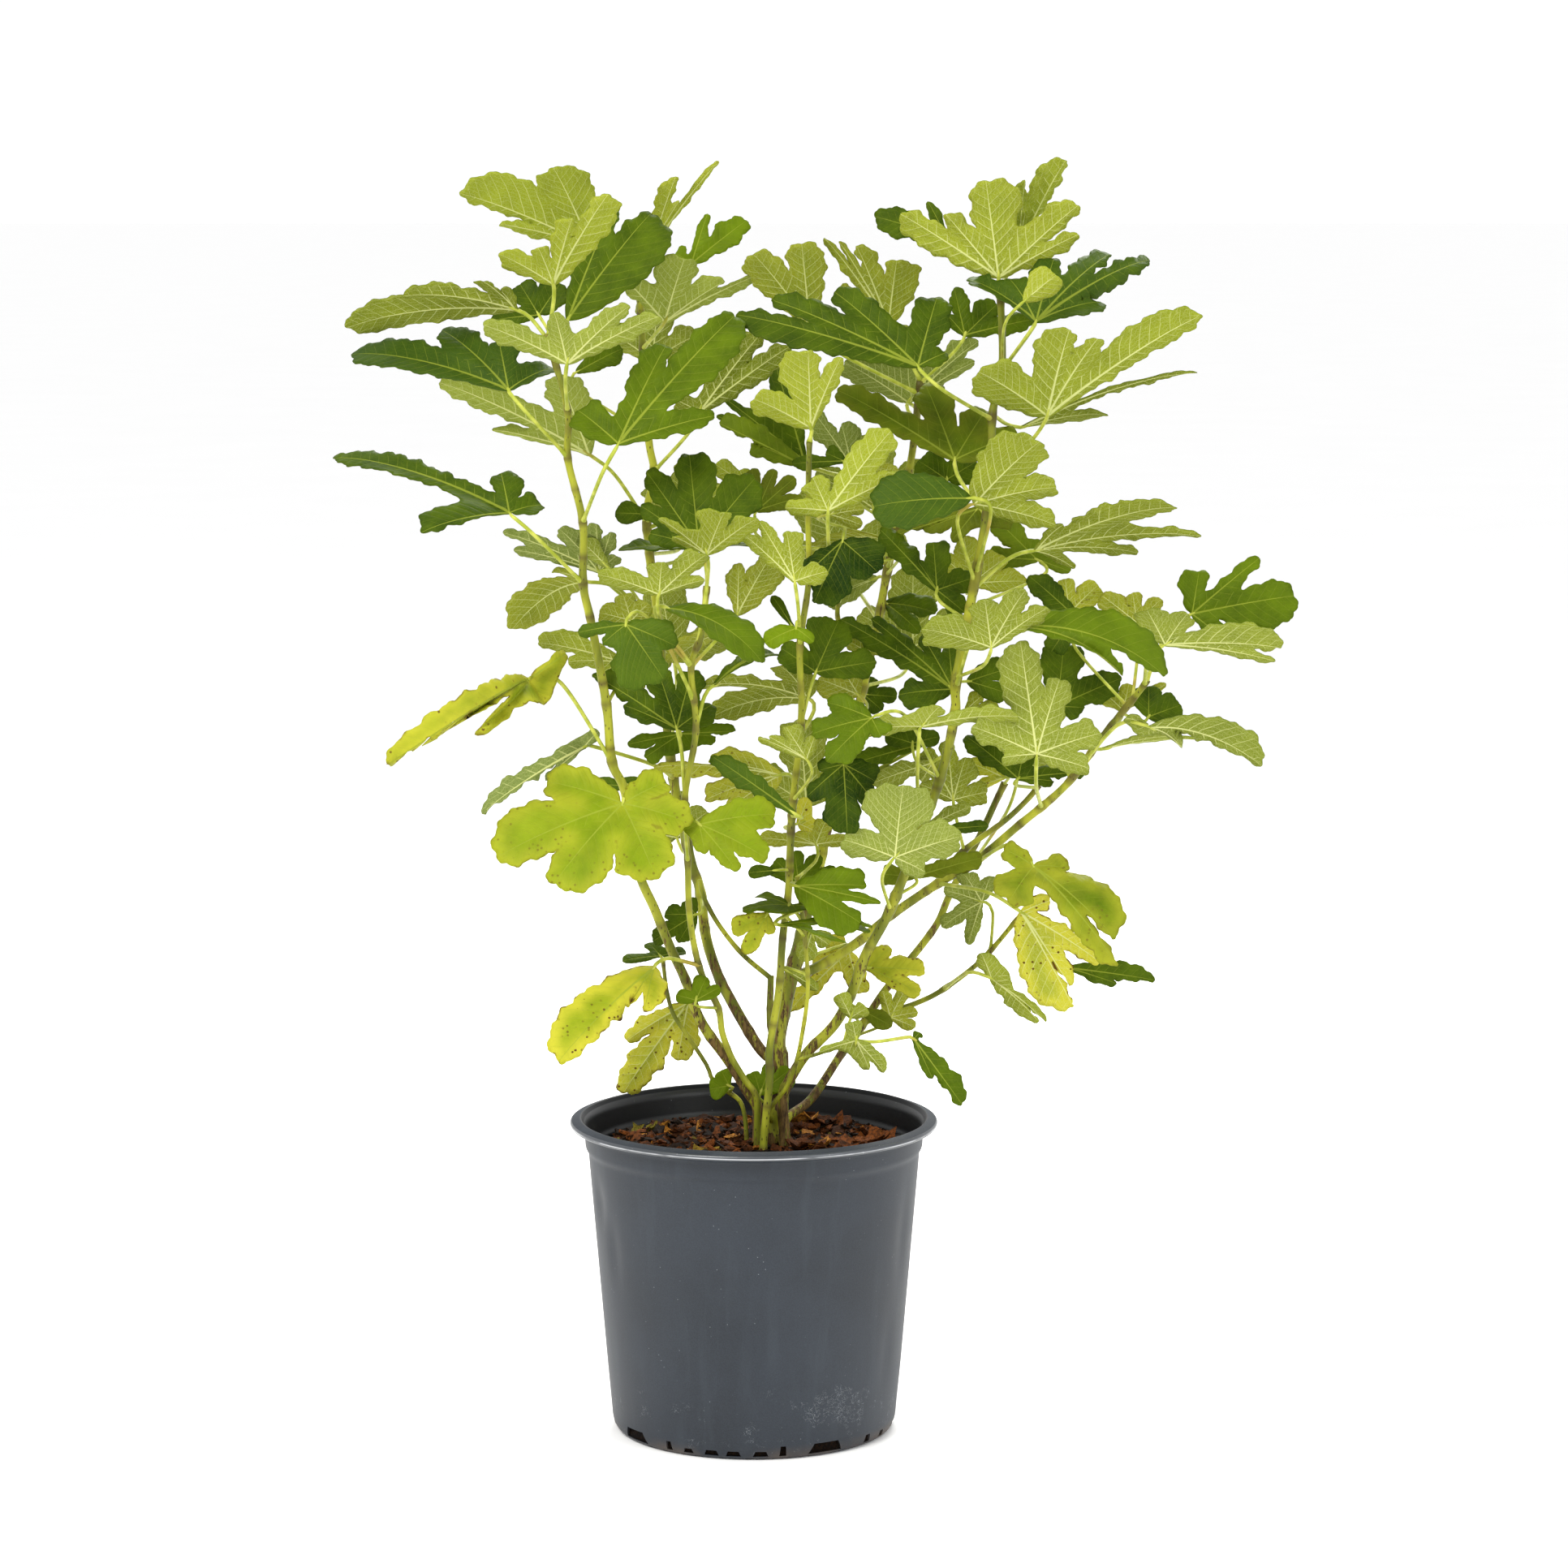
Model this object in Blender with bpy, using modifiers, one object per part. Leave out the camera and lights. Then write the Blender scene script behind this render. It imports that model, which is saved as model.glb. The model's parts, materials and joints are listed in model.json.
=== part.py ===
"""Potted hardy fig in a nursery pot, as a set of separate solids in metres, +Z up."""
import math

import bmesh
import bpy
from mathutils import Vector
from mathutils.bvhtree import BVHTree

# Driving sizes in metres
POT_HEIGHT = 0.241
RIM_RADIUS = 0.140
FOOT_RADIUS = 0.107
POT_WALL = 0.0020
WALL_TOP = 0.1262
FLOOR_THICK = 0.0030
SOIL_TOP = 0.2215
SOIL_GAP = 0.0003
HOLE_DEPTH = 0.030
HOLE_GAP = 0.0007
BLADE_THICK = 0.0008
BEND_CLEAR_GAP = 0.0009
POT_SIDES = 36
LARGE_LOBE = 0.050
LARGE_HALF = 0.0125
TINY_LOBE = 0.026
FULLNESS = 1.12
ROOM = 0.66
SINUS = 0.52
TAB_LENGTH = 0.0035
TAB_HALF = 0.0010

# The plant is laid out as it stands seen from this point: rows hold x and z in centimetres
# on the plane y = 0 and a depth y in centimetres, negative towards the viewer.
EYE = Vector((0.023, -3.6, 0.975))

# Directions that the upper side of a leaf faces
FACES = {
    "U": (0, -0.85, 0.5),
    "u": (0, -0.95, 0.3),
    "V": (0, 0.8, 0.6),
    "v": (0, 0.95, 0.3),
    "H": (0, -0.4, 0.9),
    "h": (0, 0.4, 0.9),
}

# Canes: points (x, z), depths (z, y), widths (z, width), foot (x, y) for one in the soil,
# or the cane and height that it grows from.
CANES = {
    "M": {
        "node": "trunk",
        "foot": (1.4, 0.0),
        "points": ((1.4, 23.2), (1.9, 25.1), (2, 28.3), (1.8, 29.9), (2.35, 32.7), (2.8, 34.6), (3.4, 37),
                   (4.3, 41), (5.1, 43.9), (5.5, 46.1), (6.6, 50.5), (7.6, 54), (8.6, 58.5), (9.4, 62),
                   (10.1, 65.9), (11.8, 74), (12.5, 80)),
        "depth": ((22, 0), (35, 1), (45, 3), (56, 5), (66, 5), (80, 4)),
        "width": ((22, 1.5), (35, 1.1), (46, 0.75), (80, 0.5)),
    },
    "M2": {
        "node": "trunk",
        "from": ("M", 29.9),
        "points": ((1.25, 31), (1.3, 34.9)),
        "depth": ((29, 0), (35, 0)),
        "width": ((29, 0.55), (35, 0.5)),
    },
    "I": {
        "node": "trunk",
        "from": ("M2", 34.7),
        "points": ((-0.9, 36.6), (-2.7, 38.9), (-3.8, 41), (-4.1, 42.3)),
        "depth": ((35, 0.2), (42, 1)),
        "width": ((35, 0.4), (42, 0.35)),
    },
    "C": {
        "node": "trunk",
        "from": ("M", 28),
        "points": ((0.6, 29.1), (-0.8, 31.3), (-1.9, 33.3), (-2.7, 34.9), (-3.6, 37.8), (-4.1, 41.6),
                   (-4.8, 43.9), (-6.2, 51), (-7.2, 62), (-8, 69.4), (-7.45, 73.1), (-7.9, 76.3),
                   (-8.5, 87)),
        "depth": ((28, 0.2), (35, 1.4), (45, 3), (60, 5), (70, 6), (87, 6)),
        "width": ((28, 0.85), (45, 0.75), (87, 0.5)),
    },
    "F": {
        "node": "trunk",
        "from": ("M", 34.8),
        "points": ((4.9, 35.6), (7.8, 37.4), (10.5, 39.6), (14.3, 42.2), (16.5, 43.4), (19.9, 46.3),
                   (23.6, 49.5), (26.5, 53.4), (28.9, 56.4), (29.7, 57.5)),
        "depth": ((34, 1), (37.4, 3), (40.7, 4.4), (43.4, 3), (49.5, 0.5), (57.5, -2)),
        "width": ((34, 0.8), (44, 0.65), (57.5, 0.45)),
    },
    "F2": {
        "node": "trunk",
        "from": ("F", 41.7),
        "points": ((15.8, 44.4), (18.9, 46.7), (20.6, 48.3), (21.6, 49.5)),
        "depth": ((41, 4.5), (50, 5.5)),
        "width": ((41, 0.5), (50, 0.4)),
    },
    "J": {
        "node": "trunk",
        "from": ("M", 23.4),
        "points": ((1.15, 24.4), (1.9, 25.5), (2.5, 26.3), (3.1, 27.8), (3.6, 29.9), (4.1, 33.7),
                   (3.9, 37.7), (3.4, 41.7), (3.3, 42.5)),
        "depth": ((23.4, -0.5), (24.4, -2.3), (26.3, -3.1), (30, -4), (34, -5), (42.5, -6)),
        "width": ((23, 0.35), (42.5, 0.3)),
    },
    "T": {
        "node": "trunk",
        "from": ("J", 28.4),
        "points": ((5, 28.9), (7.6, 29.9)),
        "depth": ((28.4, -3.4), (29.9, -5)),
        "width": ((28, 0.3), (30, 0.25)),
    },
    "Q": {
        "node": "trunk",
        "from": ("M", 60.5),
        "points": ((7.6, 61.2), (6.4, 62), (6.4, 64)),
        "depth": ((60.5, 5), (61.2, 2.5), (62, 0), (64, -1.5)),
        "width": ((60, 0.4), (64, 0.35)),
    },
    "A": {
        "node": "cane_front",
        "foot": (0.75, -3.4),
        "points": ((1.2, 26.7), (1.2, 29.2), (1.9, 33.7), (2.2, 37.8), (2.65, 41.6),
                   (2.9, 47.2), (3.6, 54.5), (3.5, 60), (4.15, 65), (4.1, 70), (4.2, 75.4)),
        "depth": ((22, -3.4), (27, -3.6), (45, -4.4), (60, -6), (75.4, -7)),
        "width": ((22, 0.6), (48, 0.55), (75.4, 0.4)),
    },
    "B": {
        "node": "cane_left",
        "foot": (0.35, -1.6),
        "points": ((0.3, 24.6), (-0.3, 25.7), (-1.9, 28.3), (-3.5, 30.5), (-4.4, 32.2),
                   (-5.2, 34.6), (-6.3, 37), (-7.5, 40), (-8.8, 43.2), (-9.7, 48.9), (-10.7, 51.3),
                   (-11.1, 55.7), (-12.2, 61.8), (-12.8, 64.8), (-12.8, 69.4), (-13.9, 74.2),
                   (-13.9, 77.8), (-15.4, 83.5)),
        "depth": ((22, -1.6), (35, -3), (45, -5), (55, -6), (65, -7), (83.5, -8)),
        "width": ((22, 0.9), (35, 0.75), (60, 0.65), (83.5, 0.45)),
    },
    "D": {
        "node": "cane_inner_left",
        "foot": (0.25, -2.45),
        "points": ((0.2, 25.4), (-0.65, 26.8), (-1.7, 28.6), (-2.4, 30.5), (-2.7, 32.4),
                   (-3.9, 34.9), (-4.5, 37.1), (-4.9, 40), (-5, 43.8), (-5.2, 48.5), (-4.35, 53.7),
                   (-4.7, 58.5), (-3.9, 61), (-3.5, 64.6)),
        "depth": ((22, -2.45), (26, -2.8), (30, -3.4), (35.7, -4.4), (40, -6), (50, -8), (60, -9)),
        "width": ((22, 0.5), (64.6, 0.45)),
    },
    "E": {
        "node": "cane_right",
        "foot": (2.35, -1.35),
        "points": ((2.2, 25.5), (3.1, 27.5), (4.2, 29.1), (6.2, 31.2), (7.5, 33.7), (8.5, 36.5),
                   (10.4, 40.1), (12.9, 46.7), (14.3, 50.7), (15.2, 55), (15.3, 57.7), (16.6, 64.7),
                   (17.8, 72.4), (17.9, 77.5), (18.6, 81), (18.4, 87.5)),
        "depth": ((22, -1.35), (31, -2), (40, -3), (50, -4), (60, -5), (70, -5), (80, -4), (87.5, -3)),
        "width": ((22, 0.85), (40, 0.75), (65, 0.65), (87.5, 0.5)),
    },
    "G": {
        "node": "cane_back",
        "foot": (2.3, 4.0),
        "points": ((4.4, 25.4), (6.7, 28.9), (8.2, 31), (9.8, 33.5), (11.3, 35.4), (13.8, 38.7),
                   (14.9, 41.2), (17.2, 45.8), (18.2, 48), (19, 49.7)),
        "depth": ((22, 4), (29, 7.5), (35, 8), (50, 9)),
        "width": ((22, 0.7), (50, 0.5)),
    },
    "H": {
        "node": "cane_back",
        "from": ("G", 31.2),
        "points": ((10, 32), (12.4, 32.8), (14.5, 33.9), (17.4, 36.2), (20.2, 39.5)),
        "depth": ((31, 7.8), (33, 7), (36, 5), (39.5, 4)),
        "width": ((31, 0.45), (39.5, 0.35)),
    },
    "K": {
        "node": "shoot_left",
        "foot": (-0.55, -0.85),
        "points": ((-0.9, 24.9), (-1.9, 25.9), (-3.1, 26.8), (-3.6, 28), (-5, 30.2),
                   (-6.1, 31.9), (-6.6, 33.7), (-6.9, 36.1)),
        "depth": ((22, -0.85), (25, -0.6), (28, 0.2), (36, 0.6)),
        "width": ((22, 0.35), (36, 0.3)),
    },
}

# Leaves: name, cane, height on it, base (x, z, y), way the upper side faces,
# lobes (tip x, tip z, width), and how far the blade arches for its length.
LEAVES = (
    ("A1", "C", 86.5, (-12.1, 90, 6), "V", ((-21.8, 94, 5), (-14.8, 95.8, 3.6),
        (-18.7, 91.6, 1.4)), 0.04),
    ("A3", "B", 83.2, (-14.9, 87.2, -8), "V", ((-10.8, 93.9, 3), (-13.5, 92.1, 1.8), (-18.8, 89.4, 1.8),
        (-16, 89.9, 1.6)), 0.04),
    ("A4", "B", 83, (-17.7, 85.3, -7), "h", ((-30.3, 84.1, 3.2), (-26.2, 86.4, 1.8), (-20.3, 87.5, 2),
        (-18.9, 86.8, 1.2)), 0.06),
    ("A5", "B", 82, (-16, 84.9, -3), "u", ((-19.5, 84.5, 1.2), (-17.4, 87.2, 2.6),
        (-14.4, 87.2, 2.2)), 0.04),
    ("A6", "B", 77.8, (-13.9, 81.3, -12), "V", ((-20.1, 84.2, 2), (-14.8, 85, 1.4), (-9.3, 85.6, 1.6),
        (-7, 84.9, 1.8)), 0.04),
    ("A8", "B", 74.3, (-18.3, 79.3, -9), "H", ((-29.9, 82.1, 3), (-23.2, 83.8, 2.4), (-19, 83, 2.2),
        (-14.9, 81, 1.6)), 0.06),
    ("A7b", "C", 76, (-13.1, 80.7, 5), "u", ((-9.8, 82.4, 1.7),), 0.04),
    ("A9", "C", 69.4, (-12.3, 74.5, 3), "V", ((-23.5, 80, 2.4), (-14.6, 80.4, 2.8),
        (-19.5, 76.4, 0.8)), 0.04),
    ("A10", "B", 69.4, (-10.1, 75.3, -12), "U", ((-1.3, 85, 5.6, 0.25), (-6.5, 82.7, 2.4),
        (-13.1, 77.8, 2.6), (-3, 77.4, 1.6)), 0.04),
    ("A11", "C", 73.2, (-4, 77.7, 3), "v", ((0.6, 83.6, 2.4), (2.7, 82.6, 2), (-5.8, 78.6, 1.6)), 0.04),
    ("A12", "B", 81, (-13.8, 84.6, -4), "U", ((-7.6, 92.5, 4.6, -0.25), (-10.3, 93.1, 2.4)), 0.04),
    ("A14", "C", 86.5, (-7.6, 89.8, 6), "V", ((-5.8, 95.1, 1.6), (-2.6, 96.3, 2.2, 0.8),
        (-5.5, 93.4, 0.8), (-7.4, 92.1, 1.2)), 0.04),
    ("A15", "C", 82.4, (-6.6, 84.4, 2), "V", ((-5.1, 89.2, 4.2), (-2.2, 87.4, 2.2), (0.6, 88, 1.2),
        (-11.2, 89.1, 1.6)), 0.04),
    ("A16", "C", 84, (-4.6, 88.7, 9), "u", ((-0.5, 91.9, 1.8), (-5.8, 89.5, 1.4),
        (-3.4, 92.4, 0.7)), 0.04),
    ("A17", "C", 85, (-8.3, 88, 9), "u", ((-9, 89.6, 0.8), (-7.6, 89, 0.8)), 0.04),
    ("A18", "M", 79, (4.2, 84.2, 2), "V", ((0, 89.5, 3), (3.6, 90.3, 2.8)), 0.04),
    ("A19", "M", 80, (10.1, 84.2, 4), "V", ((7.7, 90.1, 3.6), (10.7, 89, 3.4), (6.7, 87.2, 1.6),
        (6.4, 90.4, 1), (5.3, 90.7, 0.8)), 0.04),
    ("A20", "E", 77.1, (12.3, 81.1, -8), "U", ((-1.3, 85, 3), (1.3, 86.1, 2.2), (6, 86.7, 2.4),
        (13.7, 86.2, 2.6), (14.4, 82.1, 1.4)), 0.04),
    ("A21", "A", 75.4, (4.3, 76.5, -7), "V", ((4.1, 82.3, 3.8), (0, 78.7, 2.4), (6.5, 81.7, 1.2)), 0.04),
    ("A22", "M", 77, (11.6, 78.4, 6), "V", ((6.8, 81.4, 2.4), (16.8, 83, 2), (16.6, 81.5, 1)), 0.04),
    ("A23", "M", 73, (3.8, 74, 8), "u", ((1.5, 81.7, 1.6), (-2.7, 77.4, 0.9), (-2.4, 78.9, 0.7)), 0.04),
    ("A24", "E", 87.2, (18.3, 87.7, -3), "v", ((17.3, 94.9, 4.4), (11, 92.4, 2.4), (14.3, 92.4, 1.4),
        (24.2, 93.1, 2.4), (24.2, 90.9, 1.4)), 0.04),
    ("A24b", "E", 86, (14.5, 90.5, 2), "u", ((9.1, 92.2, 2), (13, 93.3, 0.7)), 0.04),
    ("A25", "E", 87, (19.8, 89.8, 0), "V", ((18.5, 93.5, 1.4), (20.2, 94.9, 2.2), (23.2, 96.4, 1.8, 0.5),
        (20.2, 92.3, 0.9)), 0.04),
    ("A26", "E", 80.7, (21.1, 84.4, -8), "H", ((29.6, 89.1, 3, 0.25), (26, 85.9, 2.4), (22.4, 89.1, 2.4),
        (26.6, 89.5, 2), (19.1, 87.6, 1.8), (16, 87.6, 1.4)), 0.06),
    ("A26b", "E", 81, (20.3, 86, -10), "v", ((22.6, 87.9, 2.2),), 0.04),
    ("A27", "M", 79.8, (15.8, 83.4, 5), "u", ((15, 86.8, 1.6), (14.4, 85, 1), (21, 84.6, 1.4),
        (18.2, 85.7, 2.2)), 0.04),
    ("A29", "E", 72.4, (22, 77.4, -8), "V", ((23.6, 83.9, 3.6), (33.4, 85, 4.4, 0.6), (25.7, 83.2, 2),
        (16.9, 80.7, 3.6)), 0.04),
    ("A30", "E", 77.5, (20.3, 76.6, 0), "h", ((26.3, 77.6, 2.8), (33.1, 80.8, 0.8)), 0.04),
    ("A32", "E", 70, (15.1, 74.1, -2), "U", ((6.2, 79.4, 2), (12.9, 79.7, 2.4), (19.8, 76, 2.6),
        (17.4, 77.8, 2.4)), 0.04),
    ("A33", "M", 72, (14.5, 72.6, 7), "u", ((12.4, 74, 2.6), (16.8, 74, 2.8)), 0.04),
    ("LA", "B", 64.8, (-18.3, 70.1, -9), "H", ((-31.4, 74.4, 1.9), (-24.9, 68.7, 2, -0.6),
        (-18.9, 73.1, 2.6), (-15.9, 70.7, 2)), 0.06),
    ("LB", "C", 62, (-11.6, 65.7, 1), "V", ((-18.8, 68.7, 1.2), (-18.1, 67.4, 1), (-14.5, 68.9, 2),
        (-11.8, 69.3, 2.2), (-10.7, 68.7, 1.4), (-10.3, 66.9, 1.4)), 0.04),
    ("LB2", "C", 61, (-11, 66.1, 0), "v", ((-12.9, 68, 1.4),), 0.04),
    ("LC", "C", 61, (-12.8, 64.9, 1), (0.1, 0.6, 0.8), ((-18.1, 61.5, 3.2), (-15.1, 65.7, 1)), 0.12),
    ("Mb", "C", 60, (-9.2, 62, -1), "v", ((-11.6, 62.6, 2), (-9.8, 64, 2), (-7.9, 63.3, 1.5)), 0.04),
    ("LD", "B", 55.6, (-10, 58.9, -3), "V", ((-16.3, 60.4, 2.4), (-14.1, 58.9, 1.4),
        (-8.5, 56.8, 1.3)), 0.04),
    ("LG", "D", 58.5, (-9.6, 61.7, -13), "u", ((-6.8, 57.6, 5.2), (-11.3, 60.3, 2.4), (-5.9, 60.1, 2.4),
        (-13.2, 61.1, 0.9)), 0.06),
    ("LE", "B", 51.3, (-17, 57.5, -9), "H", ((-27.8, 51, 1.4, -0.7), (-23.5, 53.4, 1.2, -0.5),
        (-21, 53.4, 1.2), (-14.1, 59.5, 0.8)), 0.28),
    ("LF", "C", 50, (-12.8, 52.4, -3), "u", ((-20.4, 47.5, 1, -0.6), (-15.7, 49.9, 1, -0.4),
        (-11.7, 53.6, 0.8)), 0.16),
    ("LF2", "C", 48, (-9.5, 49.4, 5), "u", ((-12, 49.6, 1.1), (-8.2, 49.8, 0.8)), 0.04),
    ("LH", "D", 48.3, (-5.8, 53.8, -7), "U", ((-12.1, 57.9, 2), (-9.8, 55.6, 1.4), (-7.2, 58.2, 3),
        (-3.2, 55.6, 2.4), (-4.6, 58.3, 2.4)), 0.04),
    ("LI", "C", 52, (-5.5, 53.4, -2), "u", ((-9.5, 52.6, 0.9), (-8.2, 51.6, 1.6), (-2.8, 53.2, 1.2),
        (-1.3, 53.6, 1.1)), 0.04),
    ("LJ", "B", 43.2, (-9.9, 48.1, -12), "U", ((-15.7, 49.8, 3), (-19.5, 44, 4.8), (-15.2, 41.9, 5),
        (-7.4, 42.4, 4.6), (-4.8, 46.6, 3), (-6.5, 49.8, 2.6)), 0.06),
    ("LK", "D", 43.7, (-4.1, 46.5, -12), "U", ((-1.3, 43, 3.6), (1, 43.9, 2.6), (1.7, 47.3, 2.6),
        (-7.3, 48, 0.7), (-3.7, 44.3, 1.2)), 0.06),
    ("LL", "C", 41, (-4.4, 39.6, 0), "u", ((-7.7, 37.5, 1.6), (-6.7, 39.6, 1.6), (-5.2, 40.7, 1.3),
        (-5.7, 37.5, 1.3)), 0.04),
    ("LM", "K", 36, (-7.1, 36.4, 0.6), "H", ((-10, 36, 0.9), (-8, 37.4, 1), (-5.1, 36.7, 0.8)), 0.04),
    ("LN", "D", 35.7, (-7.6, 35.5, -7), (-0.2, -0.6, 0.75), ((-14.9, 28.3, 3, -0.35), (-8.3, 32.3, 2.4),
        (-9.4, 32.7, 1.4)), 0.07),
    ("LO", "D", 33.5, (-5, 32.8, 0.8), "v", ((-9.7, 29.9, 1.4), (-10, 25.8, 4.6, 0.3),
        (-5.8, 28.4, 2.4)), 0.04),
    ("LLs", "D", 32.4, (-4.4, 33, -1.5), "u", ((-5.9, 33.4, 1), (-3.6, 34.8, 1.5), (-2.6, 34, 1)), 0.04),
    ("LQ", "K", 25.9, (-1.9, 26.4, -1), "u", ((-3.4, 26.1, 1.6), (-2.5, 27.6, 1.2)), 0.04),
    ("LR", "M", 24.5, (0.5, 25.8, -1.9), "u", ((2.8, 27.7, 2.2), (0, 27.5, 1.6), (1.3, 28.1, 2)), 0.04),
    ("M1", "D", 60, (-4.1, 67.6, -9), "u", ((-4.8, 74.6, 4.2), (-8, 73.2, 3), (0.1, 72.7, 3),
        (-8.5, 70.7, 1.8), (-7.9, 68.6, 1.4)), 0.04),
    ("M2a", "D", 64.4, (-3.5, 67, -12), "V", ((-7, 69.7, 0.9), (-6.1, 68.4, 0.9), (-2.2, 70.2, 3.2),
        (0.2, 69.7, 1.8)), 0.04),
    ("M3", "D", 58.6, (-7.1, 64, -14), "V", ((-3.6, 67, 2.8), (-3.7, 65.1, 1.1), (-6.9, 66.4, 1.6),
        (-11.6, 65.5, 1.8)), 0.04),
    ("M5", "C", 66, (-3.8, 67.3, 2), "H", ((-10, 67.4, 1.6), (0.2, 67.7, 0.8)), 0.05),
    ("M6", "D", 56, (-6.4, 62.9, -13), (0.2, -0.6, 0.75), ((0.6, 59, 3),), 0.14),
    ("M7", "D", 62.5, (-1.2, 62.5, -5), "v", ((1.3, 66.9, 3), (-1.1, 66.2, 1.6)), 0.04),
    ("M8", "A", 60.2, (3.1, 65, -11), "v", ((-0.8, 68.6, 1), (0.5, 69.4, 2), (2.5, 68.7, 2),
        (5.4, 65.7, 1.7)), 0.04),
    ("M9", "Q", 64, (6.7, 68, -3), "u", ((4.6, 63.4, 3.6), (9.3, 65.7, 3), (3.5, 65, 1.4)), 0.05),
    ("M10", "M", 66, (9.6, 68.2, -1), "h", ((4.2, 66.7, 2.2),), 0.12),
    ("M11", "A", 54, (4.7, 58.1, -4.5), "u", ((2.1, 59.9, 2), (6.4, 62, 3.6), (9.2, 58.9, 2)), 0.04),
    ("M13", "E", 50, (8.9, 54.6, -10), "U", ((4.4, 53.4, 3.4), (5.6, 55.8, 1.8), (5.6, 51.4, 2.6),
        (9.6, 53.2, 1.8)), 0.05),
    ("M14", "A", 48.4, (4, 51.5, -9), "v", ((1.2, 53.2, 1.6), (2.4, 54, 2.4), (0.4, 53.2, 0.8),
        (4.6, 53.2, 1)), 0.04),
    ("M15", "D", 58.5, (-2.4, 61.1, -5), "h", ((-6.2, 58.9, 2.4),), 0.06),
    ("M16", "A", 53, (4.1, 56.1, -2), "h", ((-4.3, 57, 1.3), (-3.1, 54.8, 2.6), (2, 58.6, 3),
        (4.4, 57.5, 1)), 0.1),
    ("M17", "D", 53.8, (-2.9, 57.1, -8), "H", ((1.8, 59.4, 1.4), (2.8, 59.3, 0.6)), 0.14),
    ("M18", "A", 60.2, (3.2, 61.4, -9), "u", ((0.9, 60.3, 1.4), (4.5, 60.4, 0.8)), 0.14),
    ("M19", "A", 61, (2.9, 61.6, -3), "u", ((1.4, 63.9, 0.7),), 0.04),
    ("N2", "Q", 63.5, (5.6, 70.3, -9), "v", ((2.5, 70.5, 1.3), (4.5, 72.7, 2.4), (10.3, 76.3, 2.4),
        (11, 72.9, 1.4)), 0.04),
    ("N3", "M", 71, (6.8, 74, -1), "u", ((2.9, 73.8, 1), (5.4, 74.6, 1.4)), 0.04),
    ("N4", "M", 70, (7.4, 73.6, 1), "v", ((4.6, 77.6, 2), (6.6, 76.8, 2.2)), 0.04),
    ("N5", "M", 69, (7.8, 72.6, 0), "v", ((9.6, 74.9, 1.8), (10.8, 73.3, 1.6)), 0.04),
    ("N6", "M", 67, (0.3, 70.3, -3), "u", ((-0.1, 73.4, 1.6), (1.6, 73.3, 2), (3.2, 72.8, 1.6),
        (3.6, 71.3, 1.2)), 0.04),
    ("N7", "C", 69, (-0.6, 72.2, 3), "v", ((-2.9, 73.8, 1.4), (-1, 73.3, 1.2), (-3.2, 71.3, 1.2)), 0.04),
    ("N8", "C", 69.4, (-8, 70, 4), "u", ((-10.3, 70.1, 1.6),), 0.04),
    ("N10", "M", 68, (5.8, 70, -3), "v", ((7.6, 71.8, 2), (8.3, 70.4, 1.6), (8.2, 69.2, 1)), 0.04),
    ("N13", "M", 65.5, (9.8, 66.5, -1), "v", ((8.3, 66.2, 1.6),), 0.04),
    ("N14", "M", 62, (9.2, 65.2, 7), "v", ((5.3, 63.4, 1.8), (7.5, 64.6, 1.5)), 0.04),
    ("N15", "M", 58.5, (8.5, 59.7, 0), "v", ((7.2, 60.4, 1.2), (11.2, 59.9, 1.2)), 0.04),
    ("N16", "M", 54, (7.9, 56.4, 0), "v", ((4.9, 57.6, 2.5), (6.5, 58.6, 2)), 0.04),
    ("N17", "M", 55, (8.3, 56.4, 7), "u", ((9.2, 57.6, 1.6), (10.8, 56.2, 1.4), (9.7, 55.2, 1.4)), 0.04),
    ("N18", "E", 50, (12, 52.7, 2), "u", ((10, 53.3, 1.3), (14, 53.2, 1.2)), 0.04),
    ("P11", "M", 49, (12.6, 52.6, 3), "u", ((7, 51, 1.3),), 0.04),
    ("S1", "M", 50, (6.8, 51.1, -8), "u", ((7.1, 45.8, 4.6), (9.7, 47.5, 2.4), (9.2, 49.8, 2),
        (4.1, 48.7, 2.6), (4.9, 50.6, 1.4)), 0.05),
    ("S2", "A", 48.4, (2, 50.3, -1), "V", ((-2.3, 47.3, 3), (-3.4, 51.3, 2.4), (-7.5, 51, 2),
        (-3.7, 48.4, 2.4)), 0.05),
    ("S2n", "A", 47.2, (3, 47.4, -9), "u", ((-3.1, 51.7, 1.4),), 0.04),
)
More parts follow.
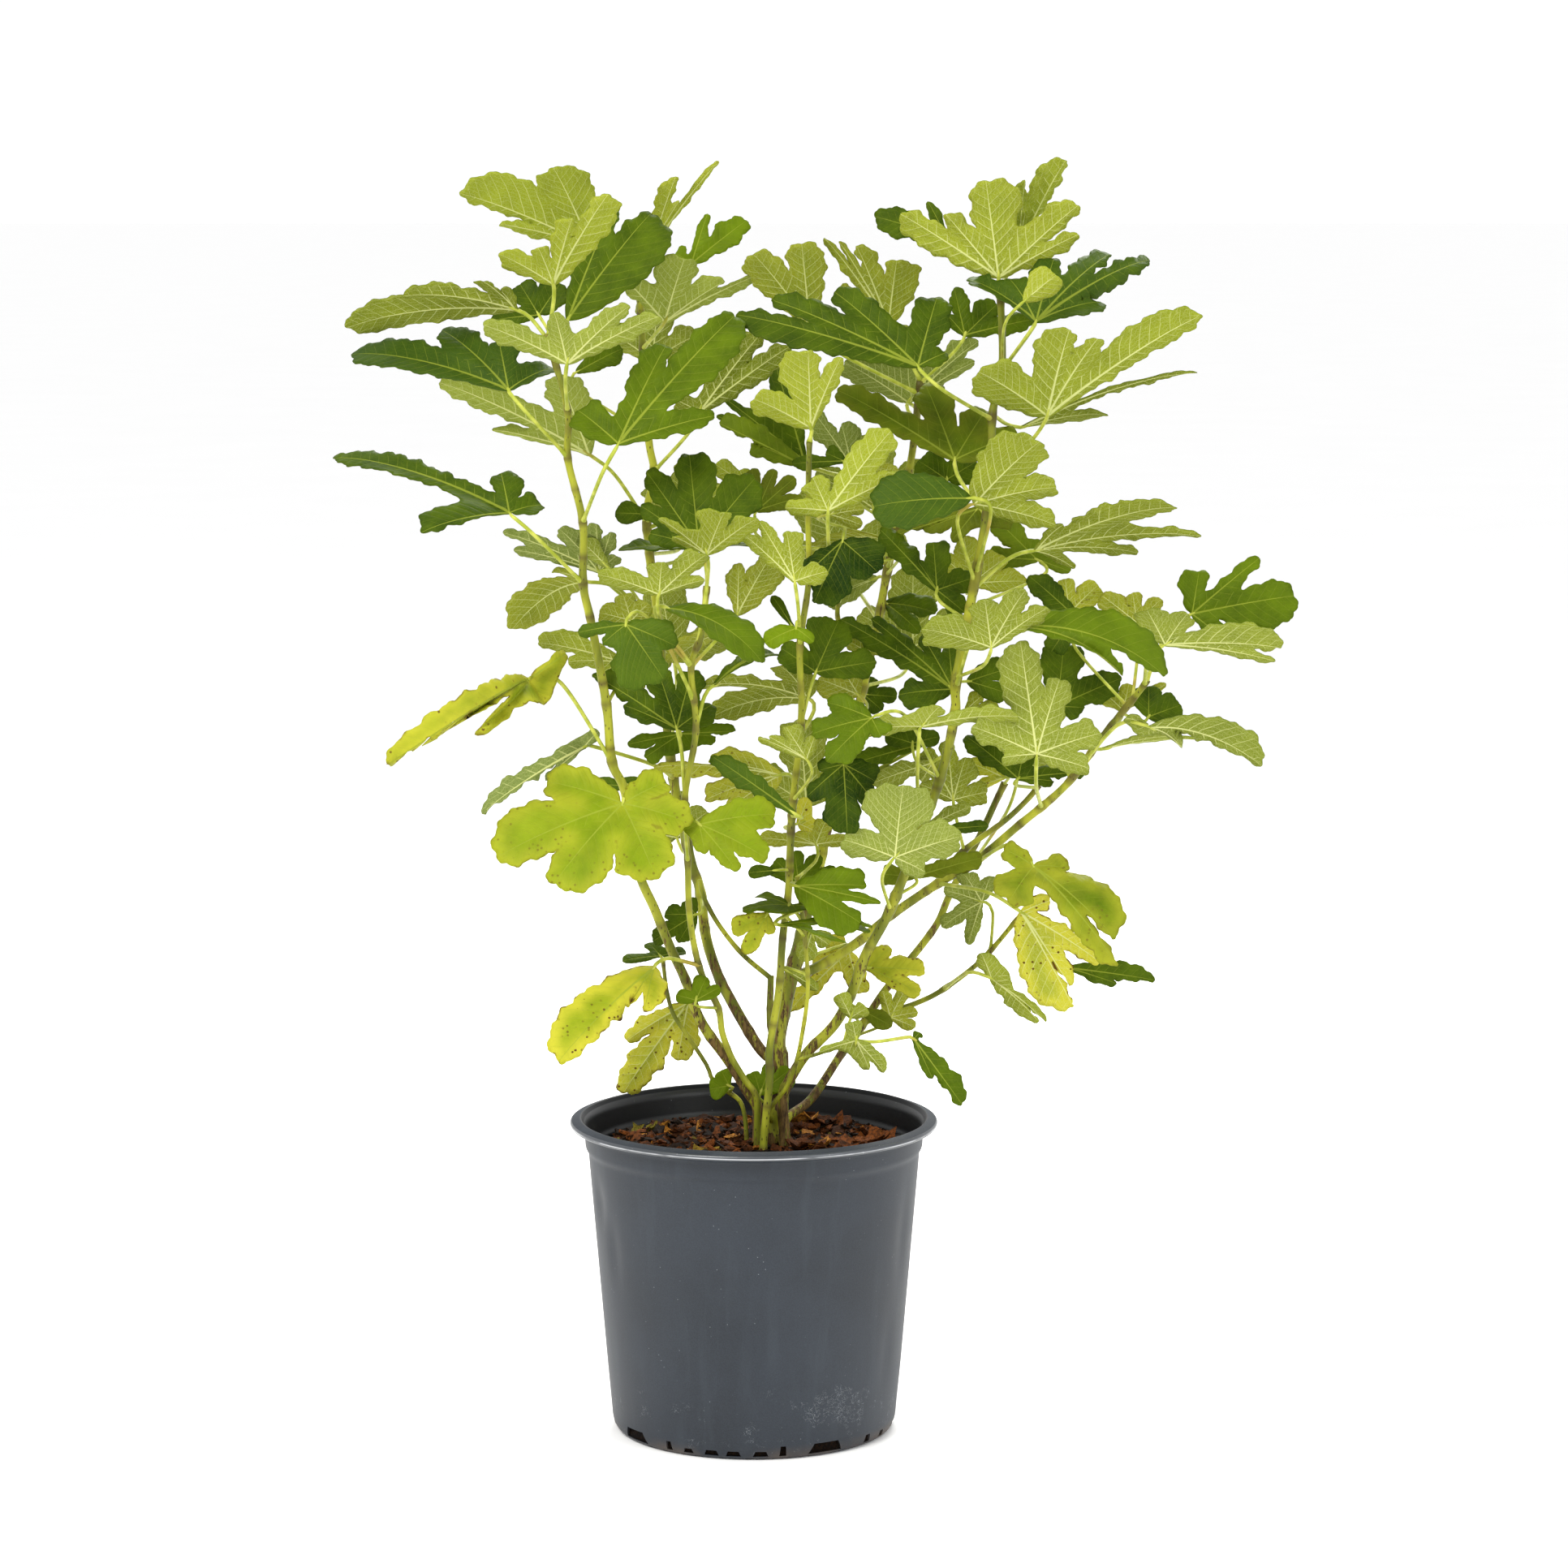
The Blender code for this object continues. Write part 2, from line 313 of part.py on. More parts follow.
LEAVES += (
    ("S3", "J", 38, (1, 39.6, -8), "u", ((-1.7, 38.3, 1.4), (-0.6, 36.6, 1.8), (1.1, 38, 1)), 0.04),
    ("S4", "J", 40, (2, 38.8, -9), "H", ((8.8, 38.4, 1.3), (7, 37.5, 1.1), (4.4, 38.2, 1.4)), 0.06),
    ("S5", "J", 42, (3.2, 41.8, -8), "U", ((8.6, 41.8, 2.4), (9.6, 40.5, 0.7), (8.2, 38.9, 3.4)), 0.04),
    ("S8", "J", 39, (2.7, 40.3, -4), "H", ((-0.9, 39.9, 1.2), (0.2, 41, 1), (6.9, 39.5, 1.3),
        (9, 38.7, 0.9)), 0.06),
    ("S9a", "A", 43, (1.8, 43, -5), "u", ((-0.4, 42.8, 0.9),), 0.04),
    ("S9b", "J", 42, (3.4, 42, -2), "u", ((1.6, 43.8, 1.8), (3.1, 44.5, 1.6), (5, 44.1, 1.8),
        (6.4, 42.8, 1.4)), 0.04),
    ("S10", "A", 46, (3.4, 46.6, 1), "v", ((5.4, 45.6, 1.6), (4.1, 48.5, 1)), 0.04),
    ("S11", "J", 42.4, (4.7, 45, -1), "v", ((7.4, 45.3, 1), (5.5, 46.9, 1.2), (3, 45.7, 1),
        (0.3, 45.5, 1.2)), 0.04),
    ("S7", "M", 36, (7.2, 36.8, 4), "v", ((2.7, 32.2, 1.3), (4.5, 35.6, 3), (5.4, 37.2, 2),
        (8.1, 33.5, 1.6)), 0.04),
    ("S12", "J", 35, (2.5, 35.3, -3), "v", ((4.9, 33.8, 0.8),), 0.04),
    ("S12b", "J", 37.5, (4.4, 38.2, -5), "v", ((3.8, 36, 1.4), (5.7, 37.3, 1.4)), 0.04),
    ("P1", "E", 64.9, (16.6, 70.8, -9), "V", ((21.4, 75.5, 4.6), (22.8, 72.1, 2.2),
        (22.6, 69.3, 2)), 0.04),
    ("P1f", "E", 65.5, (16.2, 71.2, -10.5), "U", ((8.9, 70.6, 4),), 0.06),
    ("P1b", "E", 66, (16.8, 70.4, -1), "u", ((12.9, 68.9, 2.2), (10.6, 68.4, 1), (19.6, 69.3, 1.4),
        (14.9, 68, 1)), 0.04),
    ("P2", "E", 62, (13.8, 64.3, -2), "u", ((9.5, 68.9, 1.6), (12.4, 66.4, 2), (16.5, 65.2, 1.9),
        (15.9, 62.6, 1.5), (13.5, 68, 2.2)), 0.04),
    ("P4", "M", 62.9, (9.9, 63.3, 6), "H", ((13.7, 62.6, 2.2), (12.4, 61.2, 1.6)), 0.06),
    ("P5", "E", 57.7, (17.9, 60, -11), "V", ((12.8, 61.4, 3), (17.4, 63.6, 2), (20.4, 64.3, 4),
        (22.1, 63, 1.6)), 0.04),
    ("P5b", "E", 57, (19.4, 61.5, -12), (0.1, -0.7, 0.7), ((31, 57.9, 4.4), (27.8, 57.9, 1.1)), 0.16),
    ("P6", "E", 55, (15, 56.8, -3), "U", ((6.4, 62.2, 1.8), (8.8, 62.2, 1.2), (11, 56.4, 2.6),
        (12.6, 61, 2.4), (14.7, 60.3, 1.4)), 0.04),
    ("P7", "E", 57, (16.2, 57.4, -3), "u", ((19.3, 58.4, 2), (19.1, 56.5, 1.8)), 0.04),
    ("P7b", "E", 54.5, (16.1, 55.3, -2), "v", ((18.6, 55.2, 1.2), (17.2, 56.3, 1.2)), 0.04),
    ("P8", "F", 47.9, (21.4, 51.9, -9), "v", ((18.7, 51.6, 1.4), (16.5, 54, 2.4), (20.1, 60.4, 3.4),
        (23.1, 57.7, 2.2), (26.2, 53.5, 2.4), (25.4, 50.8, 1.7)), 0.04),
    ("P9", "E", 47, (12.7, 54, -9), "h", ((8.3, 53.6, 1.8), (14, 55.5, 1.4), (20, 54.8, 1.6)), 0.05),
    ("P10", "F", 50, (22.9, 55.5, 2), "u", ((23.4, 60.4, 3), (27.6, 57.6, 2), (22, 56.1, 1.6),
        (24.9, 55.4, 1.6)), 0.04),
    ("P12", "E", 64.8, (16.4, 64.8, 1), "v", ((14.2, 66.9, 2), (15.8, 68.4, 1.6), (18.9, 66.7, 2.4),
        (20.5, 65, 1.8)), 0.04),
    ("Q1", "E", 64.4, (21.2, 67.3, -5), "h", ((31.6, 70.7, 2.4, 0.1), (33.6, 68.5, 1.3),
        (28.9, 67.2, 1.8), (24.1, 66, 0.8), (23.3, 69.3, 1)), 0.05),
    ("Q2", "F", 57.3, (33, 62.5, -4), "u", ((33.5, 65.8, 2.4), (38.1, 66.8, 1), (40.8, 63.9, 5.6, 0.3),
        (36, 60.1, 1.2)), 0.05),
    ("Q3", "F", 57.2, (31, 60.2, -7), "V", ((29.6, 62.8, 2.4), (32.6, 62.5, 1.8), (39.8, 60, 2, 0.6),
        (39.3, 59, 1)), 0.04),
    ("Q3b", "F", 56, (28.9, 61.8, 2), "v", ((26.2, 63.9, 1.8), (28.5, 64.1, 1.2),
        (30.6, 63.6, 1.2)), 0.04),
    ("Q5", "F", 55, (29.8, 54.7, 1), "u", ((29.8, 57, 2.4), (32.2, 55.6, 2.2)), 0.04),
    ("Q5b", "F", 54, (27.9, 55.2, 3), "v", ((26.4, 56.6, 1.4), (28.3, 57.2, 1.2),
        (31.1, 57.2, 0.7)), 0.04),
    ("Q6", "F", 50.5, (29.9, 53.9, -5), "V", ((38.4, 51.1, 2.2, 0.5), (32.4, 52.3, 0.9),
        (28, 54.6, 0.9)), 0.14),
    ("Q7", "F", 52, (26.5, 52.3, 2), "h", ((31.9, 53.3, 1), (34.2, 53, 0.7)), 0.04),
    ("Q9", "E", 60, (24.2, 62.3, -2), "u", ((20.8, 65.3, 1.7), (22.4, 59.6, 1.6)), 0.04),
    ("Q10", "F", 55.5, (23.8, 62.6, 3), "v", ((23.4, 65.2, 1.2), (25.9, 64.7, 1.9)), 0.04),
    ("R1", "E", 40, (10.7, 44, -9), "v", ((6.7, 45.4, 2.2), (11.3, 49.5, 4.8), (15.6, 45.6, 3),
        (13, 42.9, 1.8)), 0.04),
    ("R2", "F2", 49.3, (20, 50, 2), "U", ((16.1, 53.2, 1.8), (20.5, 52.5, 2), (25.4, 50.5, 1.6),
        (22.8, 49.8, 1)), 0.04),
    ("R3", "F2", 44.5, (15.1, 48.4, 1), "v", ((12.6, 49.6, 1.5), (12.9, 52.3, 1.8), (14.6, 53, 1.4),
        (16, 51.6, 2.2), (17.7, 49, 1.8)), 0.04),
    ("R3b", "G", 49.6, (18.9, 50.1, 7), "v", ((16.2, 51.3, 1.4), (17, 49.4, 0.8)), 0.04),
    ("R4", "E", 45, (13.2, 46.4, -1), "v", ((16.4, 47.9, 1.1),), 0.04),
    ("R5", "E", 44.5, (14.1, 46.1, -2), "u", ((17.8, 46.4, 0.8),), 0.04),
    ("R6", "E", 41, (12.2, 42.5, -1), "u", ((9.6, 42.7, 1.4), (11, 43.9, 1.4), (17.4, 44, 1.3)), 0.04),
    ("R7", "F", 43.4, (21.2, 43.3, -5), "U", ((18.9, 44.6, 1.6), (19.3, 40.5, 3.2),
        (27.6, 35.7, 1.3, -0.5), (27.4, 37.8, 3, 0.4), (23.9, 43.1, 1.6)), 0.1),
    ("R8", "F", 42, (20.3, 39.8, -2), "v", ((24.3, 32.5, 3, -0.5), (24, 34.2, 3.4), (22.5, 40.7, 1.4),
        (26.3, 36, 1.5)), 0.05),
    ("R9", "H", 39, (23.9, 35.5, 5), "u", ((30.3, 34.6, 1.7), (27.6, 34.3, 0.9)), 0.05),
    ("R10", "H", 36.9, (17.3, 40.6, 4), "V", ((17.9, 42.5, 1.4), (15.9, 42.8, 1.6), (14.4, 41.5, 1.2),
        (14.3, 38.7, 1.4), (16.3, 37.4, 1)), 0.04),
    ("R11", "H", 33.9, (18.1, 34.7, 1), "V", ((17.3, 36.6, 1.2), (21.6, 31.5, 1.9),
        (22.2, 31.4, 0.8)), 0.04),
    ("R12", "E", 35.5, (8.6, 35.5, -1), "U", ((10.3, 37, 1.4), (13, 35.3, 1.8), (12.7, 33.5, 1.3)), 0.04),
    ("R13", "G", 30.2, (10.4, 31.7, 5), "v", ((9.8, 33.7, 1.1), (11.6, 34, 1), (12.5, 32.1, 0.9),
        (12.3, 30.9, 1), (9.6, 32.3, 0.8)), 0.04),
    ("R14", "G", 31, (7.9, 32.4, 3), "u", ((10.5, 31, 1.2),), 0.04),
    ("R15", "T", 29.6, (7.4, 31.7, -4), "v", ((6.5, 33.5, 1.2), (8.6, 32.4, 1.2)), 0.04),
    ("T3", "T", 29.8, (7.8, 29.9, -5), "v", ((7.5, 31.4, 1.1), (9.9, 27.5, 1.3), (8.8, 27.7, 1.3),
        (5, 29, 0.6)), 0.04),
    ("T4", "T", 29.9, (12.2, 30, -5), "u", ((15.9, 24.9, 1.8), (13.6, 27, 0.8), (12.6, 30.5, 0.7)), 0.05),
    # Leaves of the far side, which fill the crown out all round
    ("X1", "M", 62, (7, 66, 13), "v", ((11, 69, 3), (4, 72, 3.4), (1.5, 67, 2.4)), 0.06),
    ("X2", "M", 70, (9, 70.5, 12), "V", ((13.5, 73.5, 2.6), (9, 76, 3), (4.5, 73, 2.4)), 0.06),
    ("X3", "C", 55, (-6, 59, 12), "v", ((-11, 58, 2.6), (-7, 64.5, 3.4), (-2, 61, 2.4)), 0.06),
    ("X4", "C", 67, (-5.1, 68.4, 13), "V", ((-7.8, 72.1, 2), (-4.8, 73.9, 2.4), (-1.7, 72.1, 2)), 0.06),
    ("X5", "M", 46, (4, 48, 12), "v", ((7.5, 51, 2.4), (3.5, 54.5, 3.2), (0, 50.5, 2.4)), 0.06),
    ("X6", "C", 45, (-5.8, 45.5, 11), "v", ((-9.6, 46, 2.2), (-6.5, 49, 3), (-3.5, 47.5, 2.2)), 0.06),
    ("X7", "M", 57, (12, 60, 15), "v", ((16, 62, 2.6), (12, 66, 3.2), (8, 62.5, 2.4)), 0.06),
    ("X8", "F", 43.4, (20, 50.5, 11), "v", ((23, 52.5, 2.2), (20.5, 55.5, 2.8), (17.5, 52, 2.2)), 0.06),
    ("X9", "C", 78, (-7.5, 81.5, 13), "V", ((-11.5, 84, 2.2), (-7, 87, 2.8), (-4, 83.5, 2.2)), 0.06),
    ("X10", "M", 78, (9, 81, 13), "V", ((11.5, 84, 2.2), (8.5, 86, 2.6), (5.5, 83.5, 2.2)), 0.06),
    ("P13", "E", 63, (21.3, 66.6, 2), "u", ((17.9, 69.9, 1.8), (17.5, 66.7, 1.6),
        (23.8, 65.7, 0.8)), 0.04),
    ("N3b", "M", 71, (3.5, 73.8, 0), "u", ((-2.7, 76.9, 2.2), (-0.2, 75.4, 1.6)), 0.04),
    ("P14", "E", 48, (13.5, 51.2, 3), "v", ((8.8, 49.6, 1.6), (12.7, 49.8, 1)), 0.04),
)

# A petiole that bends round by way of a point (x, z)
VIAS = {
    "LF": (-7.7, 51.1),
    "P9": (12.4, 49.4),
    "T4": (9.3, 29.8),
}


def clear_scene():
    for obj in list(bpy.data.objects):
        bpy.data.objects.remove(obj, do_unlink=True)


def new_collection(name):
    group = bpy.data.collections.new(name)
    bpy.context.scene.collection.children.link(group)
    return group


def material(name, colour, roughness):
    made = bpy.data.materials.new(name)
    made.use_nodes = True
    shader = made.node_tree.nodes["Principled BSDF"]
    shader.inputs["Base Color"].default_value = (*colour, 1)
    shader.inputs["Roughness"].default_value = roughness
    shader.inputs["Metallic"].default_value = 0.0
    return made


def mesh_object(name, points, faces, group):
    mesh = bpy.data.meshes.new(name)
    mesh.from_pydata([tuple(point) for point in points], [], faces)
    mesh.validate()
    made = bpy.data.objects.new(name, mesh)
    group.objects.link(made)
    return made


def apply_modifiers(obj):
    """Turns what the modifiers make into the object's own mesh."""
    bpy.context.view_layer.update()
    graph = bpy.context.evaluated_depsgraph_get()
    mesh = bpy.data.meshes.new_from_object(obj.evaluated_get(graph))
    obj.modifiers.clear()
    obj.data = mesh
    return obj


def boolean(obj, other, operation, solver):
    """One Boolean with an object or with all of a collection, applied."""
    cut = obj.modifiers.new(operation.lower(), "BOOLEAN")
    cut.operation = operation
    cut.solver = solver
    if isinstance(other, bpy.types.Collection):
        cut.operand_type = "COLLECTION"
        cut.collection = other
    else:
        cut.object = other
    return apply_modifiers(obj)


def screw(name, profile, sides, group):
    """Turns a closed profile of (radius, height) once round the Z axis."""
    count = len(profile)
    mesh = bpy.data.meshes.new(name)
    mesh.from_pydata([(r, 0, z) for r, z in profile], [(i, i + 1) for i in range(count - 1)], [])
    obj = bpy.data.objects.new(name, mesh)
    group.objects.link(obj)
    turn = obj.modifiers.new("turn", "SCREW")
    turn.axis = "Z"
    turn.angle = math.tau
    turn.steps = sides
    turn.render_steps = sides
    turn.use_merge_vertices = True
    turn.merge_threshold = 0.0001
    turn.use_normal_calculate = False
    return apply_modifiers(obj)


def seen(x, z, y):
    """The point at depth y that is seen where (x, z) of the plane y = 0 is seen."""
    plane = Vector((x / 100, 0, z / 100))
    return EYE + (plane - EYE) * (y / 100 + 3.6) / 3.6


def table_value(rows, at):
    """Straight-line value between the rows of a (height, value) table."""
    if at <= rows[0][0]:
        return rows[0][1]
    for (low, first), (high, second) in zip(rows, rows[1:]):
        if at <= high:
            return first + (second - first) * (at - low) / (high - low)
    return rows[-1][1]


def cane_point(name, height):
    """The middle of a cane at a height in centimetres on the plane y = 0."""
    rows = cane_rows(name)
    for (x0, z0, y0, _), (x1, z1, y1, _) in zip(rows, rows[1:]):
        if height <= z1:
            part = 0 if z1 == z0 else (height - z0) / (z1 - z0)
            part = max(0, min(1, part))
            return seen(x0 + (x1 - x0) * part, z0 + (z1 - z0) * part, y0 + (y1 - y0) * part)
    x, z, y, _ = rows[-1]
    return seen(x, z, y)


def cane_rows(name):
    """Rows (x, z, y, width) of a cane above the soil."""
    cane = CANES[name]
    rows = []
    for x, z in cane["points"]:
        rows.append((x, z, table_value(cane["depth"], z), table_value(cane["width"], z)))
    return rows


def cane_path(name):
    """Points and radii of a cane, from its foot in the soil or the middle of what bears it."""
    cane = CANES[name]
    path = []
    if "foot" in cane:
        x, y = cane["foot"]
        radius = cane["width"][0][1] / 200
        path.append((Vector((x / 100, y / 100, SOIL_TOP - HOLE_DEPTH + 0.0006)), radius))
        path.append((Vector((x / 100, y / 100, SOIL_TOP + 0.0050)), radius))
    else:
        path.append((cane_point(*cane["from"]), cane["width"][0][1] / 200))
    for x, z, y, width in cane_rows(name):
        path.append((seen(x, z, y), width / 200))
    return path


def tube(name, path, sides, group):
    """A round tube along points with a radius each, as a bevelled curve made a mesh."""
    curve = bpy.data.curves.new(name, "CURVE")
    curve.dimensions = "3D"
    curve.resolution_u = 1
    curve.use_fill_caps = True
    ring = None
    if sides == 6:
        curve.bevel_depth = 1
        curve.bevel_resolution = 1
    else:
        outline = bpy.data.curves.new("ring", "CURVE")
        outline.dimensions = "2D"
        spline = outline.splines.new("POLY")
        spline.points.add(sides - 1)
        spline.use_cyclic_u = True
        for index in range(sides):
            turn = math.tau * index / sides
            spline.points[index].co = (math.cos(turn), math.sin(turn), 0, 1)
        ring = bpy.data.objects.new("ring", outline)
        group.objects.link(ring)
        curve.bevel_mode = "OBJECT"
        curve.bevel_object = ring
    spline = curve.splines.new("POLY")
    spline.points.add(len(path) - 1)
    for point, (at, radius) in zip(spline.points, path):
        point.co = (*at, 1)
        point.radius = radius
    obj = bpy.data.objects.new(name, curve)
    group.objects.link(obj)
    bpy.context.view_layer.update()
    graph = bpy.context.evaluated_depsgraph_get()
    mesh = bpy.data.meshes.new_from_object(obj.evaluated_get(graph))
    bpy.data.objects.remove(obj, do_unlink=True)
    if ring:
        bpy.data.objects.remove(ring, do_unlink=True)
    made = bpy.data.objects.new(name, mesh)
    group.objects.link(made)
    weld = made.modifiers.new("weld", "WELD")
    weld.merge_threshold = 0.00001
    apply_modifiers(made)
    face_outward(made.data)
    return made


def face_outward(mesh):
    """Turns all faces outward on a closed mesh."""
    work = bmesh.new()
    work.from_mesh(mesh)
    bmesh.ops.recalc_face_normals(work, faces=work.faces)
    if work.calc_volume(signed=True) < 0:
        bmesh.ops.reverse_faces(work, faces=work.faces)
    bmesh.ops.triangulate(work, faces=work.faces)
    work.to_mesh(mesh)
    work.free()


def lobe_tip(base_row, normal, lobe):
    """The tip of a lobe, in the plane of the leaf as far as the slant stays natural."""
    x, z, y = base_row
    dx = lobe[0] - x
    dz = lobe[1] - z
    length = math.hypot(dx, dz)
    slant = -(normal.x * dx + normal.z * dz) / normal.y
    slant = max(-0.8 * length, min(0.8 * length, slant))
    return seen(lobe[0], lobe[1], y + slant)


def leaf_sheet(row, shift):
    """Points and triangles of a leaf as a thin sheet, its upper side on the face side."""
    name, cane, height, base_row, facing, lobes, arch = row
    base_row = (base_row[0], base_row[1], base_row[2] + shift)
    normal = Vector(FACES[facing] if isinstance(facing, str) else facing).normalized()
    base = seen(*base_row)
    tips = []
    for lobe in lobes:
        lean = lobe[3] if len(lobe) > 3 else 0
        tips.append((lobe_tip(base_row, normal, lobe), lobe[2] / 200 * FULLNESS, lean))
    middle = Vector((0, 0, 0))
    for tip, _, _ in tips:
        middle += (tip - base).normalized()
    middle.normalize()
    across = normal.cross(middle).normalized()

    def bearing(item):
        along = item[0] - base
        return math.atan2(along.dot(across), along.dot(middle))

    tips.sort(key=bearing)
    points = [base]
    faces = []

    def add(point):
        points.append(point)
        return len(points) - 1

    spans = []
    for (first, _, _), (second, _, _) in zip(tips, tips[1:]):
        spans.append((first - base).angle(second - base))
    before = None
    for index, (tip, half, lean) in enumerate(tips):
        along = tip - base
        length = along.length
        side = normal.cross(along)
        if side.length < 0.3 * length:
            side = Vector((1, 0, 0)).cross(along)
        side.normalize()
        up = along.cross(side).normalized()
        if along.x * side.z - along.z * side.x < 0:
            lean = -lean
        halves = [half * (1 - lean), half * (1 + lean)]
        for turn, step in ((0, -1), (1, 1)):
            if 0 <= index + step < len(tips):
                near = (tips[index + step][0] - base).length
                span = spans[index - 1 if step < 0 else index]
                if near > 0.45 * length:
                    halves[turn] = min(halves[turn], ROOM * length * math.tan(min(span, 2.6) / 2))
        bow = up * arch * length
        wave = 0.0009 if index % 2 else -0.0009

        def rim(part, out, turn, lift):
            sign = -1 if turn == 0 else 1
            raised = up * (0.14 * halves[turn] * out + lift)
            arched = bow * 4 * part * (1 - part)
            return base + along * part + side * (sign * out * halves[turn]) + raised + arched

        large = length > LARGE_LOBE and half > LARGE_HALF
        if before is None:
            before = add(rim(0.12, 0.45, 0, 0))
            heel = before
        tiny = length < TINY_LOBE
        inner = 0 if tiny else add(base + along * 0.5 + bow)
        far = add(base + along * 0.82 + bow * 0.6) if large else inner
        wide = add(rim(0.68, 1, 0, wave))
        if not tiny:
            faces += [(0, before, inner)]
        faces += [(before, wide, inner)]
        blunt = 0.5 if large else 0.4
        first = add(rim(0.985, blunt, 0, 0))
        second = add(rim(0.985, blunt, 1, 0))
        if large:
            faces += [(wide, far, inner)]
        faces += [(wide, first, far), (first, second, far)]
        last = add(rim(0.68, 1, 1, -wave))
        if index + 1 < len(tips):
            ahead = tips[index + 1][0] - base
            span = spans[index]
            reach = SINUS + 0.18 * max(0, 1 - span)
            shorter = min(length, ahead.length)
            after = add(base + (along.normalized() + ahead.normalized()).normalized() * shorter * reach
                        + bow * 0.5)
        else:
            after = add(rim(0.12, 0.45, 1, 0))
        faces += [(far, second, last)]
        if large:
            faces += [(far, last, inner)]
        faces += [(inner, last, after)]
        if not tiny:
            faces += [(0, inner, after)]
        before = after
    left = add(base - middle * TAB_LENGTH + across * TAB_HALF)
    right = add(base - middle * TAB_LENGTH - across * TAB_HALF)
    faces += [(0, before, left), (0, left, right), (0, right, heel)]
    return points, faces, middle, max((tip - base).length for tip, _, _ in tips)


def petiole_path(row, base, middle, reach):
    """The leaf stalk from the middle of its cane to just inside the blade."""
    name, cane, height = row[:3]
    start = cane_point(cane, height)
    radius = 0.0010 + 0.0005 * min(1, reach / 0.08)
    gap = base - start
    length = gap.length
    end = base - middle * TAB_LENGTH
    path = [(start, radius)]
    if name in VIAS:
        x, z = VIAS[name]
        half_way = (start.y + base.y) / 2
        path.append((seen(x, z, half_way * 100), radius))
    elif length > 0.015:
        bent = base - middle * 0.4 * length
        path.append((start.lerp(base, 0.6).lerp(bent, 0.45) + Vector((0, 0, 0.03 * length)), radius))
    path.append((end, radius))
    return path


def shell(points, faces, grow):
    """A leaf sheet made a closed skin that stands off it by the given distance on both faces."""
    normals = [Vector((0, 0, 0)) for _ in points]
    for a, b, c in faces:
        normal = (points[b] - points[a]).cross(points[c] - points[a])
        for index in (a, b, c):
            normals[index] += normal
    count = len(points)
    out = [point + normal.normalized() * grow for point, normal in zip(points, normals)]
    out += [point - normal.normalized() * grow for point, normal in zip(points, normals)]
    made = list(faces)
    made += [(c + count, b + count, a + count) for a, b, c in faces]
    edges = {}
    for face in faces:
        for a, b in zip(face, face[1:] + face[:1]):
            edges[(a, b)] = True
    for a, b in edges:
        if (b, a) not in edges:
            made.append((b, a, a + count))
            made.append((b, a + count, b + count))
    return out, made


def tube_skin(path, grow, sides=4):
    """A plain tube round a path, to test for room."""
    points = []
    faces = []
    for index, (at, radius) in enumerate(path):
        ahead = path[min(index + 1, len(path) - 1)][0] - path[max(index - 1, 0)][0]
        side = ahead.cross(Vector((0.31, 0.9, 0.13))).normalized()
        over = ahead.cross(side).normalized()
        for step in range(sides):
            turn = math.tau * step / sides
            points.append(at + (side * math.cos(turn) + over * math.sin(turn)) * (radius + grow))
    for index in range(len(path) - 1):
        for step in range(sides):
            a = index * sides + step
            b = index * sides + (step + 1) % sides
            faces.append((a, b, b + sides))
            faces.append((a, b + sides, a + sides))
    return points, faces


def bvh(skins):
    points = []
    faces = []
    for skin_points, skin_faces in skins:
        base = len(points)
        points += skin_points
        faces += [tuple(index + base for index in face) for face in skin_faces]
    return BVHTree.FromPolygons(points, faces, epsilon=0.0)


def node_of(cane):
    return CANES[cane]["node"]


def pot_skin():
    """The outside and the inside of the pot as plain rings, to test for room."""
    rings = [(0.1415, POT_HEIGHT + 0.001), (0.1415, 0.231), (0.110, 0.0), (0.1235, POT_HEIGHT + 0.001),
             (0.1235, 0.222), (0.0, 0.2235)]
    points = []
    faces = []
    sides = 32
    for radius, height in rings:
        for step in range(sides):
            turn = math.tau * step / sides
            points.append(Vector((radius * math.cos(turn), radius * math.sin(turn), height)))
    for low in (0, 1, 3, 4):
        for step in range(sides):
            a = low * sides + step
            b = low * sides + (step + 1) % sides
            faces.append((a, b, b + sides))
            faces.append((a, b + sides, a + sides))
    for step in range(sides):
        a = step
        b = (step + 1) % sides
        faces.append((a, b, b + 3 * sides))
        faces.append((a, b + 3 * sides, a + 3 * sides))
    return points, faces


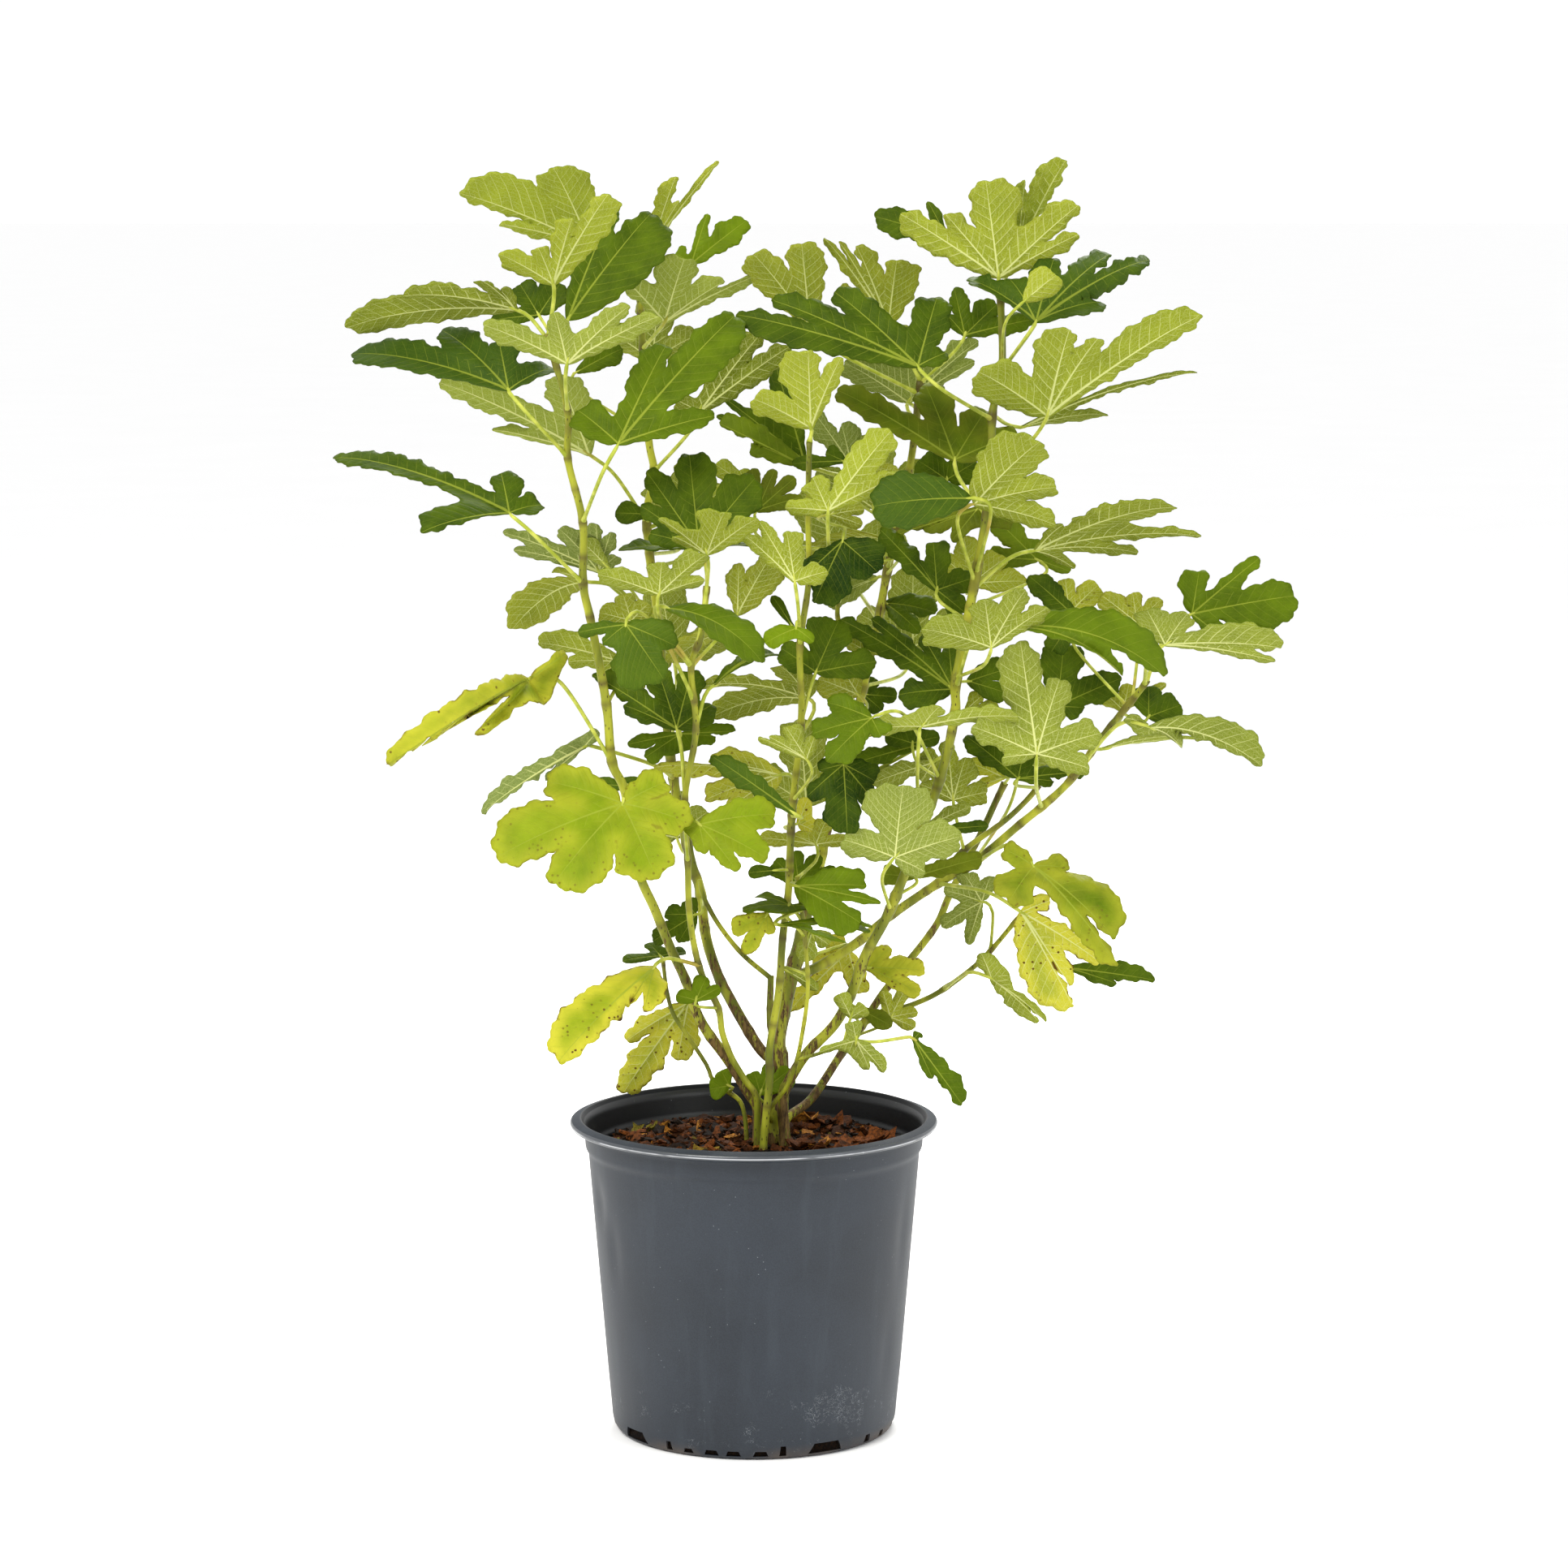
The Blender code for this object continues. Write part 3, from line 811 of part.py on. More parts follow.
def lay_out():
    """Gives each leaf the depth at which it keeps clear of the other stems and of other leaves."""
    solid = []
    for name in CANES:
        path = cane_path(name)
        if "foot" in CANES[name]:
            path = path[2:]
        solid.append((node_of(name), "cane", bvh([tube_skin(path, 0.0004, 6)])))
    solid.append(("pot", "pot", bvh([pot_skin()])))
    steps = [0]
    for count in range(1, 27):
        steps += [-0.5 * count, 0.5 * count]
    order = sorted(LEAVES, key=lambda row: -leaf_sheet(row, 0)[3])
    shifts = {}
    for row in order:
        node = node_of(row[1])
        best = None
        for shift in steps:
            points, faces, middle, reach = leaf_sheet(row, shift)
            path = petiole_path(row, points[0], middle, reach)
            skin = bvh([shell(points, faces, BEND_CLEAR_GAP)])
            stalk = bvh([tube_skin(path, 0.0006)])
            crossed = 0
            touched = 0
            for other, kind, tree in solid:
                if other != node:
                    if skin.overlap(tree) or stalk.overlap(tree):
                        crossed += 1
                elif skin.overlap(tree) or (kind == "blade" and stalk.overlap(tree)):
                    touched += 1
            score = (crossed, touched + abs(shift) / 7)
            if best is None or score < best[0]:
                best = (score, shift)
            if crossed == 0 and touched <= abs(shift) / 7:
                break
        shift = best[1]
        points, faces, middle, reach = leaf_sheet(row, shift)
        path = petiole_path(row, points[0], middle, reach)
        solid.append((node, "blade", bvh([shell(points, faces, 0.0005)])))
        solid.append((node, "stalk", bvh([tube_skin(path, 0.0003)])))
        shifts[row[0]] = (shift, best[0])
    return shifts


def keep_largest(obj):
    """Drops loose scraps and fills hollows that the fusing sealed."""
    work = bmesh.new()
    work.from_mesh(obj.data)
    bmesh.ops.triangulate(work, faces=work.faces)
    bmesh.ops.remove_doubles(work, verts=work.verts, dist=0.000002)
    bmesh.ops.dissolve_degenerate(work, edges=work.edges, dist=0.000002)
    seen_faces = set()
    groups = []
    for face in work.faces:
        if face in seen_faces:
            continue
        group = [face]
        seen_faces.add(face)
        for item in group:
            for edge in item.edges:
                for near in edge.link_faces:
                    if near not in seen_faces:
                        seen_faces.add(near)
                        group.append(near)
        groups.append(group)
    groups.sort(key=len, reverse=True)
    drop = [face for group in groups[1:] for face in group]
    bmesh.ops.delete(work, geom=drop, context="FACES")
    loose = [vert for vert in work.verts if not vert.link_faces]
    bmesh.ops.delete(work, geom=loose, context="VERTS")
    bmesh.ops.triangulate(work, faces=work.faces)
    work.to_mesh(obj.data)
    work.free()


def draw_stalk(obj, path, across, middle):
    """Draws the stalk out of the blade's tab, face by face back along its path to the cane."""
    work = bmesh.new()
    work.from_mesh(obj.data)
    tab = path[-1][0]
    face = min((near for near in work.faces if len(near.verts) == 4 and abs(near.normal.dot(middle)) > 0.5),
               key=lambda near: (near.calc_center_median() - tab).length)
    side = across
    up = middle.cross(side)
    centre = face.calc_center_median()
    for index in range(len(path) - 2, -1, -1):
        at, radius = path[index]
        ahead = path[index + 1][0] - at
        if index:
            ahead = ahead.normalized() + (at - path[index - 1][0]).normalized()
        ahead.normalize()
        new_side = (side - ahead * side.dot(ahead)).normalized()
        new_up = ahead.cross(new_side)
        face = bmesh.ops.extrude_discrete_faces(work, faces=[face])["faces"][0]
        for vert in face.verts:
            offset = vert.co - centre
            right = 0.8 if offset.dot(side) > 0 else -0.8
            high = 0.8 if offset.dot(up) > 0 else -0.8
            vert.co = at + (new_side * right + new_up * high) * radius
        side = new_side
        up = new_up
        centre = at
    work.to_mesh(obj.data)
    work.free()


def blade(row, shift, group):
    """One leaf as a thin solid, split alike on both faces, with its stalk."""
    points, faces, middle, reach = leaf_sheet(row, shift)
    obj = mesh_object("leaf_" + row[0], points, faces, group)
    thick = obj.modifiers.new("thick", "SOLIDIFY")
    thick.thickness = BLADE_THICK
    thick.offset = 0
    thick.use_even_offset = False
    thick.use_rim = True
    apply_modifiers(obj)
    path = petiole_path(row, points[0], middle, reach)
    across = (points[-2] - points[-1]).normalized()
    draw_stalk(obj, path, across, middle)
    face_outward(obj.data)


def build_stems(node, shifts, build, surface):
    """A stem with all that grows from it, fused into one solid."""
    names = [name for name in CANES if node_of(name) == node]
    group = new_collection("repeats_" + node)
    main = tube(node, cane_path(names[0]), 6, build)
    for name in names[1:]:
        tube("cane_" + name, cane_path(name), 6, group)
    for row in LEAVES:
        if row[1] in names:
            blade(row, shifts[row[0]][0], group)
    boolean(main, group, "UNION", "MANIFOLD")
    for obj in list(group.objects):
        bpy.data.objects.remove(obj, do_unlink=True)
    bpy.data.collections.remove(group)
    keep_largest(main)
    main.data.materials.clear()
    main.data.materials.append(surface)
    return main


def pot_profile():
    """Closed section of the pot: up the inside, over the rolled lip and down the outside."""
    slope = (WALL_TOP - FOOT_RADIUS - 0.0005) / (0.2190 - 0.0090)
    inner_low = FOOT_RADIUS + 0.0008 - POT_WALL
    return (
        (0.0, FLOOR_THICK),
        (inner_low, FLOOR_THICK),
        (inner_low + slope * (0.2150 - FLOOR_THICK), 0.2150),
        (WALL_TOP + 0.0002, 0.2185),
        (WALL_TOP + 0.0012, 0.2345),
        (WALL_TOP + 0.0058, POT_HEIGHT),
        (RIM_RADIUS, 0.2382),
        (RIM_RADIUS, 0.2345),
        (WALL_TOP + 0.0032, 0.2322),
        (WALL_TOP + 0.0022, 0.2185),
        (WALL_TOP - 0.0002, 0.2145),
        (FOOT_RADIUS + 0.0016, 0.0090),
        (FOOT_RADIUS, 0.0034),
        (0.1040, 0.0),
        (0.0, 0.0),
    )


# Drainage openings round the foot: bearing in degrees from +X, width and height in metres
DRAINS = (
    (-59.5, 0.0290, 0.0080),
    (-146, 0.0290, 0.0085),
    (-107, 0.0115, 0.0042),
    (-98, 0.0115, 0.0042),
    (-87, 0.0115, 0.0042),
    (-78, 0.0055, 0.0080),
    (-117, 0.0085, 0.0036),
    (-126, 0.0055, 0.0070),
    (-37, 0.0070, 0.0062),
    (-26, 0.0070, 0.0050),
    (-8, 0.0210, 0.0062),
    (32, 0.0290, 0.0080),
    (90, 0.0290, 0.0080),
    (150, 0.0290, 0.0080),
    (-170, 0.0085, 0.0042),
)
DRAIN_LEVEL = 0.0026


def build_pot(build, cutters, surface):
    pot = screw("pot", pot_profile(), POT_SIDES, build)
    face_outward(pot.data)
    for index, (bearing, width, height) in enumerate(DRAINS):
        turn = math.radians(bearing)
        out = Vector((math.cos(turn), math.sin(turn), 0))
        side = Vector((-math.sin(turn), math.cos(turn), 0))
        points = []
        for radius in (FOOT_RADIUS - 0.006, FOOT_RADIUS + 0.006):
            for across, rise in ((-0.5, 0), (0.5, 0), (0.36, height), (-0.36, height)):
                points.append(out * radius + side * across * width + Vector((0, 0, DRAIN_LEVEL + rise)))
        faces = [(0, 1, 2, 3), (7, 6, 5, 4), (0, 4, 5, 1), (1, 5, 6, 2), (2, 6, 7, 3), (3, 7, 4, 0)]
        cutter = mesh_object(f"drain_{index}", points, faces, cutters)
        face_outward(cutter.data)
    boolean(pot, cutters, "DIFFERENCE", "EXACT")
    for obj in list(cutters.objects):
        bpy.data.objects.remove(obj, do_unlink=True)
    keep_largest(pot)
    pot.data.materials.append(surface)
    return pot


def soil_height(x, y):
    """Rise of the bark mix over its level, in metres."""
    rough = 0.0016 * math.sin(173 * x + 41 * y + 1.3) * math.cos(151 * y - 67 * x)
    rough += 0.0010 * math.sin(389 * x - 211 * y + 0.4)
    heap = 0.0015 * math.exp(-((x - 0.015) ** 2 + y ** 2) / 0.0016)
    return rough + heap


def build_soil(build, cutters, surface):
    slope = (WALL_TOP - FOOT_RADIUS - 0.0005) / (0.2190 - 0.0090)
    low = FOOT_RADIUS + 0.0008 - POT_WALL - SOIL_GAP
    edge = low + slope * (SOIL_TOP - 0.006 - FLOOR_THICK)
    profile = [(0.0, SOIL_TOP)]
    profile += [(radius, SOIL_TOP) for radius in (0.026, 0.056, 0.086, 0.114)]
    profile += [(edge, SOIL_TOP - 0.006), (low, FLOOR_THICK + SOIL_GAP)]
    profile += [(0.0, FLOOR_THICK + SOIL_GAP)]
    soil = screw("soil", profile, POT_SIDES, build)
    for vert in soil.data.vertices:
        if vert.co.z > SOIL_TOP - 0.001:
            vert.co.z += soil_height(vert.co.x, vert.co.y)
    face_outward(soil.data)
    for name, cane in CANES.items():
        if "foot" not in cane:
            continue
        x, y = cane["foot"]
        radius = cane["width"][0][1] / 200 + HOLE_GAP
        work = bmesh.new()
        bmesh.ops.create_cone(work, cap_ends=True, segments=12, radius1=radius, radius2=radius, depth=0.06)
        bmesh.ops.translate(work, verts=work.verts, vec=(x / 100, y / 100, SOIL_TOP - HOLE_DEPTH + 0.03))
        mesh = bpy.data.meshes.new("hole_" + name)
        work.to_mesh(mesh)
        work.free()
        cutters.objects.link(bpy.data.objects.new("hole_" + name, mesh))
    boolean(soil, cutters, "DIFFERENCE", "EXACT")
    for obj in list(cutters.objects):
        bpy.data.objects.remove(obj, do_unlink=True)
    keep_largest(soil)
    soil.data.materials.append(surface)
    return soil


def shade_round(obj):
    """Smooth shading over the round faces, with the true edges kept crisp."""
    obj.data.shade_smooth()
    obj.data.set_sharp_from_angle(angle=math.radians(35))


def main():
    clear_scene()
    build = new_collection("potted_fig")
    cutters = new_collection("cutters")
    cutters.hide_render = True
    shade_round(build_pot(build, cutters, material("pot_plastic", (0.045, 0.05, 0.055), 0.5)))
    shade_round(build_soil(build, cutters, material("potting_mix", (0.09, 0.055, 0.04), 0.95)))
    shifts = lay_out()
    for node in dict.fromkeys(node_of(name) for name in CANES):
        surface = material("fig_" + node, (0.16, 0.27, 0.07), 0.55)
        shade_round(build_stems(node, shifts, build, surface))


main()
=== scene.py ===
"""Potted hardy fig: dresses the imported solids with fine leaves, bark, bark mix and a moulded pot."""

import json
import math
import random

import bmesh
import bpy
import numpy as np
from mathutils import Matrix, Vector
from mathutils.bvhtree import BVHTree
from mathutils.geometry import delaunay_2d_cdt
from mathutils.noise import turbulence

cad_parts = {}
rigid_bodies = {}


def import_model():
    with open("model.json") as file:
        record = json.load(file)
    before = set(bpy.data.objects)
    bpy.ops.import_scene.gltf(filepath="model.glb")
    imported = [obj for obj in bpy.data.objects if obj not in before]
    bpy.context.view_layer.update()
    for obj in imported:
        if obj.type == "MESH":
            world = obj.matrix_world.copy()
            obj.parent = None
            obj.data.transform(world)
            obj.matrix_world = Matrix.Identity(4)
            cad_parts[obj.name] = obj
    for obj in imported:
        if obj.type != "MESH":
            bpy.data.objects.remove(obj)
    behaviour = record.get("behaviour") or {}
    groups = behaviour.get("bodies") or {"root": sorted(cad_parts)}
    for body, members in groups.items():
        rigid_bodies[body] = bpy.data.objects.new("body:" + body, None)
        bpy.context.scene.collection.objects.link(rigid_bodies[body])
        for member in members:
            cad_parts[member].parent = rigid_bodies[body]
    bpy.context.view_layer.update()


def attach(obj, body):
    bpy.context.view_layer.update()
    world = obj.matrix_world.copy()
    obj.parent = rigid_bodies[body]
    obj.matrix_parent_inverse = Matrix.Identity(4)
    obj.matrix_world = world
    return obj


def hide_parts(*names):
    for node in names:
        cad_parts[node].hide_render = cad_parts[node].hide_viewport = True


bl_info = {
    "name": "Potted Hardy Fig",
    "version": (1, 0, 0),
    "blender": (4, 5, 0),
    "location": "3D View > Sidebar > Potted Fig",
    "description": "Builds the fine leaves, canes, bark mix and nursery pot of a young fig",
    "category": "Object",
}

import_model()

# Sizes in metres, as in the solids
POT_HEIGHT = 0.241
RIM_RADIUS = 0.140
FOOT_RADIUS = 0.107
POT_WALL = 0.0020
WALL_TOP = 0.1262
FLOOR_THICK = 0.0030
SOIL_TOP = 0.2215
SOIL_GAP = 0.0003
HOLE_DEPTH = 0.030
HOLE_GAP = 0.0007
BEND_CLEAR_GAP = 0.0009
LARGE_LOBE = 0.050
LARGE_HALF = 0.0125
TINY_LOBE = 0.026
FULLNESS = 1.12
ROOM = 0.66
SINUS = 0.52
TAB_LENGTH = 0.0035
TAB_HALF = 0.0010
SIDE_SLOPE = 0.70
SIDE_BOW = 10.0
QUILT = 0.00028
PICTURE = 1932
FOCAL = 5920.0
CAMERA_PITCH = 7.58

# The plant is laid out as it stands seen from this point: rows hold x and z in centimetres
# on the plane y = 0 and a depth y in centimetres, negative towards the viewer.
EYE = Vector((0.023, -3.6, 0.975))

# Directions that the upper side of a leaf faces
FACES = {
    "U": (0, -0.85, 0.5),
    "u": (0, -0.95, 0.3),
    "V": (0, 0.8, 0.6),
    "v": (0, 0.95, 0.3),
    "H": (0, -0.4, 0.9),
    "h": (0, 0.4, 0.9),
}

# Canes: points (x, z), depths (z, y), widths (z, width), foot (x, y) for one in the soil,
# or the cane and height that it grows from.
CANES = {
    "M": {
        "node": "trunk",
        "foot": (1.4, 0.0),
        "points": ((1.4, 23.2), (1.9, 25.1), (2, 28.3), (1.8, 29.9), (2.35, 32.7), (2.8, 34.6), (3.4, 37),
                   (4.3, 41), (5.1, 43.9), (5.5, 46.1), (6.6, 50.5), (7.6, 54), (8.6, 58.5), (9.4, 62),
                   (10.1, 65.9), (11.8, 74), (12.5, 80)),
        "depth": ((22, 0), (35, 1), (45, 3), (56, 5), (66, 5), (80, 4)),
        "width": ((22, 1.5), (35, 1.1), (46, 0.75), (80, 0.5)),
    },
    "M2": {
        "node": "trunk",
        "from": ("M", 29.9),
        "points": ((1.25, 31), (1.3, 34.9)),
        "depth": ((29, 0), (35, 0)),
        "width": ((29, 0.55), (35, 0.5)),
    },
    "I": {
        "node": "trunk",
        "from": ("M2", 34.7),
        "points": ((-0.9, 36.6), (-2.7, 38.9), (-3.8, 41), (-4.1, 42.3)),
        "depth": ((35, 0.2), (42, 1)),
        "width": ((35, 0.4), (42, 0.35)),
    },
    "C": {
        "node": "trunk",
        "from": ("M", 28),
        "points": ((0.6, 29.1), (-0.8, 31.3), (-1.9, 33.3), (-2.7, 34.9), (-3.6, 37.8), (-4.1, 41.6),
                   (-4.8, 43.9), (-6.2, 51), (-7.2, 62), (-8, 69.4), (-7.45, 73.1), (-7.9, 76.3),
                   (-8.5, 87)),
        "depth": ((28, 0.2), (35, 1.4), (45, 3), (60, 5), (70, 6), (87, 6)),
        "width": ((28, 0.85), (45, 0.75), (87, 0.5)),
    },
    "F": {
        "node": "trunk",
        "from": ("M", 34.8),
        "points": ((4.9, 35.6), (7.8, 37.4), (10.5, 39.6), (14.3, 42.2), (16.5, 43.4), (19.9, 46.3),
                   (23.6, 49.5), (26.5, 53.4), (28.9, 56.4), (29.7, 57.5)),
        "depth": ((34, 1), (37.4, 3), (40.7, 4.4), (43.4, 3), (49.5, 0.5), (57.5, -2)),
        "width": ((34, 0.8), (44, 0.65), (57.5, 0.45)),
    },
    "F2": {
        "node": "trunk",
        "from": ("F", 41.7),
        "points": ((15.8, 44.4), (18.9, 46.7), (20.6, 48.3), (21.6, 49.5)),
        "depth": ((41, 4.5), (50, 5.5)),
        "width": ((41, 0.5), (50, 0.4)),
    },
    "J": {
        "node": "trunk",
        "from": ("M", 23.4),
        "points": ((1.15, 24.4), (1.9, 25.5), (2.5, 26.3), (3.1, 27.8), (3.6, 29.9), (4.1, 33.7),
                   (3.9, 37.7), (3.4, 41.7), (3.3, 42.5)),
        "depth": ((23.4, -0.5), (24.4, -2.3), (26.3, -3.1), (30, -4), (34, -5), (42.5, -6)),
        "width": ((23, 0.35), (42.5, 0.3)),
    },
    "T": {
        "node": "trunk",
        "from": ("J", 28.4),
        "points": ((5, 28.9), (7.6, 29.9)),
        "depth": ((28.4, -3.4), (29.9, -5)),
        "width": ((28, 0.3), (30, 0.25)),
    },
    "Q": {
        "node": "trunk",
        "from": ("M", 60.5),
        "points": ((7.6, 61.2), (6.4, 62), (6.4, 64)),
        "depth": ((60.5, 5), (61.2, 2.5), (62, 0), (64, -1.5)),
        "width": ((60, 0.4), (64, 0.35)),
    },
    "A": {
        "node": "cane_front",
        "foot": (0.75, -3.4),
        "points": ((1.2, 26.7), (1.2, 29.2), (1.9, 33.7), (2.2, 37.8), (2.65, 41.6),
                   (2.9, 47.2), (3.6, 54.5), (3.5, 60), (4.15, 65), (4.1, 70), (4.2, 75.4)),
        "depth": ((22, -3.4), (27, -3.6), (45, -4.4), (60, -6), (75.4, -7)),
        "width": ((22, 0.6), (48, 0.55), (75.4, 0.4)),
    },
    "B": {
        "node": "cane_left",
        "foot": (0.35, -1.6),
        "points": ((0.3, 24.6), (-0.3, 25.7), (-1.9, 28.3), (-3.5, 30.5), (-4.4, 32.2),
                   (-5.2, 34.6), (-6.3, 37), (-7.5, 40), (-8.8, 43.2), (-9.7, 48.9), (-10.7, 51.3),
                   (-11.1, 55.7), (-12.2, 61.8), (-12.8, 64.8), (-12.8, 69.4), (-13.9, 74.2),
                   (-13.9, 77.8), (-15.4, 83.5)),
        "depth": ((22, -1.6), (35, -3), (45, -5), (55, -6), (65, -7), (83.5, -8)),
        "width": ((22, 0.9), (35, 0.75), (60, 0.65), (83.5, 0.45)),
    },
    "D": {
        "node": "cane_inner_left",
        "foot": (0.25, -2.45),
        "points": ((0.2, 25.4), (-0.65, 26.8), (-1.7, 28.6), (-2.4, 30.5), (-2.7, 32.4),
                   (-3.9, 34.9), (-4.5, 37.1), (-4.9, 40), (-5, 43.8), (-5.2, 48.5), (-4.35, 53.7),
                   (-4.7, 58.5), (-3.9, 61), (-3.5, 64.6)),
        "depth": ((22, -2.45), (26, -2.8), (30, -3.4), (35.7, -4.4), (40, -6), (50, -8), (60, -9)),
        "width": ((22, 0.5), (64.6, 0.45)),
    },
    "E": {
        "node": "cane_right",
        "foot": (2.35, -1.35),
        "points": ((2.2, 25.5), (3.1, 27.5), (4.2, 29.1), (6.2, 31.2), (7.5, 33.7), (8.5, 36.5),
                   (10.4, 40.1), (12.9, 46.7), (14.3, 50.7), (15.2, 55), (15.3, 57.7), (16.6, 64.7),
                   (17.8, 72.4), (17.9, 77.5), (18.6, 81), (18.4, 87.5)),
        "depth": ((22, -1.35), (31, -2), (40, -3), (50, -4), (60, -5), (70, -5), (80, -4), (87.5, -3)),
        "width": ((22, 0.85), (40, 0.75), (65, 0.65), (87.5, 0.5)),
    },
    "G": {
        "node": "cane_back",
        "foot": (2.3, 4.0),
        "points": ((4.4, 25.4), (6.7, 28.9), (8.2, 31), (9.8, 33.5), (11.3, 35.4), (13.8, 38.7),
                   (14.9, 41.2), (17.2, 45.8), (18.2, 48), (19, 49.7)),
        "depth": ((22, 4), (29, 7.5), (35, 8), (50, 9)),
        "width": ((22, 0.7), (50, 0.5)),
    },
    "H": {
        "node": "cane_back",
        "from": ("G", 31.2),
        "points": ((10, 32), (12.4, 32.8), (14.5, 33.9), (17.4, 36.2), (20.2, 39.5)),
        "depth": ((31, 7.8), (33, 7), (36, 5), (39.5, 4)),
        "width": ((31, 0.45), (39.5, 0.35)),
    },
    "K": {
        "node": "shoot_left",
        "foot": (-0.55, -0.85),
        "points": ((-0.9, 24.9), (-1.9, 25.9), (-3.1, 26.8), (-3.6, 28), (-5, 30.2),
                   (-6.1, 31.9), (-6.6, 33.7), (-6.9, 36.1)),
        "depth": ((22, -0.85), (25, -0.6), (28, 0.2), (36, 0.6)),
        "width": ((22, 0.35), (36, 0.3)),
    },
}

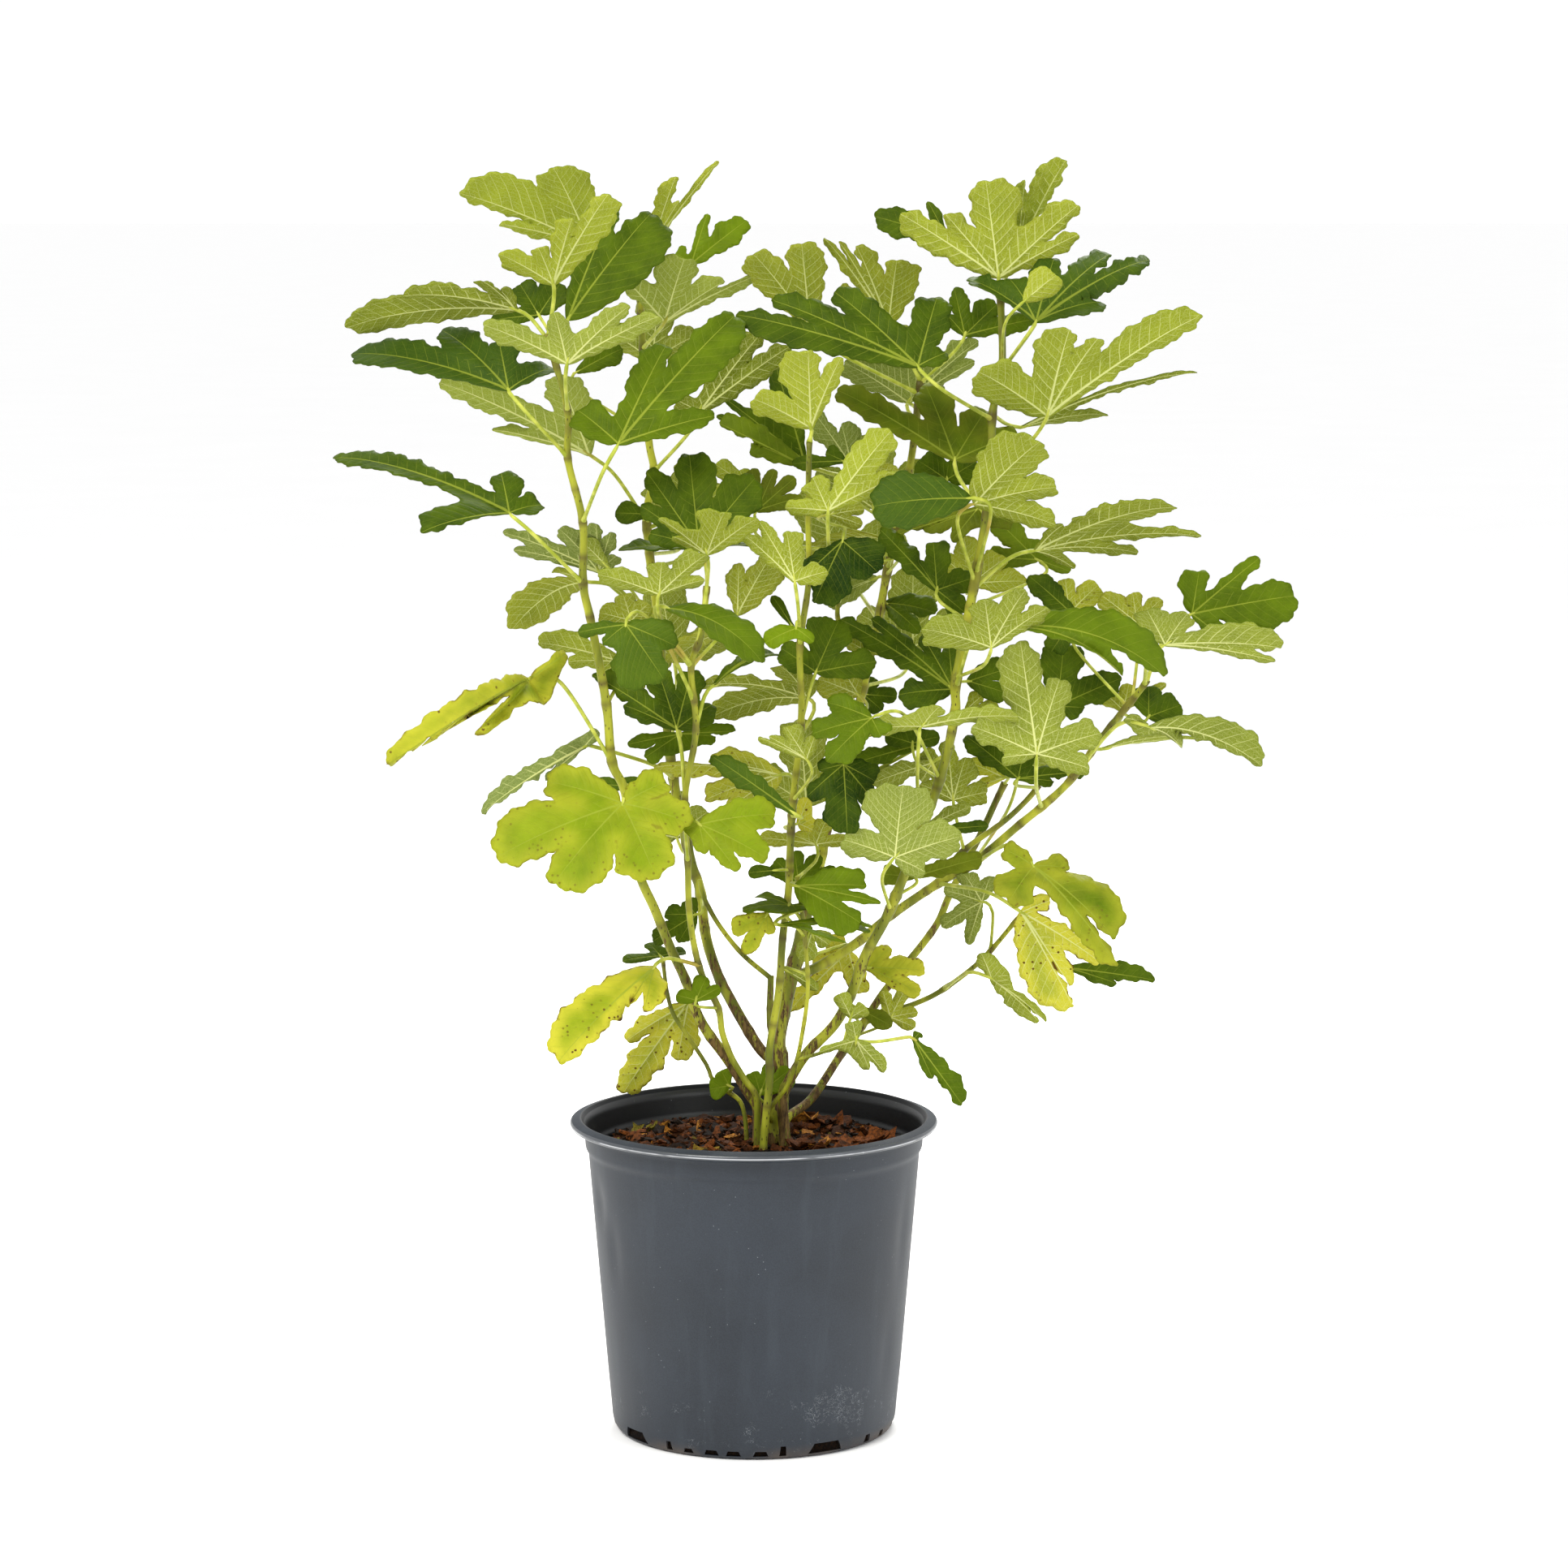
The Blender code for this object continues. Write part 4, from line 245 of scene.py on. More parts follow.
# Leaves: name, cane, height on it, base (x, z, y), way the upper side faces,
# lobes (tip x, tip z, width), and how far the blade arches for its length.
LEAVES = (
    ("A1", "C", 86.5, (-12.1, 90, 6), "V", ((-21.8, 94, 5), (-14.8, 95.8, 3.6),
        (-18.7, 91.6, 1.4)), 0.04),
    ("A3", "B", 83.2, (-14.9, 87.2, -8), "V", ((-10.8, 93.9, 3), (-13.5, 92.1, 1.8), (-18.8, 89.4, 1.8),
        (-16, 89.9, 1.6)), 0.04),
    ("A4", "B", 83, (-17.7, 85.3, -7), "h", ((-30.3, 84.1, 3.2), (-26.2, 86.4, 1.8), (-20.3, 87.5, 2),
        (-18.9, 86.8, 1.2)), 0.06),
    ("A5", "B", 82, (-16, 84.9, -3), "u", ((-19.5, 84.5, 1.2), (-17.4, 87.2, 2.6),
        (-14.4, 87.2, 2.2)), 0.04),
    ("A6", "B", 77.8, (-13.9, 81.3, -12), "V", ((-20.1, 84.2, 2), (-14.8, 85, 1.4), (-9.3, 85.6, 1.6),
        (-7, 84.9, 1.8)), 0.04),
    ("A8", "B", 74.3, (-18.3, 79.3, -9), "H", ((-29.9, 82.1, 3), (-23.2, 83.8, 2.4), (-19, 83, 2.2),
        (-14.9, 81, 1.6)), 0.06),
    ("A7b", "C", 76, (-13.1, 80.7, 5), "u", ((-9.8, 82.4, 1.7),), 0.04),
    ("A9", "C", 69.4, (-12.3, 74.5, 3), "V", ((-23.5, 80, 2.4), (-14.6, 80.4, 2.8),
        (-19.5, 76.4, 0.8)), 0.04),
    ("A10", "B", 69.4, (-10.1, 75.3, -12), "U", ((-1.3, 85, 5.6, 0.25), (-6.5, 82.7, 2.4),
        (-13.1, 77.8, 2.6), (-3, 77.4, 1.6)), 0.04),
    ("A11", "C", 73.2, (-4, 77.7, 3), "v", ((0.6, 83.6, 2.4), (2.7, 82.6, 2), (-5.8, 78.6, 1.6)), 0.04),
    ("A12", "B", 81, (-13.8, 84.6, -4), "U", ((-7.6, 92.5, 4.6, -0.25), (-10.3, 93.1, 2.4)), 0.04),
    ("A14", "C", 86.5, (-7.6, 89.8, 6), "V", ((-5.8, 95.1, 1.6), (-2.6, 96.3, 2.2, 0.8),
        (-5.5, 93.4, 0.8), (-7.4, 92.1, 1.2)), 0.04),
    ("A15", "C", 82.4, (-6.6, 84.4, 2), "V", ((-5.1, 89.2, 4.2), (-2.2, 87.4, 2.2), (0.6, 88, 1.2),
        (-11.2, 89.1, 1.6)), 0.04),
    ("A16", "C", 84, (-4.6, 88.7, 9), "u", ((-0.5, 91.9, 1.8), (-5.8, 89.5, 1.4),
        (-3.4, 92.4, 0.7)), 0.04),
    ("A17", "C", 85, (-8.3, 88, 9), "u", ((-9, 89.6, 0.8), (-7.6, 89, 0.8)), 0.04),
    ("A18", "M", 79, (4.2, 84.2, 2), "V", ((0, 89.5, 3), (3.6, 90.3, 2.8)), 0.04),
    ("A19", "M", 80, (10.1, 84.2, 4), "V", ((7.7, 90.1, 3.6), (10.7, 89, 3.4), (6.7, 87.2, 1.6),
        (6.4, 90.4, 1), (5.3, 90.7, 0.8)), 0.04),
    ("A20", "E", 77.1, (12.3, 81.1, -8), "U", ((-1.3, 85, 3), (1.3, 86.1, 2.2), (6, 86.7, 2.4),
        (13.7, 86.2, 2.6), (14.4, 82.1, 1.4)), 0.04),
    ("A21", "A", 75.4, (4.3, 76.5, -7), "V", ((4.1, 82.3, 3.8), (0, 78.7, 2.4), (6.5, 81.7, 1.2)), 0.04),
    ("A22", "M", 77, (11.6, 78.4, 6), "V", ((6.8, 81.4, 2.4), (16.8, 83, 2), (16.6, 81.5, 1)), 0.04),
    ("A23", "M", 73, (3.8, 74, 8), "u", ((1.5, 81.7, 1.6), (-2.7, 77.4, 0.9), (-2.4, 78.9, 0.7)), 0.04),
    ("A24", "E", 87.2, (18.3, 87.7, -3), "v", ((17.3, 94.9, 4.4), (11, 92.4, 2.4), (14.3, 92.4, 1.4),
        (24.2, 93.1, 2.4), (24.2, 90.9, 1.4)), 0.04),
    ("A24b", "E", 86, (14.5, 90.5, 2), "u", ((9.1, 92.2, 2), (13, 93.3, 0.7)), 0.04),
    ("A25", "E", 87, (19.8, 89.8, 0), "V", ((18.5, 93.5, 1.4), (20.2, 94.9, 2.2), (23.2, 96.4, 1.8, 0.5),
        (20.2, 92.3, 0.9)), 0.04),
    ("A26", "E", 80.7, (21.1, 84.4, -8), "H", ((29.6, 89.1, 3, 0.25), (26, 85.9, 2.4), (22.4, 89.1, 2.4),
        (26.6, 89.5, 2), (19.1, 87.6, 1.8), (16, 87.6, 1.4)), 0.06),
    ("A26b", "E", 81, (20.3, 86, -10), "v", ((22.6, 87.9, 2.2),), 0.04),
    ("A27", "M", 79.8, (15.8, 83.4, 5), "u", ((15, 86.8, 1.6), (14.4, 85, 1), (21, 84.6, 1.4),
        (18.2, 85.7, 2.2)), 0.04),
    ("A29", "E", 72.4, (22, 77.4, -8), "V", ((23.6, 83.9, 3.6), (33.4, 85, 4.4, 0.6), (25.7, 83.2, 2),
        (16.9, 80.7, 3.6)), 0.04),
    ("A30", "E", 77.5, (20.3, 76.6, 0), "h", ((26.3, 77.6, 2.8), (33.1, 80.8, 0.8)), 0.04),
    ("A32", "E", 70, (15.1, 74.1, -2), "U", ((6.2, 79.4, 2), (12.9, 79.7, 2.4), (19.8, 76, 2.6),
        (17.4, 77.8, 2.4)), 0.04),
    ("A33", "M", 72, (14.5, 72.6, 7), "u", ((12.4, 74, 2.6), (16.8, 74, 2.8)), 0.04),
    ("LA", "B", 64.8, (-18.3, 70.1, -9), "H", ((-31.4, 74.4, 1.9), (-24.9, 68.7, 2, -0.6),
        (-18.9, 73.1, 2.6), (-15.9, 70.7, 2)), 0.06),
    ("LB", "C", 62, (-11.6, 65.7, 1), "V", ((-18.8, 68.7, 1.2), (-18.1, 67.4, 1), (-14.5, 68.9, 2),
        (-11.8, 69.3, 2.2), (-10.7, 68.7, 1.4), (-10.3, 66.9, 1.4)), 0.04),
    ("LB2", "C", 61, (-11, 66.1, 0), "v", ((-12.9, 68, 1.4),), 0.04),
    ("LC", "C", 61, (-12.8, 64.9, 1), (0.1, 0.6, 0.8), ((-18.1, 61.5, 3.2), (-15.1, 65.7, 1)), 0.12),
    ("Mb", "C", 60, (-9.2, 62, -1), "v", ((-11.6, 62.6, 2), (-9.8, 64, 2), (-7.9, 63.3, 1.5)), 0.04),
    ("LD", "B", 55.6, (-10, 58.9, -3), "V", ((-16.3, 60.4, 2.4), (-14.1, 58.9, 1.4),
        (-8.5, 56.8, 1.3)), 0.04),
    ("LG", "D", 58.5, (-9.6, 61.7, -13), "u", ((-6.8, 57.6, 5.2), (-11.3, 60.3, 2.4), (-5.9, 60.1, 2.4),
        (-13.2, 61.1, 0.9)), 0.06),
    ("LE", "B", 51.3, (-17, 57.5, -9), "H", ((-27.8, 51, 1.4, -0.7), (-23.5, 53.4, 1.2, -0.5),
        (-21, 53.4, 1.2), (-14.1, 59.5, 0.8)), 0.28),
    ("LF", "C", 50, (-12.8, 52.4, -3), "u", ((-20.4, 47.5, 1, -0.6), (-15.7, 49.9, 1, -0.4),
        (-11.7, 53.6, 0.8)), 0.16),
    ("LF2", "C", 48, (-9.5, 49.4, 5), "u", ((-12, 49.6, 1.1), (-8.2, 49.8, 0.8)), 0.04),
    ("LH", "D", 48.3, (-5.8, 53.8, -7), "U", ((-12.1, 57.9, 2), (-9.8, 55.6, 1.4), (-7.2, 58.2, 3),
        (-3.2, 55.6, 2.4), (-4.6, 58.3, 2.4)), 0.04),
    ("LI", "C", 52, (-5.5, 53.4, -2), "u", ((-9.5, 52.6, 0.9), (-8.2, 51.6, 1.6), (-2.8, 53.2, 1.2),
        (-1.3, 53.6, 1.1)), 0.04),
    ("LJ", "B", 43.2, (-9.9, 48.1, -12), "U", ((-15.7, 49.8, 3), (-19.5, 44, 4.8), (-15.2, 41.9, 5),
        (-7.4, 42.4, 4.6), (-4.8, 46.6, 3), (-6.5, 49.8, 2.6)), 0.06),
    ("LK", "D", 43.7, (-4.1, 46.5, -12), "U", ((-1.3, 43, 3.6), (1, 43.9, 2.6), (1.7, 47.3, 2.6),
        (-7.3, 48, 0.7), (-3.7, 44.3, 1.2)), 0.06),
    ("LL", "C", 41, (-4.4, 39.6, 0), "u", ((-7.7, 37.5, 1.6), (-6.7, 39.6, 1.6), (-5.2, 40.7, 1.3),
        (-5.7, 37.5, 1.3)), 0.04),
    ("LM", "K", 36, (-7.1, 36.4, 0.6), "H", ((-10, 36, 0.9), (-8, 37.4, 1), (-5.1, 36.7, 0.8)), 0.04),
    ("LN", "D", 35.7, (-7.6, 35.5, -7), (-0.2, -0.6, 0.75), ((-14.9, 28.3, 3, -0.35), (-8.3, 32.3, 2.4),
        (-9.4, 32.7, 1.4)), 0.07),
    ("LO", "D", 33.5, (-5, 32.8, 0.8), "v", ((-9.7, 29.9, 1.4), (-10, 25.8, 4.6, 0.3),
        (-5.8, 28.4, 2.4)), 0.04),
    ("LLs", "D", 32.4, (-4.4, 33, -1.5), "u", ((-5.9, 33.4, 1), (-3.6, 34.8, 1.5), (-2.6, 34, 1)), 0.04),
    ("LQ", "K", 25.9, (-1.9, 26.4, -1), "u", ((-3.4, 26.1, 1.6), (-2.5, 27.6, 1.2)), 0.04),
    ("LR", "M", 24.5, (0.5, 25.8, -1.9), "u", ((2.8, 27.7, 2.2), (0, 27.5, 1.6), (1.3, 28.1, 2)), 0.04),
    ("M1", "D", 60, (-4.1, 67.6, -9), "u", ((-4.8, 74.6, 4.2), (-8, 73.2, 3), (0.1, 72.7, 3),
        (-8.5, 70.7, 1.8), (-7.9, 68.6, 1.4)), 0.04),
    ("M2a", "D", 64.4, (-3.5, 67, -12), "V", ((-7, 69.7, 0.9), (-6.1, 68.4, 0.9), (-2.2, 70.2, 3.2),
        (0.2, 69.7, 1.8)), 0.04),
    ("M3", "D", 58.6, (-7.1, 64, -14), "V", ((-3.6, 67, 2.8), (-3.7, 65.1, 1.1), (-6.9, 66.4, 1.6),
        (-11.6, 65.5, 1.8)), 0.04),
    ("M5", "C", 66, (-3.8, 67.3, 2), "H", ((-10, 67.4, 1.6), (0.2, 67.7, 0.8)), 0.05),
    ("M6", "D", 56, (-6.4, 62.9, -13), (0.2, -0.6, 0.75), ((0.6, 59, 3),), 0.14),
    ("M7", "D", 62.5, (-1.2, 62.5, -5), "v", ((1.3, 66.9, 3), (-1.1, 66.2, 1.6)), 0.04),
    ("M8", "A", 60.2, (3.1, 65, -11), "v", ((-0.8, 68.6, 1), (0.5, 69.4, 2), (2.5, 68.7, 2),
        (5.4, 65.7, 1.7)), 0.04),
    ("M9", "Q", 64, (6.7, 68, -3), "u", ((4.6, 63.4, 3.6), (9.3, 65.7, 3), (3.5, 65, 1.4)), 0.05),
    ("M10", "M", 66, (9.6, 68.2, -1), "h", ((4.2, 66.7, 2.2),), 0.12),
    ("M11", "A", 54, (4.7, 58.1, -4.5), "u", ((2.1, 59.9, 2), (6.4, 62, 3.6), (9.2, 58.9, 2)), 0.04),
    ("M13", "E", 50, (8.9, 54.6, -10), "U", ((4.4, 53.4, 3.4), (5.6, 55.8, 1.8), (5.6, 51.4, 2.6),
        (9.6, 53.2, 1.8)), 0.05),
    ("M14", "A", 48.4, (4, 51.5, -9), "v", ((1.2, 53.2, 1.6), (2.4, 54, 2.4), (0.4, 53.2, 0.8),
        (4.6, 53.2, 1)), 0.04),
    ("M15", "D", 58.5, (-2.4, 61.1, -5), "h", ((-6.2, 58.9, 2.4),), 0.06),
    ("M16", "A", 53, (4.1, 56.1, -2), "h", ((-4.3, 57, 1.3), (-3.1, 54.8, 2.6), (2, 58.6, 3),
        (4.4, 57.5, 1)), 0.1),
    ("M17", "D", 53.8, (-2.9, 57.1, -8), "H", ((1.8, 59.4, 1.4), (2.8, 59.3, 0.6)), 0.14),
    ("M18", "A", 60.2, (3.2, 61.4, -9), "u", ((0.9, 60.3, 1.4), (4.5, 60.4, 0.8)), 0.14),
    ("M19", "A", 61, (2.9, 61.6, -3), "u", ((1.4, 63.9, 0.7),), 0.04),
    ("N2", "Q", 63.5, (5.6, 70.3, -9), "v", ((2.5, 70.5, 1.3), (4.5, 72.7, 2.4), (10.3, 76.3, 2.4),
        (11, 72.9, 1.4)), 0.04),
    ("N3", "M", 71, (6.8, 74, -1), "u", ((2.9, 73.8, 1), (5.4, 74.6, 1.4)), 0.04),
    ("N4", "M", 70, (7.4, 73.6, 1), "v", ((4.6, 77.6, 2), (6.6, 76.8, 2.2)), 0.04),
    ("N5", "M", 69, (7.8, 72.6, 0), "v", ((9.6, 74.9, 1.8), (10.8, 73.3, 1.6)), 0.04),
    ("N6", "M", 67, (0.3, 70.3, -3), "u", ((-0.1, 73.4, 1.6), (1.6, 73.3, 2), (3.2, 72.8, 1.6),
        (3.6, 71.3, 1.2)), 0.04),
    ("N7", "C", 69, (-0.6, 72.2, 3), "v", ((-2.9, 73.8, 1.4), (-1, 73.3, 1.2), (-3.2, 71.3, 1.2)), 0.04),
    ("N8", "C", 69.4, (-8, 70, 4), "u", ((-10.3, 70.1, 1.6),), 0.04),
    ("N10", "M", 68, (5.8, 70, -3), "v", ((7.6, 71.8, 2), (8.3, 70.4, 1.6), (8.2, 69.2, 1)), 0.04),
    ("N13", "M", 65.5, (9.8, 66.5, -1), "v", ((8.3, 66.2, 1.6),), 0.04),
    ("N14", "M", 62, (9.2, 65.2, 7), "v", ((5.3, 63.4, 1.8), (7.5, 64.6, 1.5)), 0.04),
    ("N15", "M", 58.5, (8.5, 59.7, 0), "v", ((7.2, 60.4, 1.2), (11.2, 59.9, 1.2)), 0.04),
    ("N16", "M", 54, (7.9, 56.4, 0), "v", ((4.9, 57.6, 2.5), (6.5, 58.6, 2)), 0.04),
    ("N17", "M", 55, (8.3, 56.4, 7), "u", ((9.2, 57.6, 1.6), (10.8, 56.2, 1.4), (9.7, 55.2, 1.4)), 0.04),
    ("N18", "E", 50, (12, 52.7, 2), "u", ((10, 53.3, 1.3), (14, 53.2, 1.2)), 0.04),
    ("P11", "M", 49, (12.6, 52.6, 3), "u", ((7, 51, 1.3),), 0.04),
    ("S1", "M", 50, (6.8, 51.1, -8), "u", ((7.1, 45.8, 4.6), (9.7, 47.5, 2.4), (9.2, 49.8, 2),
        (4.1, 48.7, 2.6), (4.9, 50.6, 1.4)), 0.05),
    ("S2", "A", 48.4, (2, 50.3, -1), "V", ((-2.3, 47.3, 3), (-3.4, 51.3, 2.4), (-7.5, 51, 2),
        (-3.7, 48.4, 2.4)), 0.05),
    ("S2n", "A", 47.2, (3, 47.4, -9), "u", ((-3.1, 51.7, 1.4),), 0.04),
)
LEAVES += (
    ("S3", "J", 38, (1, 39.6, -8), "u", ((-1.7, 38.3, 1.4), (-0.6, 36.6, 1.8), (1.1, 38, 1)), 0.04),
    ("S4", "J", 40, (2, 38.8, -9), "H", ((8.8, 38.4, 1.3), (7, 37.5, 1.1), (4.4, 38.2, 1.4)), 0.06),
    ("S5", "J", 42, (3.2, 41.8, -8), "U", ((8.6, 41.8, 2.4), (9.6, 40.5, 0.7), (8.2, 38.9, 3.4)), 0.04),
    ("S8", "J", 39, (2.7, 40.3, -4), "H", ((-0.9, 39.9, 1.2), (0.2, 41, 1), (6.9, 39.5, 1.3),
        (9, 38.7, 0.9)), 0.06),
    ("S9a", "A", 43, (1.8, 43, -5), "u", ((-0.4, 42.8, 0.9),), 0.04),
    ("S9b", "J", 42, (3.4, 42, -2), "u", ((1.6, 43.8, 1.8), (3.1, 44.5, 1.6), (5, 44.1, 1.8),
        (6.4, 42.8, 1.4)), 0.04),
    ("S10", "A", 46, (3.4, 46.6, 1), "v", ((5.4, 45.6, 1.6), (4.1, 48.5, 1)), 0.04),
    ("S11", "J", 42.4, (4.7, 45, -1), "v", ((7.4, 45.3, 1), (5.5, 46.9, 1.2), (3, 45.7, 1),
        (0.3, 45.5, 1.2)), 0.04),
    ("S7", "M", 36, (7.2, 36.8, 4), "v", ((2.7, 32.2, 1.3), (4.5, 35.6, 3), (5.4, 37.2, 2),
        (8.1, 33.5, 1.6)), 0.04),
    ("S12", "J", 35, (2.5, 35.3, -3), "v", ((4.9, 33.8, 0.8),), 0.04),
    ("S12b", "J", 37.5, (4.4, 38.2, -5), "v", ((3.8, 36, 1.4), (5.7, 37.3, 1.4)), 0.04),
    ("P1", "E", 64.9, (16.6, 70.8, -9), "V", ((21.4, 75.5, 4.6), (22.8, 72.1, 2.2),
        (22.6, 69.3, 2)), 0.04),
    ("P1f", "E", 65.5, (16.2, 71.2, -10.5), "U", ((8.9, 70.6, 4),), 0.06),
    # P1b lies where the lobes of P1 shade the crown: its low brightness is painted shade
    ("P1b", "E", 66, (16.8, 70.4, -1), "u", ((12.9, 68.9, 2.2), (10.6, 68.4, 1), (19.6, 69.3, 1.4),
        (14.9, 68, 1)), 0.04),
    ("P2", "E", 62, (13.8, 64.3, -2), "u", ((9.5, 68.9, 1.6), (12.4, 66.4, 2), (16.5, 65.2, 1.9),
        (15.9, 62.6, 1.5), (13.5, 68, 2.2)), 0.04),
    ("P4", "M", 62.9, (9.9, 63.3, 6), "H", ((13.7, 62.6, 2.2), (12.4, 61.2, 1.6)), 0.06),
    ("P5", "E", 57.7, (17.9, 60, -11), "V", ((12.8, 61.4, 3), (17.4, 63.6, 2), (20.4, 64.3, 4),
        (22.1, 63, 1.6)), 0.04),
    ("P5b", "E", 57, (19.4, 61.5, -12), (0.1, -0.7, 0.7), ((31, 57.9, 4.4), (27.8, 57.9, 1.1)), 0.16),
    ("P6", "E", 55, (15, 56.8, -3), "U", ((6.4, 62.2, 1.8), (8.8, 62.2, 1.2), (11, 56.4, 2.6),
        (12.6, 61, 2.4), (14.7, 60.3, 1.4)), 0.04),
    ("P7", "E", 57, (16.2, 57.4, -3), "u", ((19.3, 58.4, 2), (19.1, 56.5, 1.8)), 0.04),
    ("P7b", "E", 54.5, (16.1, 55.3, -2), "v", ((18.6, 55.2, 1.2), (17.2, 56.3, 1.2)), 0.04),
    ("P8", "F", 47.9, (21.4, 51.9, -9), "v", ((18.7, 51.6, 1.4), (16.5, 54, 2.4), (20.1, 60.4, 3.4),
        (23.1, 57.7, 2.2), (26.2, 53.5, 2.4), (25.4, 50.8, 1.7)), 0.04),
    ("P9", "E", 47, (12.7, 54, -9), "h", ((8.3, 53.6, 1.8), (14, 55.5, 1.4), (20, 54.8, 1.6)), 0.05),
    ("P10", "F", 50, (22.9, 55.5, 2), "u", ((23.4, 60.4, 3), (27.6, 57.6, 2), (22, 56.1, 1.6),
        (24.9, 55.4, 1.6)), 0.04),
    ("P12", "E", 64.8, (16.4, 64.8, 1), "v", ((14.2, 66.9, 2), (15.8, 68.4, 1.6), (18.9, 66.7, 2.4),
        (20.5, 65, 1.8)), 0.04),
    ("Q1", "E", 64.4, (21.2, 67.3, -5), "h", ((31.6, 70.7, 2.4, 0.1), (33.6, 68.5, 1.3),
        (28.9, 67.2, 1.8), (24.1, 66, 0.8), (23.3, 69.3, 1)), 0.05),
    ("Q2", "F", 57.3, (33, 62.5, -4), "u", ((33.5, 65.8, 2.4), (38.1, 66.8, 1), (40.8, 63.9, 5.6, 0.3),
        (36, 60.1, 1.2)), 0.05),
    ("Q3", "F", 57.2, (31, 60.2, -7), "V", ((29.6, 62.8, 2.4), (32.6, 62.5, 1.8), (39.8, 60, 2, 0.6),
        (39.3, 59, 1)), 0.04),
    ("Q3b", "F", 56, (28.9, 61.8, 2), "v", ((26.2, 63.9, 1.8), (28.5, 64.1, 1.2),
        (30.6, 63.6, 1.2)), 0.04),
    ("Q5", "F", 55, (29.8, 54.7, 1), "u", ((29.8, 57, 2.4), (32.2, 55.6, 2.2)), 0.04),
    ("Q5b", "F", 54, (27.9, 55.2, 3), "v", ((26.4, 56.6, 1.4), (28.3, 57.2, 1.2),
        (31.1, 57.2, 0.7)), 0.04),
    ("Q6", "F", 50.5, (29.9, 53.9, -5), "V", ((38.4, 51.1, 2.2, 0.5), (32.4, 52.3, 0.9),
        (28, 54.6, 0.9)), 0.14),
    ("Q7", "F", 52, (26.5, 52.3, 2), "h", ((31.9, 53.3, 1), (34.2, 53, 0.7)), 0.04),
    ("Q9", "E", 60, (24.2, 62.3, -2), "u", ((20.8, 65.3, 1.7), (22.4, 59.6, 1.6)), 0.04),
    ("Q10", "F", 55.5, (23.8, 62.6, 3), "v", ((23.4, 65.2, 1.2), (25.9, 64.7, 1.9)), 0.04),
    ("R1", "E", 40, (10.7, 44, -9), "v", ((6.7, 45.4, 2.2), (11.3, 49.5, 4.8), (15.6, 45.6, 3),
        (13, 42.9, 1.8)), 0.04),
    ("R2", "F2", 49.3, (20, 50, 2), "U", ((16.1, 53.2, 1.8), (20.5, 52.5, 2), (25.4, 50.5, 1.6),
        (22.8, 49.8, 1)), 0.04),
    ("R3", "F2", 44.5, (15.1, 48.4, 1), "v", ((12.6, 49.6, 1.5), (12.9, 52.3, 1.8), (14.6, 53, 1.4),
        (16, 51.6, 2.2), (17.7, 49, 1.8)), 0.04),
    ("R3b", "G", 49.6, (18.9, 50.1, 7), "v", ((16.2, 51.3, 1.4), (17, 49.4, 0.8)), 0.04),
    ("R4", "E", 45, (13.2, 46.4, -1), "v", ((16.4, 47.9, 1.1),), 0.04),
    ("R5", "E", 44.5, (14.1, 46.1, -2), "u", ((17.8, 46.4, 0.8),), 0.04),
    ("R6", "E", 41, (12.2, 42.5, -1), "u", ((9.6, 42.7, 1.4), (11, 43.9, 1.4), (17.4, 44, 1.3)), 0.04),
    ("R7", "F", 43.4, (21.2, 43.3, -5), "U", ((18.9, 44.6, 1.6), (19.3, 40.5, 3.2),
        (27.6, 35.7, 1.3, -0.5), (27.4, 37.8, 3, 0.4), (23.9, 43.1, 1.6)), 0.1),
    ("R8", "F", 42, (20.3, 39.8, -2), "v", ((24.3, 32.5, 3, -0.5), (24, 34.2, 3.4), (22.5, 40.7, 1.4),
        (26.3, 36, 1.5)), 0.05),
    ("R9", "H", 39, (23.9, 35.5, 5), "u", ((30.3, 34.6, 1.7), (27.6, 34.3, 0.9)), 0.05),
    ("R10", "H", 36.9, (17.3, 40.6, 4), "V", ((17.9, 42.5, 1.4), (15.9, 42.8, 1.6), (14.4, 41.5, 1.2),
        (14.3, 38.7, 1.4), (16.3, 37.4, 1)), 0.04),
    ("R11", "H", 33.9, (18.1, 34.7, 1), "V", ((17.3, 36.6, 1.2), (21.6, 31.5, 1.9),
        (22.2, 31.4, 0.8)), 0.04),
    ("R12", "E", 35.5, (8.6, 35.5, -1), "U", ((10.3, 37, 1.4), (13, 35.3, 1.8), (12.7, 33.5, 1.3)), 0.04),
    ("R13", "G", 30.2, (10.4, 31.7, 5), "v", ((9.8, 33.7, 1.1), (11.6, 34, 1), (12.5, 32.1, 0.9),
        (12.3, 30.9, 1), (9.6, 32.3, 0.8)), 0.04),
    ("R14", "G", 31, (7.9, 32.4, 3), "u", ((10.5, 31, 1.2),), 0.04),
    ("R15", "T", 29.6, (7.4, 31.7, -4), "v", ((6.5, 33.5, 1.2), (8.6, 32.4, 1.2)), 0.04),
    ("T3", "T", 29.8, (7.8, 29.9, -5), "v", ((7.5, 31.4, 1.1), (9.9, 27.5, 1.3), (8.8, 27.7, 1.3),
        (5, 29, 0.6)), 0.04),
    ("T4", "T", 29.9, (12.2, 30, -5), "u", ((15.9, 24.9, 1.8), (13.6, 27, 0.8), (12.6, 30.5, 0.7)), 0.05),
    # Leaves of the far side, which fill the crown out all round
    ("X1", "M", 62, (7, 66, 13), "v", ((11, 69, 3), (4, 72, 3.4), (1.5, 67, 2.4)), 0.06),
    ("X2", "M", 70, (9, 70.5, 12), "V", ((13.5, 73.5, 2.6), (9, 76, 3), (4.5, 73, 2.4)), 0.06),
    ("X3", "C", 55, (-6, 59, 12), "v", ((-11, 58, 2.6), (-7, 64.5, 3.4), (-2, 61, 2.4)), 0.06),
